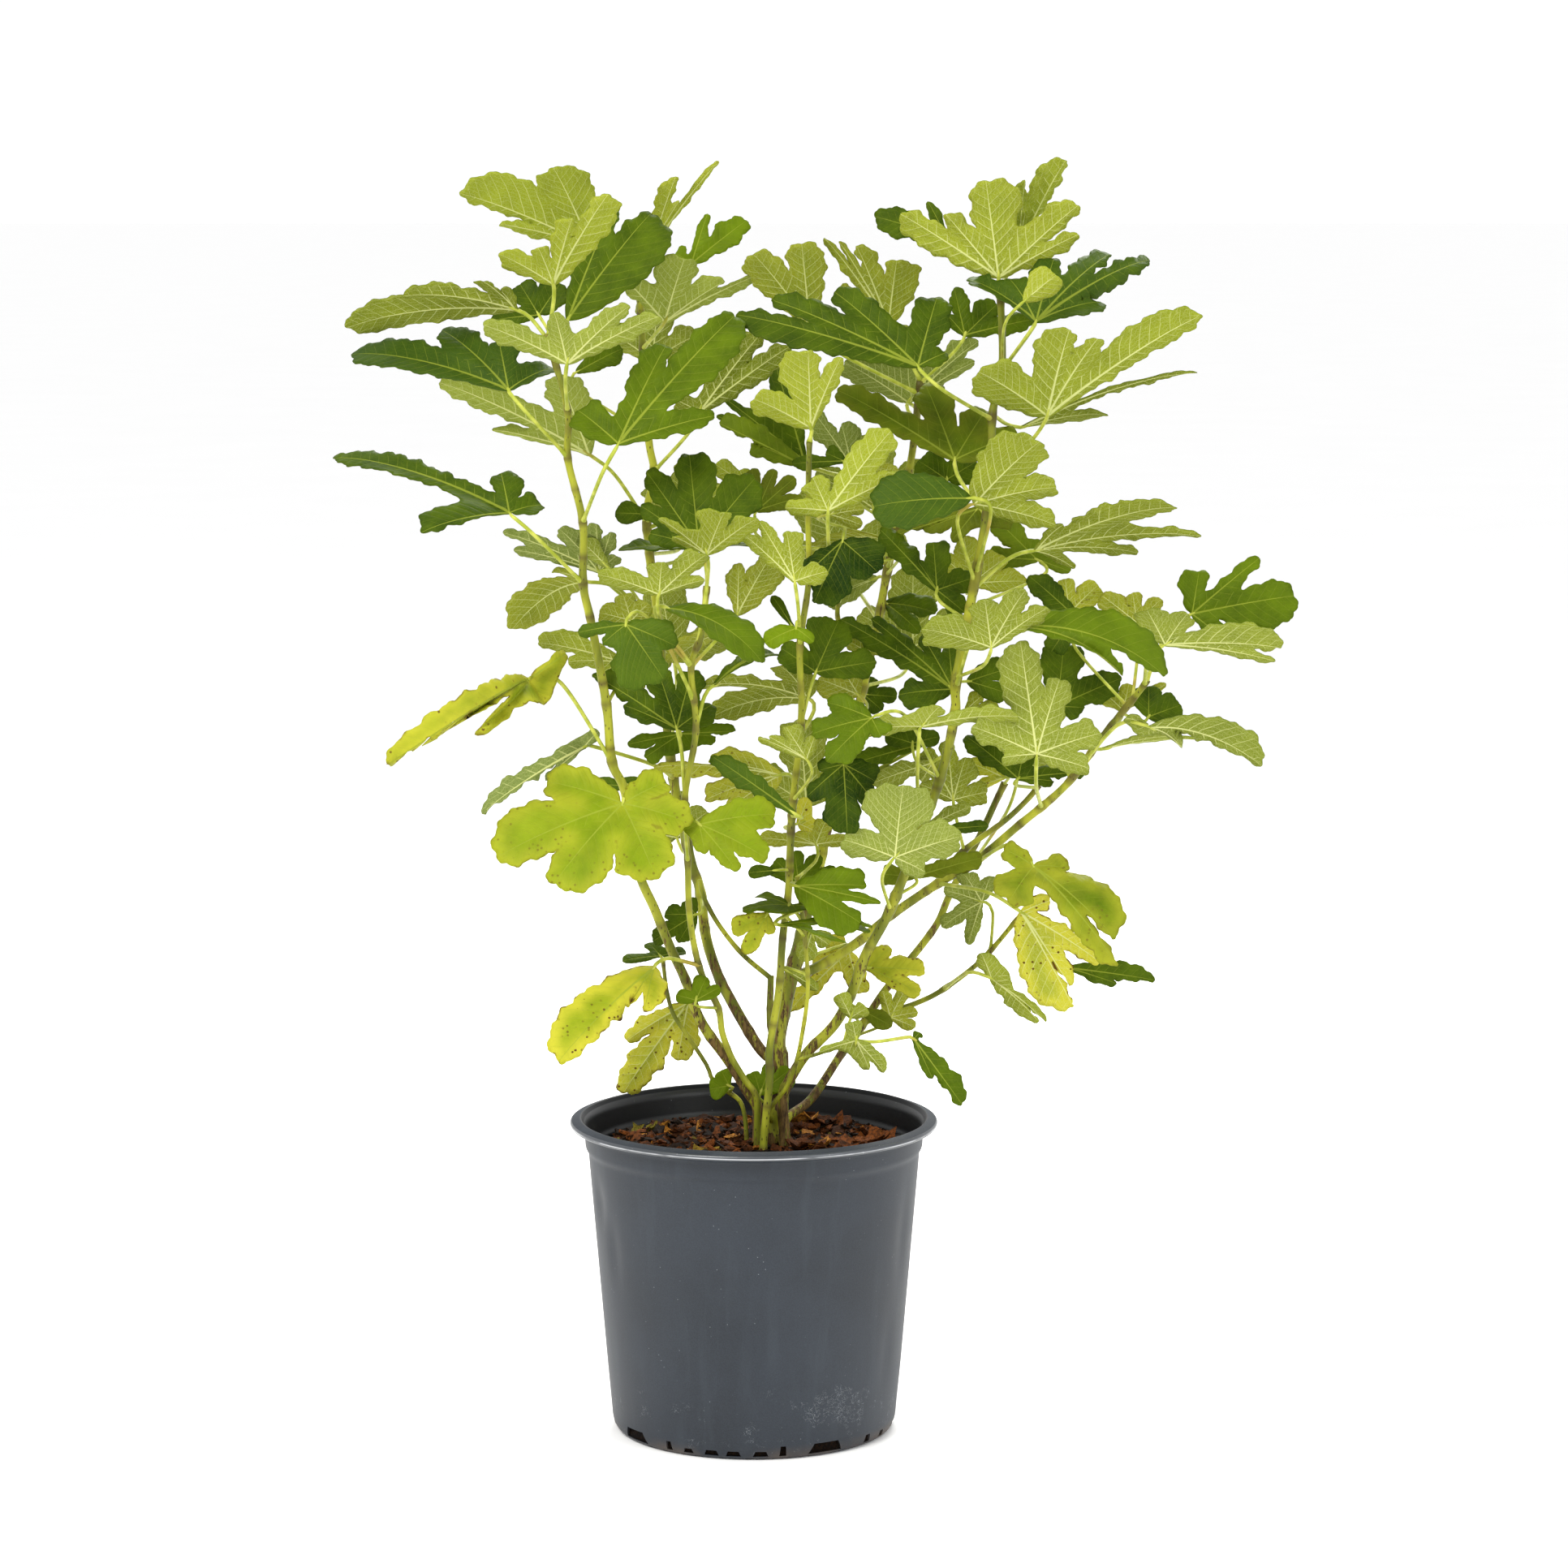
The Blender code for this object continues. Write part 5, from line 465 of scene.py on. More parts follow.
    ("X4", "C", 67, (-5.1, 68.4, 13), "V", ((-7.8, 72.1, 2), (-4.8, 73.9, 2.4), (-1.7, 72.1, 2)), 0.06),
    ("X5", "M", 46, (4, 48, 12), "v", ((7.5, 51, 2.4), (3.5, 54.5, 3.2), (0, 50.5, 2.4)), 0.06),
    ("X6", "C", 45, (-5.8, 45.5, 11), "v", ((-9.6, 46, 2.2), (-6.5, 49, 3), (-3.5, 47.5, 2.2)), 0.06),
    ("X7", "M", 57, (12, 60, 15), "v", ((16, 62, 2.6), (12, 66, 3.2), (8, 62.5, 2.4)), 0.06),
    ("X8", "F", 43.4, (20, 50.5, 11), "v", ((23, 52.5, 2.2), (20.5, 55.5, 2.8), (17.5, 52, 2.2)), 0.06),
    ("X9", "C", 78, (-7.5, 81.5, 13), "V", ((-11.5, 84, 2.2), (-7, 87, 2.8), (-4, 83.5, 2.2)), 0.06),
    ("X10", "M", 78, (9, 81, 13), "V", ((11.5, 84, 2.2), (8.5, 86, 2.6), (5.5, 83.5, 2.2)), 0.06),
    ("P13", "E", 63, (21.3, 66.6, 2), "u", ((17.9, 69.9, 1.8), (17.5, 66.7, 1.6),
        (23.8, 65.7, 0.8)), 0.04),
    ("N3b", "M", 71, (3.5, 73.8, 0), "u", ((-2.7, 76.9, 2.2), (-0.2, 75.4, 1.6)), 0.04),
    ("P14", "E", 48, (13.5, 51.2, 3), "v", ((8.8, 49.6, 1.6), (12.7, 49.8, 1)), 0.04),
)

# A petiole that bends round by way of a point (x, z)
VIAS = {
    "LF": (-7.7, 51.1),
    "P9": (12.4, 49.4),
    "T4": (9.3, 29.8),
}


def boolean(obj, other, operation, solver):
    """One Boolean with an object or with all of a collection, applied."""
    cut = obj.modifiers.new(operation.lower(), "BOOLEAN")
    cut.operation = operation
    cut.solver = solver
    if isinstance(other, bpy.types.Collection):
        cut.operand_type = "COLLECTION"
        cut.collection = other
    else:
        cut.object = other
    return apply_modifiers(obj)


def apply_modifiers(obj):
    """Turns what the modifiers make into the object's own mesh."""
    bpy.context.view_layer.update()
    graph = bpy.context.evaluated_depsgraph_get()
    mesh = bpy.data.meshes.new_from_object(obj.evaluated_get(graph))
    obj.modifiers.clear()
    obj.data = mesh
    return obj


def mesh_object(name, points, faces, group):
    mesh = bpy.data.meshes.new(name)
    mesh.from_pydata([tuple(point) for point in points], [], faces)
    mesh.validate()
    made = bpy.data.objects.new(name, mesh)
    group.objects.link(made)
    return made


def seen(x, z, y):
    """The point at depth y that is seen where (x, z) of the plane y = 0 is seen."""
    plane = Vector((x / 100, 0, z / 100))
    return EYE + (plane - EYE) * (y / 100 + 3.6) / 3.6


def table_value(rows, at):
    """Straight-line value between the rows of a (height, value) table."""
    if at <= rows[0][0]:
        return rows[0][1]
    for (low, first), (high, second) in zip(rows, rows[1:]):
        if at <= high:
            return first + (second - first) * (at - low) / (high - low)
    return rows[-1][1]


def cane_point(name, height):
    """The middle of a cane at a height in centimetres on the plane y = 0."""
    rows = cane_rows(name)
    for (x0, z0, y0, _), (x1, z1, y1, _) in zip(rows, rows[1:]):
        if height <= z1:
            part = 0 if z1 == z0 else (height - z0) / (z1 - z0)
            part = max(0, min(1, part))
            return seen(x0 + (x1 - x0) * part, z0 + (z1 - z0) * part, y0 + (y1 - y0) * part)
    x, z, y, _ = rows[-1]
    return seen(x, z, y)


def cane_rows(name):
    """Rows (x, z, y, width) of a cane above the soil."""
    cane = CANES[name]
    rows = []
    for x, z in cane["points"]:
        rows.append((x, z, table_value(cane["depth"], z), table_value(cane["width"], z)))
    return rows


def cane_path(name):
    """Points and radii of a cane, from its foot in the soil or the middle of what bears it."""
    cane = CANES[name]
    path = []
    if "foot" in cane:
        x, y = cane["foot"]
        radius = cane["width"][0][1] / 200
        path.append((Vector((x / 100, y / 100, SOIL_TOP - HOLE_DEPTH + 0.0006)), radius))
        path.append((Vector((x / 100, y / 100, SOIL_TOP + 0.0050)), radius))
    else:
        path.append((cane_point(*cane["from"]), cane["width"][0][1] / 200))
    for x, z, y, width in cane_rows(name):
        path.append((seen(x, z, y), width / 200))
    return path


def lobe_tip(base_row, normal, lobe):
    """The tip of a lobe, in the plane of the leaf as far as the slant stays natural."""
    x, z, y = base_row
    dx = lobe[0] - x
    dz = lobe[1] - z
    length = math.hypot(dx, dz)
    slant = -(normal.x * dx + normal.z * dz) / normal.y
    slant = max(-0.8 * length, min(0.8 * length, slant))
    return seen(lobe[0], lobe[1], y + slant)


def leaf_sheet(row, shift):
    """Points and triangles of a leaf as a thin sheet, its upper side on the face side."""
    name, cane, height, base_row, facing, lobes, arch = row
    base_row = (base_row[0], base_row[1], base_row[2] + shift)
    normal = Vector(FACES[facing] if isinstance(facing, str) else facing).normalized()
    base = seen(*base_row)
    tips = []
    for lobe in lobes:
        lean = lobe[3] if len(lobe) > 3 else 0
        tips.append((lobe_tip(base_row, normal, lobe), lobe[2] / 200 * FULLNESS, lean))
    middle = Vector((0, 0, 0))
    for tip, _, _ in tips:
        middle += (tip - base).normalized()
    middle.normalize()
    across = normal.cross(middle).normalized()

    def bearing(item):
        along = item[0] - base
        return math.atan2(along.dot(across), along.dot(middle))

    tips.sort(key=bearing)
    points = [base]
    faces = []

    def add(point):
        points.append(point)
        return len(points) - 1

    spans = []
    for (first, _, _), (second, _, _) in zip(tips, tips[1:]):
        spans.append((first - base).angle(second - base))
    before = None
    for index, (tip, half, lean) in enumerate(tips):
        along = tip - base
        length = along.length
        side = normal.cross(along)
        if side.length < 0.3 * length:
            side = Vector((1, 0, 0)).cross(along)
        side.normalize()
        up = along.cross(side).normalized()
        if along.x * side.z - along.z * side.x < 0:
            lean = -lean
        halves = [half * (1 - lean), half * (1 + lean)]
        for turn, step in ((0, -1), (1, 1)):
            if 0 <= index + step < len(tips):
                near = (tips[index + step][0] - base).length
                span = spans[index - 1 if step < 0 else index]
                if near > 0.45 * length:
                    halves[turn] = min(halves[turn], ROOM * length * math.tan(min(span, 2.6) / 2))
        bow = up * arch * length
        wave = 0.0009 if index % 2 else -0.0009

        def rim(part, out, turn, lift):
            sign = -1 if turn == 0 else 1
            raised = up * (0.14 * halves[turn] * out + lift)
            arched = bow * 4 * part * (1 - part)
            return base + along * part + side * (sign * out * halves[turn]) + raised + arched

        large = length > LARGE_LOBE and half > LARGE_HALF
        if before is None:
            before = add(rim(0.12, 0.45, 0, 0))
            heel = before
        tiny = length < TINY_LOBE
        inner = 0 if tiny else add(base + along * 0.5 + bow)
        far = add(base + along * 0.82 + bow * 0.6) if large else inner
        wide = add(rim(0.68, 1, 0, wave))
        if not tiny:
            faces += [(0, before, inner)]
        faces += [(before, wide, inner)]
        blunt = 0.5 if large else 0.4
        first = add(rim(0.985, blunt, 0, 0))
        second = add(rim(0.985, blunt, 1, 0))
        if large:
            faces += [(wide, far, inner)]
        faces += [(wide, first, far), (first, second, far)]
        last = add(rim(0.68, 1, 1, -wave))
        if index + 1 < len(tips):
            ahead = tips[index + 1][0] - base
            span = spans[index]
            reach = SINUS + 0.18 * max(0, 1 - span)
            shorter = min(length, ahead.length)
            after = add(base + (along.normalized() + ahead.normalized()).normalized() * shorter * reach
                        + bow * 0.5)
        else:
            after = add(rim(0.12, 0.45, 1, 0))
        faces += [(far, second, last)]
        if large:
            faces += [(far, last, inner)]
        faces += [(inner, last, after)]
        if not tiny:
            faces += [(0, inner, after)]
        before = after
    left = add(base - middle * TAB_LENGTH + across * TAB_HALF)
    right = add(base - middle * TAB_LENGTH - across * TAB_HALF)
    faces += [(0, before, left), (0, left, right), (0, right, heel)]
    return points, faces, middle, max((tip - base).length for tip, _, _ in tips)


def petiole_path(row, base, middle, reach):
    """The leaf stalk from the middle of its cane to just inside the blade."""
    name, cane, height = row[:3]
    start = cane_point(cane, height)
    radius = 0.0010 + 0.0005 * min(1, reach / 0.08)
    gap = base - start
    length = gap.length
    end = base - middle * TAB_LENGTH
    path = [(start, radius)]
    if name in VIAS:
        x, z = VIAS[name]
        half_way = (start.y + base.y) / 2
        path.append((seen(x, z, half_way * 100), radius))
    elif length > 0.015:
        bent = base - middle * 0.4 * length
        path.append((start.lerp(base, 0.6).lerp(bent, 0.45) + Vector((0, 0, 0.03 * length)), radius))
    path.append((end, radius))
    return path


def shell(points, faces, grow):
    """A leaf sheet made a closed skin that stands off it by the given distance on both faces."""
    normals = [Vector((0, 0, 0)) for _ in points]
    for a, b, c in faces:
        normal = (points[b] - points[a]).cross(points[c] - points[a])
        for index in (a, b, c):
            normals[index] += normal
    count = len(points)
    out = [point + normal.normalized() * grow for point, normal in zip(points, normals)]
    out += [point - normal.normalized() * grow for point, normal in zip(points, normals)]
    made = list(faces)
    made += [(c + count, b + count, a + count) for a, b, c in faces]
    edges = {}
    for face in faces:
        for a, b in zip(face, face[1:] + face[:1]):
            edges[(a, b)] = True
    for a, b in edges:
        if (b, a) not in edges:
            made.append((b, a, a + count))
            made.append((b, a + count, b + count))
    return out, made


def tube_skin(path, grow, sides=4):
    """A plain tube round a path, to test for room."""
    points = []
    faces = []
    for index, (at, radius) in enumerate(path):
        ahead = path[min(index + 1, len(path) - 1)][0] - path[max(index - 1, 0)][0]
        side = ahead.cross(Vector((0.31, 0.9, 0.13))).normalized()
        over = ahead.cross(side).normalized()
        for step in range(sides):
            turn = math.tau * step / sides
            points.append(at + (side * math.cos(turn) + over * math.sin(turn)) * (radius + grow))
    for index in range(len(path) - 1):
        for step in range(sides):
            a = index * sides + step
            b = index * sides + (step + 1) % sides
            faces.append((a, b, b + sides))
            faces.append((a, b + sides, a + sides))
    return points, faces


def bvh(skins):
    points = []
    faces = []
    for skin_points, skin_faces in skins:
        base = len(points)
        points += skin_points
        faces += [tuple(index + base for index in face) for face in skin_faces]
    return BVHTree.FromPolygons(points, faces, epsilon=0.0)


def node_of(cane):
    return CANES[cane]["node"]


def pot_skin():
    """The outside and the inside of the pot as plain rings, to test for room."""
    rings = [(0.1415, POT_HEIGHT + 0.001), (0.1415, 0.231), (0.110, 0.0), (0.1235, POT_HEIGHT + 0.001),
             (0.1235, 0.222), (0.0, 0.2235)]
    points = []
    faces = []
    sides = 32
    for radius, height in rings:
        for step in range(sides):
            turn = math.tau * step / sides
            points.append(Vector((radius * math.cos(turn), radius * math.sin(turn), height)))
    for low in (0, 1, 3, 4):
        for step in range(sides):
            a = low * sides + step
            b = low * sides + (step + 1) % sides
            faces.append((a, b, b + sides))
            faces.append((a, b + sides, a + sides))
    for step in range(sides):
        a = step
        b = (step + 1) % sides
        faces.append((a, b, b + 3 * sides))
        faces.append((a, b + 3 * sides, a + 3 * sides))
    return points, faces


def lay_out():
    """Gives each leaf the depth at which it keeps clear of the other stems and of other leaves."""
    solid = []
    for name in CANES:
        path = cane_path(name)
        if "foot" in CANES[name]:
            path = path[2:]
        solid.append((node_of(name), "cane", bvh([tube_skin(path, 0.0004, 6)])))
    solid.append(("pot", "pot", bvh([pot_skin()])))
    steps = [0]
    for count in range(1, 27):
        steps += [-0.5 * count, 0.5 * count]
    order = sorted(LEAVES, key=lambda row: -leaf_sheet(row, 0)[3])
    shifts = {}
    for row in order:
        node = node_of(row[1])
        best = None
        for shift in steps:
            points, faces, middle, reach = leaf_sheet(row, shift)
            path = petiole_path(row, points[0], middle, reach)
            skin = bvh([shell(points, faces, BEND_CLEAR_GAP)])
            stalk = bvh([tube_skin(path, 0.0006)])
            crossed = 0
            touched = 0
            for other, kind, tree in solid:
                if other != node:
                    if skin.overlap(tree) or stalk.overlap(tree):
                        crossed += 1
                elif skin.overlap(tree) or (kind == "blade" and stalk.overlap(tree)):
                    touched += 1
            score = (crossed, touched + abs(shift) / 7)
            if best is None or score < best[0]:
                best = (score, shift)
            if crossed == 0 and touched <= abs(shift) / 7:
                break
        shift = best[1]
        points, faces, middle, reach = leaf_sheet(row, shift)
        path = petiole_path(row, points[0], middle, reach)
        solid.append((node, "blade", bvh([shell(points, faces, 0.0005)])))
        solid.append((node, "stalk", bvh([tube_skin(path, 0.0003)])))
        shifts[row[0]] = (shift, best[0])
    return shifts


def pot_profile():
    """Closed section of the pot: up the inside, over the rolled lip and down the outside."""
    slope = (WALL_TOP - FOOT_RADIUS - 0.0005) / (0.2190 - 0.0090)
    inner_low = FOOT_RADIUS + 0.0008 - POT_WALL
    return (
        (0.0, FLOOR_THICK),
        (inner_low, FLOOR_THICK),
        (inner_low + slope * (0.2150 - FLOOR_THICK), 0.2150),
        (WALL_TOP + 0.0002, 0.2185),
        (WALL_TOP + 0.0012, 0.2345),
        (WALL_TOP + 0.0058, POT_HEIGHT),
        (RIM_RADIUS, 0.2382),
        (RIM_RADIUS, 0.2345),
        (WALL_TOP + 0.0032, 0.2322),
        (WALL_TOP + 0.0022, 0.2185),
        (WALL_TOP - 0.0002, 0.2145),
        (FOOT_RADIUS + 0.0016, 0.0090),
        (FOOT_RADIUS, 0.0034),
        (0.1040, 0.0),
        (0.0, 0.0),
    )


# Looks of the leaves: brightness, yellowing and coolness of the green, each from 0 to 1; the brightness is partly
# each leaf's own green and partly painted shade, low for leaves that lie in shadow
LOOKS = {
    "A1": (0.85, 0, 0), "A3": (0.9, 0.05, 0), "A4": (0.45, 0, 0), "A5": (0.2, 0, 0), "A6": (0.8, 0, 0.3),
    "A8": (0.25, 0, 0.6), "A7b": (0.35, 0, 0), "A9": (0.92, 0, 0.4), "A10": (0.4, 0, 0), "A11": (0.3, 0, 0),
    "A12": (0.3, 0, 0), "A14": (0.9, 0.1, 0), "A15": (0.92, 0, 0.4), "A16": (0.6, 0, 0), "A17": (0.2, 0, 0),
    "A18": (0.6, 0.1, 0), "A19": (0.6, 0.1, 0), "A20": (0.2, 0, 0), "A21": (0.95, 0.05, 0),
    "A22": (0.5, 0, 0.5), "A23": (0.25, 0, 0), "A24": (0.7, 0.05, 0), "A24b": (0.25, 0, 0),
    "A25": (0.75, 0, 0), "A26": (0.3, 0, 0.5), "A26b": (0.9, 0.05, 0), "A27": (0.3, 0, 0),
    "A29": (0.7, 0, 0), "A30": (0.4, 0, 0), "A32": (0.3, 0.1, 0), "A33": (0.25, 0, 0), "LA": (0.25, 0, 0.2),
    "LB": (0.5, 0, 0.6), "LB2": (0.6, 0, 0.2), "LC": (0.5, 0.1, 0), "Mb": (0.5, 0.1, 0), "LD": (0.6, 0, 0),
    "LG": (0.5, 0, 0.5), "LE": (0.75, 0.5, 0), "LF": (0.45, 0, 0.8, 1), "LF2": (0.5, 0, 0.5), "LH": (0.2, 0, 0),
    "LI": (0.4, 0, 0.1), "LJ": (0.85, 0.3, 0), "LK": (0.8, 0.12, 0), "LL": (0.25, 0, 0), "LM": (0.4, 0, 0.4),
    "LN": (0.95, 0.75, 0), "LO": (0.95, 0.7, 0), "LLs": (0.6, 0, 0), "LQ": (0.75, 0, 0.1), "LR": (0.6, 0, 0),
    "M1": (0.25, 0, 0), "M2a": (0.75, 0, 0), "M3": (0.7, 0, 0.1), "M5": (0.25, 0, 0), "M6": (0.5, 0, 0.2),
    "M7": (0.5, 0.1, 0), "M8": (0.7, 0, 0), "M9": (0.05, 0, 0), "M10": (0.5, 0.2, 0), "M11": (0.3, 0, 0),
    "M13": (0.5, 0, 0.1), "M14": (0.75, 0, 0.1), "M15": (0.5, 0.2, 0), "M16": (0.4, 0.05, 0),
    "M17": (0.3, 0, 0), "M18": (0.8, 0, 0), "M19": (0.2, 0, 0), "N2": (0.85, 0, 0), "N3": (0.3, 0, 0),
    "N4": (0.5, 0, 0.5), "N5": (0.5, 0.2, 0), "N6": (0.25, 0.1, 0), "N7": (0.7, 0, 0), "N8": (0.2, 0, 0),
    "N10": (0.5, 0.1, 0), "N13": (0.5, 0.2, 0), "N14": (0.6, 0, 0.4), "N15": (0.6, 0.1, 0),
    "N16": (0.45, 0.2, 0), "N17": (0.2, 0, 0), "N18": (0.2, 0, 0), "P11": (0.3, 0, 0), "S1": (0.1, 0, 0),
    "S2": (0.6, 0.4, 0), "S2n": (0.5, 0, 0.6), "S3": (0.8, 0.5, 0), "S4": (0.5, 0, 0), "S5": (0.5, 0, 0),
    "S8": (0.4, 0, 0), "S9a": (0.25, 0, 0), "S9b": (0.35, 0, 0), "S10": (0.7, 0.8, 0), "S11": (0.5, 0.2, 0),
    "S7": (0.8, 0.8, 0), "S12": (0.7, 0, 0.1), "S12b": (0.7, 0, 0.1), "P1": (0.65, 0, 0),
    "P1f": (0.35, 0, 0.6), "P1b": (0.2, 0.1, 0), "P2": (0.25, 0, 0), "P4": (0.3, 0, 0), "P5": (0.6, 0, 0.1),
    "P5b": (0.5, 0, 0.1), "P6": (0.2, 0, 0), "P7": (0.3, 0, 0), "P7b": (0.5, 0.1, 0), "P8": (0.6, 0, 0.2),
    "P9": (0.85, 0, 0.2), "P10": (0.25, 0, 0), "P12": (0.7, 0.2, 0), "Q1": (0.5, 0, 0), "Q2": (0.45, 0, 0),
    "Q3": (0.6, 0, 0.2), "Q3b": (0.5, 0.2, 0), "Q5": (0.2, 0, 0), "Q5b": (0.5, 0.2, 0), "Q6": (0.5, 0, 0.2),
    "Q7": (0.7, 0, 0.2), "Q9": (0.2, 0, 0), "Q10": (0.6, 0.3, 0), "R1": (0.65, 0, 0.4), "R2": (0.2, 0, 0),
    "R3": (0.5, 0.05, 0), "R3b": (0.8, 0.4, 0), "R4": (0.5, 0, 0.1), "R5": (0.2, 0, 0), "R6": (0.35, 0.1, 0),
    "R7": (0.5, 0.3, 0), "R8": (0.8, 0.85, 0), "R9": (0.3, 0, 0.1), "R10": (0.55, 0, 0.4),
    "R11": (0.75, 0, 0.1), "R12": (0.6, 0.5, 0), "R13": (0.75, 0.2, 0), "R14": (0.3, 0.1, 0),
    "R15": (0.7, 0, 0.1), "T3": (0.7, 0, 0.2), "T4": (0.35, 0, 0.1),
}
PLAIN_LOOK = (0.45, 0.05, 0.15)


def smooth_line(points, step, closed=False):
    """A smooth curve through points, as points about a step apart."""
    points = [np.array(point, float) for point in points]
    count = len(points)
    out = []
    for index in range(count if closed else count - 1):
        if closed:
            a, b, c, d = (points[(index + turn) % count] for turn in (-1, 0, 1, 2))
        else:
            b = points[index]
            c = points[index + 1]
            a = points[index - 1] if index else 2 * b - c
            d = points[index + 2] if index + 2 < count else 2 * c - b
        parts = max(1, int(round(np.linalg.norm(c - b) / step)))
        for part in range(parts):
            t = part / parts
            out.append(0.5 * (2 * b + (c - a) * t + (2 * a - 5 * b + 4 * c - d) * t * t
                              + (3 * b - a - 3 * c + d) * t ** 3))
    if not closed:
        out.append(points[-1])
    return out


def lobes_of(row, shift):
    """The leaf's own axes, and its lobes as flat directions, lengths, widths and tip heights."""
    name, cane, height, base_row, facing, lobes, arch = row
    base_row = (base_row[0], base_row[1], base_row[2] + shift)
    normal = Vector(FACES[facing] if isinstance(facing, str) else facing).normalized()
    base = seen(*base_row)
    tips = []
    for lobe in lobes:
        lean = lobe[3] if len(lobe) > 3 else 0
        tips.append((lobe_tip(base_row, normal, lobe), lobe[2] / 200 * FULLNESS, lean))
    middle = Vector((0, 0, 0))
    for tip, _, _ in tips:
        middle += (tip - base).normalized()
    middle.normalize()
    across = normal.cross(middle).normalized()
    tips.sort(key=lambda item: math.atan2((item[0] - base).dot(across), (item[0] - base).dot(middle)))
    spread = Vector((0, 0, 0))
    for (first, _, _), (second, _, _) in zip(tips, tips[1:]):
        spread += (first - base).normalized().cross((second - base).normalized())
    up = spread if spread.length > 0.25 else normal
    if up.dot(normal) < 0:
        up = -up
    up = (up - middle * up.dot(middle)).normalized()
    across = up.cross(middle).normalized()
    # Flat bearings count counter-clockwise about the upper side, from the middle direction
    found = []
    for tip, half, lean in tips:
        along = tip - base
        flat = np.array([along.dot(across), along.dot(middle)])
        length = float(np.linalg.norm(flat))
        length = max(length, 0.55 * along.length)
        flat = flat / max(1e-9, np.linalg.norm(flat))
        side = across * flat[1] - middle * flat[0]
        if along.x * side.z - along.z * side.x < 0:
            lean = -lean
        halves = [half * (1 - lean), half * (1 + lean)]
        found.append({"way": flat, "length": length, "half": halves, "rise": along.dot(up),
                      "angle": math.atan2(flat[0], flat[1])})
    for (index, lobe), step in ((pair, step) for pair in enumerate(found) for step in (0, 1)):
        near = index + (1 if step else -1)
        if 0 <= near < len(found) and found[near]["length"] > 0.45 * lobe["length"]:
            span = abs(found[near]["angle"] - lobe["angle"])
            room = ROOM * lobe["length"] * math.tan(min(span, 2.6) / 2)
            lobe["half"][step] = max(0.0012, min(lobe["half"][step], room))
    return base, across, middle, up, found, arch


def lobe_side(lobe, turn, points_at):
    """Points along one margin of a lobe, from shares of its length and width."""
    sign = 1 if turn else -1
    way = lobe["way"]
    side = np.array([way[1], -way[0]]) * sign
    return [way * lobe["length"] * part + side * lobe["half"][turn] * out for part, out in points_at]


def leaf_outline(lobes, rng):
    """The toothed margin of a leaf as flat points, in order round it."""
    controls = []
    soft = []

    def put(points, weight, half=1.0):
        controls.extend(points)
        soft.extend([weight * min(1, half / 0.0085)] * len(points))

    put(lobe_side(lobes[0], 0, [(0.10, 0.42)]), 0.2)
    for index, lobe in enumerate(lobes):
        before = 0.0
        if index:
            span = abs(lobe["angle"] - lobes[index - 1]["angle"])
            before = (SINUS + 0.18 * max(0, 1 - span)) * min(1, lobes[index - 1]["length"] / lobe["length"])
        rows = [(0.36, 0.78), (0.56, 0.97), (0.74, 1.0), (0.88, 0.86), (0.97, 0.48)]
        put(lobe_side(lobe, 0, [item for item in rows if item[0] > before + 0.05]), 1, max(lobe["half"]))
        put([lobe["way"] * lobe["length"]], 1, max(lobe["half"]))
        after = 0.0
        if index + 1 < len(lobes):
            span = abs(lobe["angle"] - lobes[index + 1]["angle"])
            after = (SINUS + 0.18 * max(0, 1 - span)) * min(1, lobes[index + 1]["length"] / lobe["length"])
        rows.reverse()
        put(lobe_side(lobe, 1, [item for item in rows if item[0] > after + 0.05]), 1, max(lobe["half"]))
        if index + 1 < len(lobes):
            ahead = lobes[index + 1]
            between = lobe["way"] + ahead["way"]
            between = between / max(1e-9, np.linalg.norm(between))
            span = abs(ahead["angle"] - lobe["angle"])
            reach = SINUS + 0.18 * max(0, 1 - span)
            put([between * min(lobe["length"], ahead["length"]) * reach], 0.15)
    put(lobe_side(lobes[-1], 1, [(0.10, 0.42)]), 0.2)
    put([np.array([0.0015, -0.0012]), np.array([-0.0015, -0.0012])], 0)
    largest = max(lobe["length"] for lobe in lobes)
    step = 0.0016 if largest > 0.05 else 0.0013
    line = []
    weights = []
    count = len(controls)
    for index in range(count):
        a, b, c, d = (controls[(index + turn) % count] for turn in (-1, 0, 1, 2))
        parts = max(1, int(round(np.linalg.norm(c - b) / step)))
        for part in range(parts):
            t = part / parts
            line.append(0.5 * (2 * b + (c - a) * t + (2 * a - 5 * b + 4 * c - d) * t * t
                               + (3 * b - a - 3 * c + d) * t ** 3))
            weights.append(soft[index] * (1 - t) + soft[(index + 1) % count] * t)
    line = np.array(line)
    weights = np.array(weights)
    ahead = np.roll(line, -1, 0) - np.roll(line, 1, 0)
    length = np.maximum(np.linalg.norm(ahead, axis=1, keepdims=True), 1e-9)
    normal = np.stack([ahead[:, 1], -ahead[:, 0]], 1) / length
    area = 0.5 * np.sum(line[:, 0] * np.roll(line[:, 1], -1) - np.roll(line[:, 0], -1) * line[:, 1])
    if area < 0:
        normal = -normal
    run = np.concatenate([[0], np.cumsum(np.linalg.norm(np.diff(line, axis=0), axis=1))])
    depth = min(1.0, largest / 0.055)
    teeth = 0.0009 * (np.abs(np.sin(np.pi * (run / min(0.0066, max(0.0040, largest * 0.10)) + rng.random()))) - 0.45)
    lobules = 0.0010 * np.sin(run / 0.0024 + rng.random() * 6) + 0.0008 * np.sin(run / 0.0041 + rng.random() * 6)
    return line + normal * (weights * (teeth + lobules) * depth)[:, None]


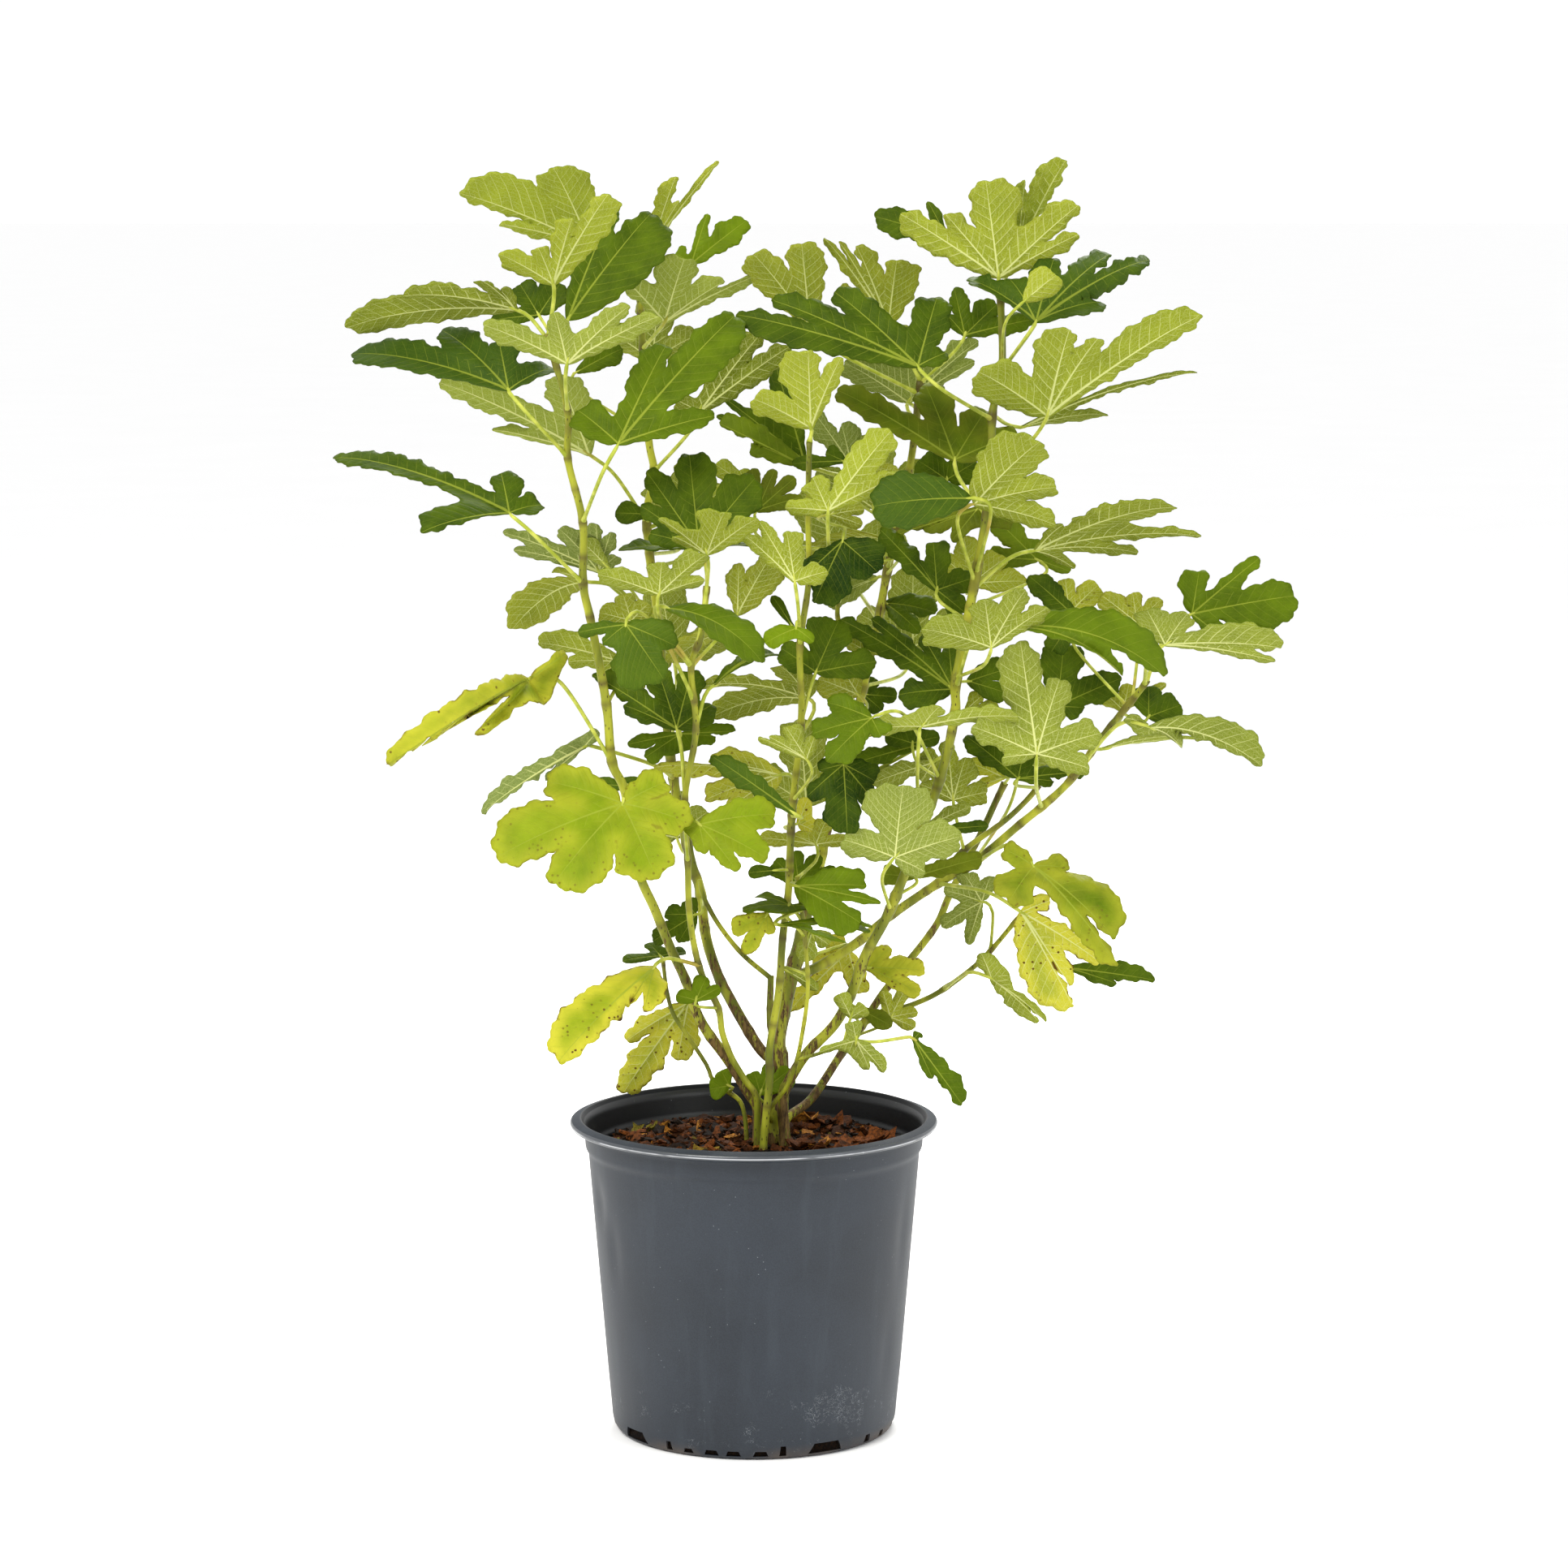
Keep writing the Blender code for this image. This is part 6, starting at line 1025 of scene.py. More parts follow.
def inside(points, polygon):
    """True for each point inside a closed flat polygon."""
    x, y = points[:, 0], points[:, 1]
    hit = np.zeros(len(points), bool)
    before = polygon[-1]
    for now in polygon:
        crosses = (now[1] > y) != (before[1] > y)
        if now[1] != before[1]:
            at = (before[0] - now[0]) * (y - now[1]) / (before[1] - now[1]) + now[0]
            hit ^= crosses & (x < at)
        before = now
    return hit


def to_segments(points, starts, ends):
    """Least distance from each point to a set of segments."""
    if not len(starts):
        return np.full(len(points), 1.0)
    best = np.full(len(points), 1.0)
    for a, b in zip(starts, ends):
        along = b - a
        size = max(1e-12, float(along @ along))
        t = np.clip(((points - a) @ along) / size, 0, 1)
        best = np.minimum(best, np.linalg.norm(points - (a + t[:, None] * along), axis=1))
    return best


def spacing_of(lobe):
    """How far apart the side veins leave the midrib of a lobe."""
    return max(0.0048, min(0.0092, 0.105 * lobe["length"]))


def vein_count(lobe, along, reach, right):
    """Running count of side veins at a place beside a midrib, with a vein at every half."""
    swept = along - SIDE_SLOPE * reach - SIDE_BOW * reach ** 2
    return swept / spacing_of(lobe) + 0.5 * right


def leaf_points(lobes, polygon):
    """Lines down the midribs and between the lobes, and points that follow the side veins."""
    ways = np.array([lobe["way"] for lobe in lobes])
    ribs = []
    seams = []
    loose = []
    for index, lobe in enumerate(lobes):
        way = lobe["way"]
        length = lobe["length"]
        steps = max(3, int(length / 0.003))
        ribs.append([way * length * part for part in np.linspace(0.02, 0.965, steps)])
        if index + 1 < len(lobes):
            between = way + lobes[index + 1]["way"]
            between = between / max(1e-9, np.linalg.norm(between))
            reach = SINUS * min(length, lobes[index + 1]["length"])
            line = np.array([between * reach * part for part in np.linspace(0.12, 0.86, max(2, int(reach / 0.004)))])
            seams.append(list(line[inside(line, polygon)]))
        spots = []
        for right, sign in ((0, -1), (1, 1)):
            side = np.array([way[1], -way[0]]) * sign
            for part in np.arange(0.05, 0.95, 0.003 / length):
                spots.append(way * length * part + side * (0.0016 - 0.0008 * part))
            for row in range(-12, int(2.1 * length / spacing_of(lobe)) + 2):
                start = (row / 2 - 0.5 * right) * spacing_of(lobe)
                for reach in np.arange(0.0042, 0.040, 0.0030):
                    along = start + SIDE_SLOPE * reach + SIDE_BOW * reach ** 2
                    if -0.4 * length < along < 1.02 * length:
                        spots.append(way * along + side * reach)
        spots = np.array(spots)
        loose.append(spots[np.argmax(spots @ ways.T, 1) == index])
    loose = np.concatenate(loose)
    loose = loose[inside(loose, polygon)]
    starts = [stop for line in ribs + seams for stop in line[:-1]]
    ends = [stop for line in ribs + seams for stop in line[1:]]
    clear = to_segments(loose, polygon, np.roll(polygon, -1, 0)) > 0.0013
    clear &= to_segments(loose, np.array(starts), np.array(ends)) > 0.0006
    return ribs, seams, thin_out(loose[clear], 0.0019)


def thin_out(points, gap):
    """Drops each point that stands too near to an earlier one."""
    taken = {}
    for x, y in points:
        cell = (int(x // gap), int(y // gap))
        near = (taken.get((cell[0] + i, cell[1] + j)) for i in (-1, 0, 1) for j in (-1, 0, 1))
        if not any(other and math.hypot(other[0] - x, other[1] - y) < gap for other in near):
            taken[cell] = (x, y)
    return list(taken.values())


def vein_map(lobes, flat, net):
    """At each corner of each triangle: count of side veins, distance from the midrib, share of its length."""
    ways = np.array([lobe["way"] for lobe in lobes])
    largest = max(lobe["length"] for lobe in lobes)
    centre = flat[net].mean(1)
    owner = np.argmax(centre @ ways.T, 1)
    found = np.zeros((len(net), 3, 3))
    for index, lobe in enumerate(lobes):
        rows = owner == index
        side = np.array([lobe["way"][1], -lobe["way"][0]])
        right = (centre[rows] @ side > 0)[:, None]
        spots = flat[net[rows]]
        along = spots @ lobe["way"]
        reach = np.maximum(0, (spots @ side) * np.where(right, 1, -1))
        found[rows, :, 0] = vein_count(lobe, along, reach, right)
        found[rows, :, 1] = reach
        left = 1 - np.minimum(1, along / lobe["length"])
        found[rows, :, 2] = 1 - left * math.sqrt(lobe["length"] / largest)
    return found


def leaf_height(lobes, arch, flat, to_edge, to_seam):
    """How far each flat point stands off the plane of the leaf, and its share of the way to a tip."""
    ways = np.array([lobe["way"] for lobe in lobes])
    mine = np.argmax(flat @ ways.T, 1)
    height = np.zeros(len(flat))
    total = np.zeros(len(flat))
    taper = np.zeros(len(flat))
    quilt = np.zeros(len(flat))
    for index, lobe in enumerate(lobes):
        way = lobe["way"]
        span = lobe["length"]
        along = flat @ way
        off = flat @ np.array([way[1], -way[0]])
        part = np.clip(along / span, 0, 1.05)
        half = np.where(off > 0, lobe["half"][1], lobe["half"][0])
        dist = np.hypot(off, np.maximum(0, -along)) / max(0.004, max(lobe["half"]))
        weight = 1 / (0.12 + dist) ** 3
        own = lobe["rise"] * part + arch * span * 4 * part * (1 - part)
        own += 0.14 * np.minimum(np.abs(off), half * 1.3)
        own += 0.0012 * np.sin(along / 0.011 + index * 2.1) * np.clip(np.abs(off) / half, 0, 1.3) ** 2
        own -= 0.05 * span * np.clip(part - 0.75, 0, 1) ** 2 * 4
        height += own * weight
        total += weight
        taper += part * weight
        swell = np.cos(math.tau * vein_count(lobe, along, np.abs(off), off > 0))
        fade = np.clip(np.abs(off) / 0.004, 0, 1) * np.clip(to_edge / 0.005, 0, 1) * np.clip(to_seam / 0.004, 0, 1)
        quilt += np.where(mine == index, QUILT * min(1, span / 0.05) * swell * fade, 0)
    return height / total + quilt, taper / total


def fine_leaf(row, shift, rng):
    """Flat net of one leaf raised to its form: points, triangles and maps of veins and margin."""
    base, across, middle, up, lobes, arch = lobes_of(row, shift)
    polygon = leaf_outline(lobes, rng)
    ribs, seams, loose = leaf_points(lobes, polygon)
    coords = [tuple(point) for point in polygon] + loose
    edges = []
    for stops in ribs + seams:
        first = len(coords)
        coords += [tuple(point) for point in stops]
        edges += [(first + index, first + index + 1) for index in range(len(stops) - 1)]
    vectors = [Vector(point) for point in coords]
    flat, _, triangles, _, _, _ = delaunay_2d_cdt(vectors, edges, [list(range(len(polygon)))], 1, 1e-7)
    flat = np.array([tuple(point) for point in flat])
    net = np.array([(face[0], face[i], face[i + 1]) for face in triangles for i in range(1, len(face) - 1)])
    distances = []
    for lines in (ribs, seams):
        starts = np.array([stop for line in lines for stop in line[:-1]])
        ends = np.array([stop for line in lines for stop in line[1:]])
        distances.append(to_segments(flat, starts, ends))
    to_edge = to_segments(flat, polygon, np.roll(polygon, -1, 0))
    height, taper = leaf_height(lobes, arch, flat, to_edge, distances[1])
    sheet = np.array(base) + flat[:, :1] * np.array(across) + flat[:, 1:] * np.array(middle)
    sheet += height[:, None] * np.array(up)
    cross = np.cross(sheet[net[:, 1]] - sheet[net[:, 0]], sheet[net[:, 2]] - sheet[net[:, 0]])
    flip = (cross @ np.array(up)) < 0
    net[flip] = net[flip][:, ::-1]
    largest = max(lobe["length"] for lobe in lobes)
    return sheet, net, vein_map(lobes, flat, net), distances[0], to_edge, taper, largest


def make_material(name):
    made = bpy.data.materials.new(name)
    made.use_nodes = True
    tree = made.node_tree
    return made, tree, tree.nodes["Principled BSDF"], tree.nodes["Material Output"]


def feed(slot, value):
    """Links a term or a socket to a shader input, or sets the input to a plain value."""
    if isinstance(value, Term):
        value = value.socket
    if isinstance(value, bpy.types.NodeSocket):
        slot.id_data.links.new(value, slot)
    elif isinstance(value, tuple) and slot.type == "RGBA":
        slot.default_value = (*value, 1)
    else:
        slot.default_value = value


class Term:
    """A number that shader nodes work out, added and multiplied like any other."""

    def __init__(self, socket):
        self.socket = socket

    def work(self, operation, first, second=0.0, clamp=False):
        made = self.socket.id_data.nodes.new("ShaderNodeMath")
        made.operation = operation
        made.use_clamp = clamp
        feed(made.inputs[0], first)
        feed(made.inputs[1], second)
        return Term(made.outputs[0])

    def __add__(self, other):
        return self.work("ADD", self, other)

    def __mul__(self, other):
        return self.work("MULTIPLY", self, other)

    def __sub__(self, other):
        return self.work("SUBTRACT", self, other)

    def __rsub__(self, other):
        return self.work("SUBTRACT", other, self)

    def __truediv__(self, other):
        return self.work("DIVIDE", self, other)

    __radd__ = __add__
    __rmul__ = __mul__

    def least(self, other):
        return self.work("MINIMUM", self, other)

    def most(self, other):
        return self.work("MAXIMUM", self, other)

    def size(self):
        return self.work("ABSOLUTE", self)

    def fract(self):
        return self.work("FRACT", self)

    def held(self):
        return self.work("ADD", self, 0.0, True)

    def rise(self, low, high):
        """0 below low and 1 above high, with a soft step between."""
        made = self.socket.id_data.nodes.new("ShaderNodeMapRange")
        made.interpolation_type = "SMOOTHSTEP"
        for slot, value in zip(made.inputs, (self, low, high)):
            feed(slot, value)
        return Term(made.outputs[0])

    def fall(self, low, high):
        return 1 - self.rise(low, high)


def node(tree, kind, values=None, **settings):
    """A node with its settings and input values."""
    made = tree.nodes.new(kind if "Node" in kind else "ShaderNode" + kind)
    for key, value in settings.items():
        setattr(made, key, value)
    for key, value in (values or {}).items():
        feed(made.inputs[key], value)
    return made


def mix(tree, factor, first, second):
    """A colour between two others."""
    made = tree.nodes.new("ShaderNodeMix")
    made.data_type = "RGBA"
    for index, value in ((0, factor), (6, first), (7, second)):
        feed(made.inputs[index], value)
    return made.outputs[2]


def place_in(tree, stretch=None):
    """The place in the object's own frame, and its X, Y and Z, squeezed along Z where asked."""
    where = node(tree, "TexCoord").outputs["Object"]
    if stretch:
        where = node(tree, "Mapping", {"Vector": where, "Scale": (1.0, 1.0, stretch)}).outputs[0]
    return where


def parts_of(tree, vector):
    split = node(tree, "SeparateXYZ", {0: vector})
    return [Term(output) for output in split.outputs]


def attribute(tree, name):
    """A number kept on the mesh."""
    return Term(node(tree, "Attribute", attribute_name=name).outputs["Fac"])


def attributes(tree, name):
    return parts_of(tree, node(tree, "Attribute", attribute_name=name).outputs["Vector"])


def noise(tree, vector, scale, detail=3.0, roughness=0.5):
    made = node(tree, "TexNoise", {"Vector": vector, "Scale": scale, "Detail": detail, "Roughness": roughness})
    return Term(made.outputs["Fac"])


def cells(tree, vector, scale, feature="F1"):
    made = node(tree, "TexVoronoi", {"Vector": vector, "Scale": scale}, feature=feature)
    return Term(made.outputs["Distance"])


def bump(tree, height, strength, distance):
    made = node(tree, "Bump", {"Height": height, "Strength": strength, "Distance": distance})
    return made.outputs["Normal"]


def finish_mesh(name, mesh, material, body="root"):
    """Links a finished piece at the origin and has it ride on its body."""
    made = bpy.data.objects.new(name, mesh)
    bpy.context.scene.collection.objects.link(made)
    mesh.materials.clear()
    mesh.materials.append(material)
    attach(made, body)
    return made


def put_attribute(mesh, name, kind, values, domain="POINT"):
    layer = mesh.attributes.new(name, kind, domain)
    layer.data.foreach_set("vector" if kind == "FLOAT_VECTOR" else "value", np.asarray(values, np.float32).ravel())


def leaf_material():
    """Fig leaf: green upper side, pale felted underside, raised pale veins and a fine net."""
    made, tree, shader, output = make_material("fig_leaf")
    under = attribute(tree, "underside")
    tone, yellow, cool = attributes(tree, "leaf_look")
    edge, width, seed = attributes(tree, "leaf_map")
    count, reach, part = attributes(tree, "leaf_vein")
    where = place_in(tree)
    cloudy = noise(tree, where, 55)
    fine = noise(tree, where, 420, 3, 0.6)
    # Midribs that thin towards the tips, side veins at every half count, and rungs between them
    midrib = (reach / (width * (1.12 - part))).fall(0.5, 1.0)
    turn = (count + noise(tree, where, 50, 2) * 0.45).fract()
    from_side = (turn - 0.725).size()
    from_side = from_side.least(1 - from_side)
    side_vein = (from_side / ((0.055 + under * 0.030) * (1.25 - part))).fall(0.35, 1.0) * edge.rise(0.0004, 0.0040)
    rung = ((reach * 300 + cloudy * 5).fract() - 0.5).size().fall(0.03, 0.11)
    net = (cells(tree, where, 560, "DISTANCE_TO_EDGE").fall(0.0, 0.16) * 0.5 + rung * 0.6).held()
    # Greens of the two sides, darker for a lower listed brightness, which is partly painted shade
    shade = (tone + (cloudy - 0.5) * 0.6).held()
    upper = mix(tree, shade, (0.010, 0.032, 0.001), (0.205, 0.305, 0.005))
    upper = mix(tree, cool, upper, (0.034, 0.078, 0.010))
    below = mix(tree, shade, (0.072, 0.104, 0.004), (0.350, 0.395, 0.030))
    below = mix(tree, cool, below, (0.200, 0.262, 0.075))
    base = mix(tree, under, upper, below)
    # Yellowing starts at the margin and leaves green along the veins
    patch = noise(tree, where, 34, 4, 0.6)
    amount = ((edge.fall(0.0, 0.014) * 0.60 + patch * 1.15 - 0.34) * yellow * 1.7 * (1 - midrib * 0.5)).held()
    base = mix(tree, amount, base, (0.560, 0.530, 0.040))
    pale = mix(tree, under, (0.390, 0.440, 0.050), (0.740, 0.760, 0.300))
    base = mix(tree, net * (0.07 + under * 0.22), base, pale)
    vein = (midrib * (0.52 + under * 0.36)).most(side_vein * (0.24 + under * 0.32))
    base = mix(tree, vein, base, pale)
    # Brown specks and burnt margins on the leaves that age
    some = noise(tree, where, 30, 2).rise(0.44, 0.56) * edge.fall(0.004, 0.022)
    speck = (cells(tree, where, 190).fall(0.12, 0.24) * some * (0.08 + yellow * 1.6)).held()
    burnt = edge.fall(0.0, 0.0016) * noise(tree, where, 90, 3).rise(0.50, 0.62) * yellow * 1.3
    base = mix(tree, speck.most(burnt.held()), base, (0.120, 0.055, 0.012))
    feed(shader.inputs["Base Color"], base)
    feed(shader.inputs["Roughness"], 0.44 + under * 0.30 + fine * 0.12)
    feed(shader.inputs["Specular IOR Level"], 0.07 - under * 0.05)
    relief = fine * 0.25 - net * 0.25 + from_side.least(0.3) * 2.6 - midrib.most(side_vein * 0.7) * 0.5
    feed(shader.inputs["Normal"], bump(tree, relief * (1 - under * 2), 0.55, 0.0005))
    glow = node(tree, "BsdfTranslucent", {"Color": mix(tree, 0.06 + shade * 0.34, base, (0.430, 0.510, 0.004))})
    both = node(tree, "MixShader", {0: 0.26, 1: shader.outputs[0], 2: glow.outputs[0]})
    feed(output.inputs["Surface"], both.outputs[0])
    return made


def stalk_material():
    """Leaf stalk: smooth pale yellow-green with a faint darker mottling."""
    made, tree, shader, output = make_material("fig_stalk")
    where = place_in(tree)
    mottle = noise(tree, where, 130)
    base = mix(tree, mottle.rise(0.35, 0.7), (0.285, 0.330, 0.022), (0.480, 0.500, 0.075))
    stain = noise(tree, where, 26, 2).rise(0.60, 0.72)
    base = mix(tree, stain * 0.5, base, (0.360, 0.190, 0.040))
    feed(shader.inputs["Base Color"], base)
    feed(shader.inputs["Roughness"], 0.38 + mottle * 0.2)
    feed(shader.inputs["Specular IOR Level"], 0.25)
    feed(shader.inputs["Normal"], bump(tree, noise(tree, where, 900, 2), 0.25, 0.0002))
    return made


def bark_material():
    """Cane bark: yellow-green with dark specks, brown corky patches along it and dark rings."""
    made, tree, shader, output = make_material("fig_bark")
    brown = attribute(tree, "bark_brown")
    ring = attribute(tree, "ring")
    along = place_in(tree, 0.20)
    grain = noise(tree, along, 420, 4, 0.7)
    blotch = noise(tree, along, 190, 5, 0.7)
    green = mix(tree, noise(tree, along, 60, 3).rise(0.35, 0.65), (0.120, 0.138, 0.007), (0.370, 0.375, 0.024))
    corky = mix(tree, grain.rise(0.3, 0.7), (0.034, 0.017, 0.004), (0.200, 0.125, 0.035))
    cover = (brown * 0.60 + blotch - 0.73).rise(0.0, 0.05)
    base = mix(tree, cover, green, corky)
    pore = cells(tree, place_in(tree, 0.45), 400).fall(0.12, 0.26) * noise(tree, along, 75).rise(0.40, 0.54)
    base = mix(tree, pore * 0.85, base, (0.030, 0.014, 0.004))
    base = mix(tree, ring * 0.75, base, (0.060, 0.034, 0.010))
    feed(shader.inputs["Base Color"], base)
    feed(shader.inputs["Roughness"], 0.48 + cover * 0.2)
    feed(shader.inputs["Specular IOR Level"], 0.25)
    feed(shader.inputs["Normal"], bump(tree, grain * 0.7 + pore * 0.8 + cover * 0.5, 0.6, 0.0005))
    return made


def build_leaves(node_name, material):
    """All blades of a stem as one closed mesh, thin and split alike on both faces."""
    verts = []
    faces = []
    look = []
    maps = []
    corners = []
    under = []
    count = 0
    for row in LEAVES:
        if node_of(row[1]) != node_name:
            continue
        rng = random.Random("leaf " + row[0])
        sheet, net, veins, to_main, to_edge, taper, largest = fine_leaf(row, SHIFTS[row[0]], rng)
        cross = np.cross(sheet[net[:, 1]] - sheet[net[:, 0]], sheet[net[:, 2]] - sheet[net[:, 0]])
        normals = np.zeros_like(sheet)
        for corner in range(3):
            np.add.at(normals, net[:, corner], cross)
        normals /= np.maximum(np.linalg.norm(normals, axis=1, keepdims=True), 1e-12)
        width = 0.00035 + 0.0075 * largest
        ridge = np.clip(1 - to_main / 0.0006, 0, 1) * (1.1 - 0.8 * np.clip(taper, 0, 1)) * min(1, width / 0.0008)
        top = sheet + normals * (0.00028 - 0.00014 * ridge)[:, None]
        bottom = sheet - normals * (0.00028 + 0.00050 * ridge)[:, None]
        size = len(sheet)
        verts += [top, bottom]
        edges = {}
        for p, q, r in net:
            for edge in ((p, q), (q, r), (r, p)):
                edges[edge] = True
        wall = [(q, p, p + size, q + size) for p, q in edges if (q, p) not in edges]
        faces += [(p + count, q + count, r + count) for p, q, r in net]
        faces += [(r + count + size, q + count + size, p + count + size) for p, q, r in net]
        faces += [tuple(corner + count for corner in quad) for quad in wall]
        corners += [veins.reshape(-1, 3), veins[:, ::-1].reshape(-1, 3), np.tile((0, 0.03, 0.5), (4 * len(wall), 1))]
        tone, yellow, cool, *turned = LOOKS.get(row[0], PLAIN_LOOK)
        look += [(tone, yellow, cool)] * (2 * size)
        packed = np.stack([to_edge, np.full(size, width), np.full(size, rng.random())], 1)
        maps += [packed, packed]
        shown = 1.0 if turned else 0.0
        under += [shown] * size + [1 - shown] * size
        count += 2 * size
    mesh = bpy.data.meshes.new("leaves_" + node_name)
    mesh.from_pydata(np.concatenate(verts).tolist(), [], [tuple(int(i) for i in face) for face in faces])
    put_attribute(mesh, "leaf_look", "FLOAT_VECTOR", look)
    put_attribute(mesh, "leaf_map", "FLOAT_VECTOR", np.concatenate(maps))
    put_attribute(mesh, "leaf_vein", "FLOAT_VECTOR", np.concatenate(corners), "CORNER")
    put_attribute(mesh, "underside", "FLOAT", under)
    mesh.shade_smooth()
    made = finish_mesh("leaves_" + node_name, mesh, material)
    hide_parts(node_name)
    "fig_" + node_name
    return made


def curve_mesh(name, lines, resolution):
    """Round tubes along lines of (point, radius), as a bevelled curve made a mesh."""
    curve = bpy.data.curves.new(name, "CURVE")
    curve.dimensions = "3D"
    curve.use_fill_caps = True
    curve.bevel_depth = 1
    curve.bevel_resolution = resolution
    for line in lines:
        spline = curve.splines.new("POLY")
        spline.points.add(len(line) - 1)
        for point, (at, radius) in zip(spline.points, line):
            point.co = (*at, 1)
            point.radius = radius
    obj = bpy.data.objects.new(name, curve)
    bpy.context.scene.collection.objects.link(obj)
    bpy.context.view_layer.update()
    graph = bpy.context.evaluated_depsgraph_get()
    mesh = bpy.data.meshes.new_from_object(obj.evaluated_get(graph))
    bpy.data.objects.remove(obj, do_unlink=True)
    work = bmesh.new()
    work.from_mesh(mesh)
    bmesh.ops.remove_doubles(work, verts=work.verts, dist=0.00001)
    bmesh.ops.recalc_face_normals(work, faces=work.faces)
    work.to_mesh(mesh)
    work.free()
    mesh.shade_smooth()
    return mesh


def build_stalks(node_name, material):
    lines = []
    for row in LEAVES:
        if node_of(row[1]) != node_name:
            continue
        points, faces, middle, reach = leaf_sheet(row, SHIFTS[row[0]])
        path = petiole_path(row, points[0], middle, reach)
        radius = path[0][1]
        stops = [at for at, _ in path] + [points[0], points[0] + middle * 0.006]
        fine = smooth_line(stops, 0.004)
        line = []
        total = len(fine) - 1
        for index, at in enumerate(fine):
            share = index / total
            swell = 1 + 0.7 * math.exp(-(share / 0.06) ** 2)
            if share > 0.9:
                swell *= 1 - 0.75 * (share - 0.9) / 0.1
            line.append((Vector(at), radius * swell))
        lines.append(line)
    mesh = curve_mesh("stalks_" + node_name, lines, 2)
    made = finish_mesh("stalks_" + node_name, mesh, material)
    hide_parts(node_name)
    "fig_" + node_name
    return made


# How far brown bark covers a cane, at its foot and 20 cm above it
BROWN = {
    "M": (0.50, 0.30), "M2": (0.5, 0.4), "C": (0.66, 0.20), "A": (0.12, 0.12), "J": (0.05, 0.12),
    "B": (0.62, 0.15), "D": (0.15, 0.12), "E": (0.50, 0.12), "F": (0.35, 0.15), "G": (0.50, 0.25),
}


def build_canes(node_name, material):
    """The canes of a stem, swollen at the nodes where the leaf stalks leave them."""
    lines = []
    rings = []
    spots = []
    shares = []
    for name in CANES:
        if node_of(name) != node_name:
            continue
        stops = [np.array((*at, radius)) for at, radius in cane_path(name)]
        fine = smooth_line(stops, 0.004)
        joints = [cane_point(name, row[2]) for row in LEAVES if row[1] == name]
        rng = random.Random("cane " + name)
        extra = [Vector(fine[index][:3]) for index in range(8, len(fine), rng.randint(8, 12))]
        line = []
        for stop in fine:
            at = Vector(stop[:3])
            near = min([(at - joint).length for joint in joints] or [1])
            far = min([(at - joint).length for joint in extra] or [1])
            swell = 0.22 * math.exp(-(near / 0.004) ** 2) + 0.09 * math.exp(-(far / 0.003) ** 2)
            line.append((at, float(stop[3]) * (1 + swell)))
            spots.append(stop[:3])
            low, high = BROWN.get(name, (0.2, 0.2))
            shares.append(low + (high - low) * min(1, max(0, (stop[2] - 0.23) / 0.20)))
        lines.append(line)
        rings += joints + extra
    mesh = curve_mesh("canes_" + node_name, lines, 4)
    coords = np.empty(len(mesh.vertices) * 3)
    mesh.vertices.foreach_get("co", coords)
    coords = coords.reshape(-1, 1, 3)
    rings = np.array([tuple(spot) for spot in rings] or [(9, 9, 9)])
    near = np.linalg.norm(coords - rings, axis=2).min(1)
    put_attribute(mesh, "ring", "FLOAT", np.maximum(0, 1 - np.abs(near - 0.0035) / 0.0018))
    nearest = np.linalg.norm(coords - np.array(spots), axis=2).argmin(1)
    put_attribute(mesh, "bark_brown", "FLOAT", np.array(shares)[nearest])
    made = finish_mesh("canes_" + node_name, mesh, material)
    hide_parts(node_name)
    "fig_" + node_name
    return made


def rounded(corners, steps=5):
    """A line of (radius, height, fillet) corners with each corner turned on an arc."""
    out = []
    count = len(corners)
    for index, (r, z, fillet) in enumerate(corners):
        here = np.array([r, z])
        if index in (0, count - 1) or fillet <= 0:
            out.append(tuple(here))
            continue
        before = np.array(corners[index - 1][:2]) - here
        after = np.array(corners[index + 1][:2]) - here
        long_before = np.linalg.norm(before)
        long_after = np.linalg.norm(after)
        cut = min(fillet, 0.46 * long_before, 0.46 * long_after)
        first = here + before / long_before * cut
        last = here + after / long_after * cut
        for step in range(steps + 1):
            t = step / steps
            out.append(tuple(first * (1 - t) ** 2 + here * 2 * t * (1 - t) + last * t ** 2))
    return out


POT_FILLETS = (0, 0.004, 0.002, 0.002, 0.003, 0.0015, 0.0015, 0.0015, 0.003, 0.004, 0.003, 0.003, 0.0025,
               0.003, 0)


def turned(name, line, sides, shape=None):
    """A closed skin turned round Z from a line that starts and ends on the axis."""
    points = []
    rings = []
    for radius, height in line:
        if radius < 1e-6:
            rings.append([len(points)])
            points.append((0, 0, height))
            continue
        rings.append(range(len(points), len(points) + sides))
        for step in range(sides):
            turn = math.tau * step / sides
            wide, high = shape(radius, height, turn) if shape else (radius, height)
            points.append((wide * math.cos(turn), wide * math.sin(turn), high))
    faces = []
    for low, high in zip(rings, rings[1:]):
        for step in range(sides):
            ahead = (step + 1) % sides
            if len(low) == 1 and len(high) == 1:
                continue
            if len(low) == 1:
                faces.append((low[0], high[ahead], high[step]))
            elif len(high) == 1:
                faces.append((low[step], low[ahead], high[0]))
            else:
                faces.append((low[step], low[ahead], high[ahead], high[step]))
    mesh = bpy.data.meshes.new(name)
    mesh.from_pydata(points, [], faces)
    work = bmesh.new()
    work.from_mesh(mesh)
    bmesh.ops.recalc_face_normals(work, faces=work.faces)
    if work.calc_volume(signed=True) < 0:
        bmesh.ops.reverse_faces(work, faces=work.faces)
    work.to_mesh(mesh)
    work.free()
    return mesh


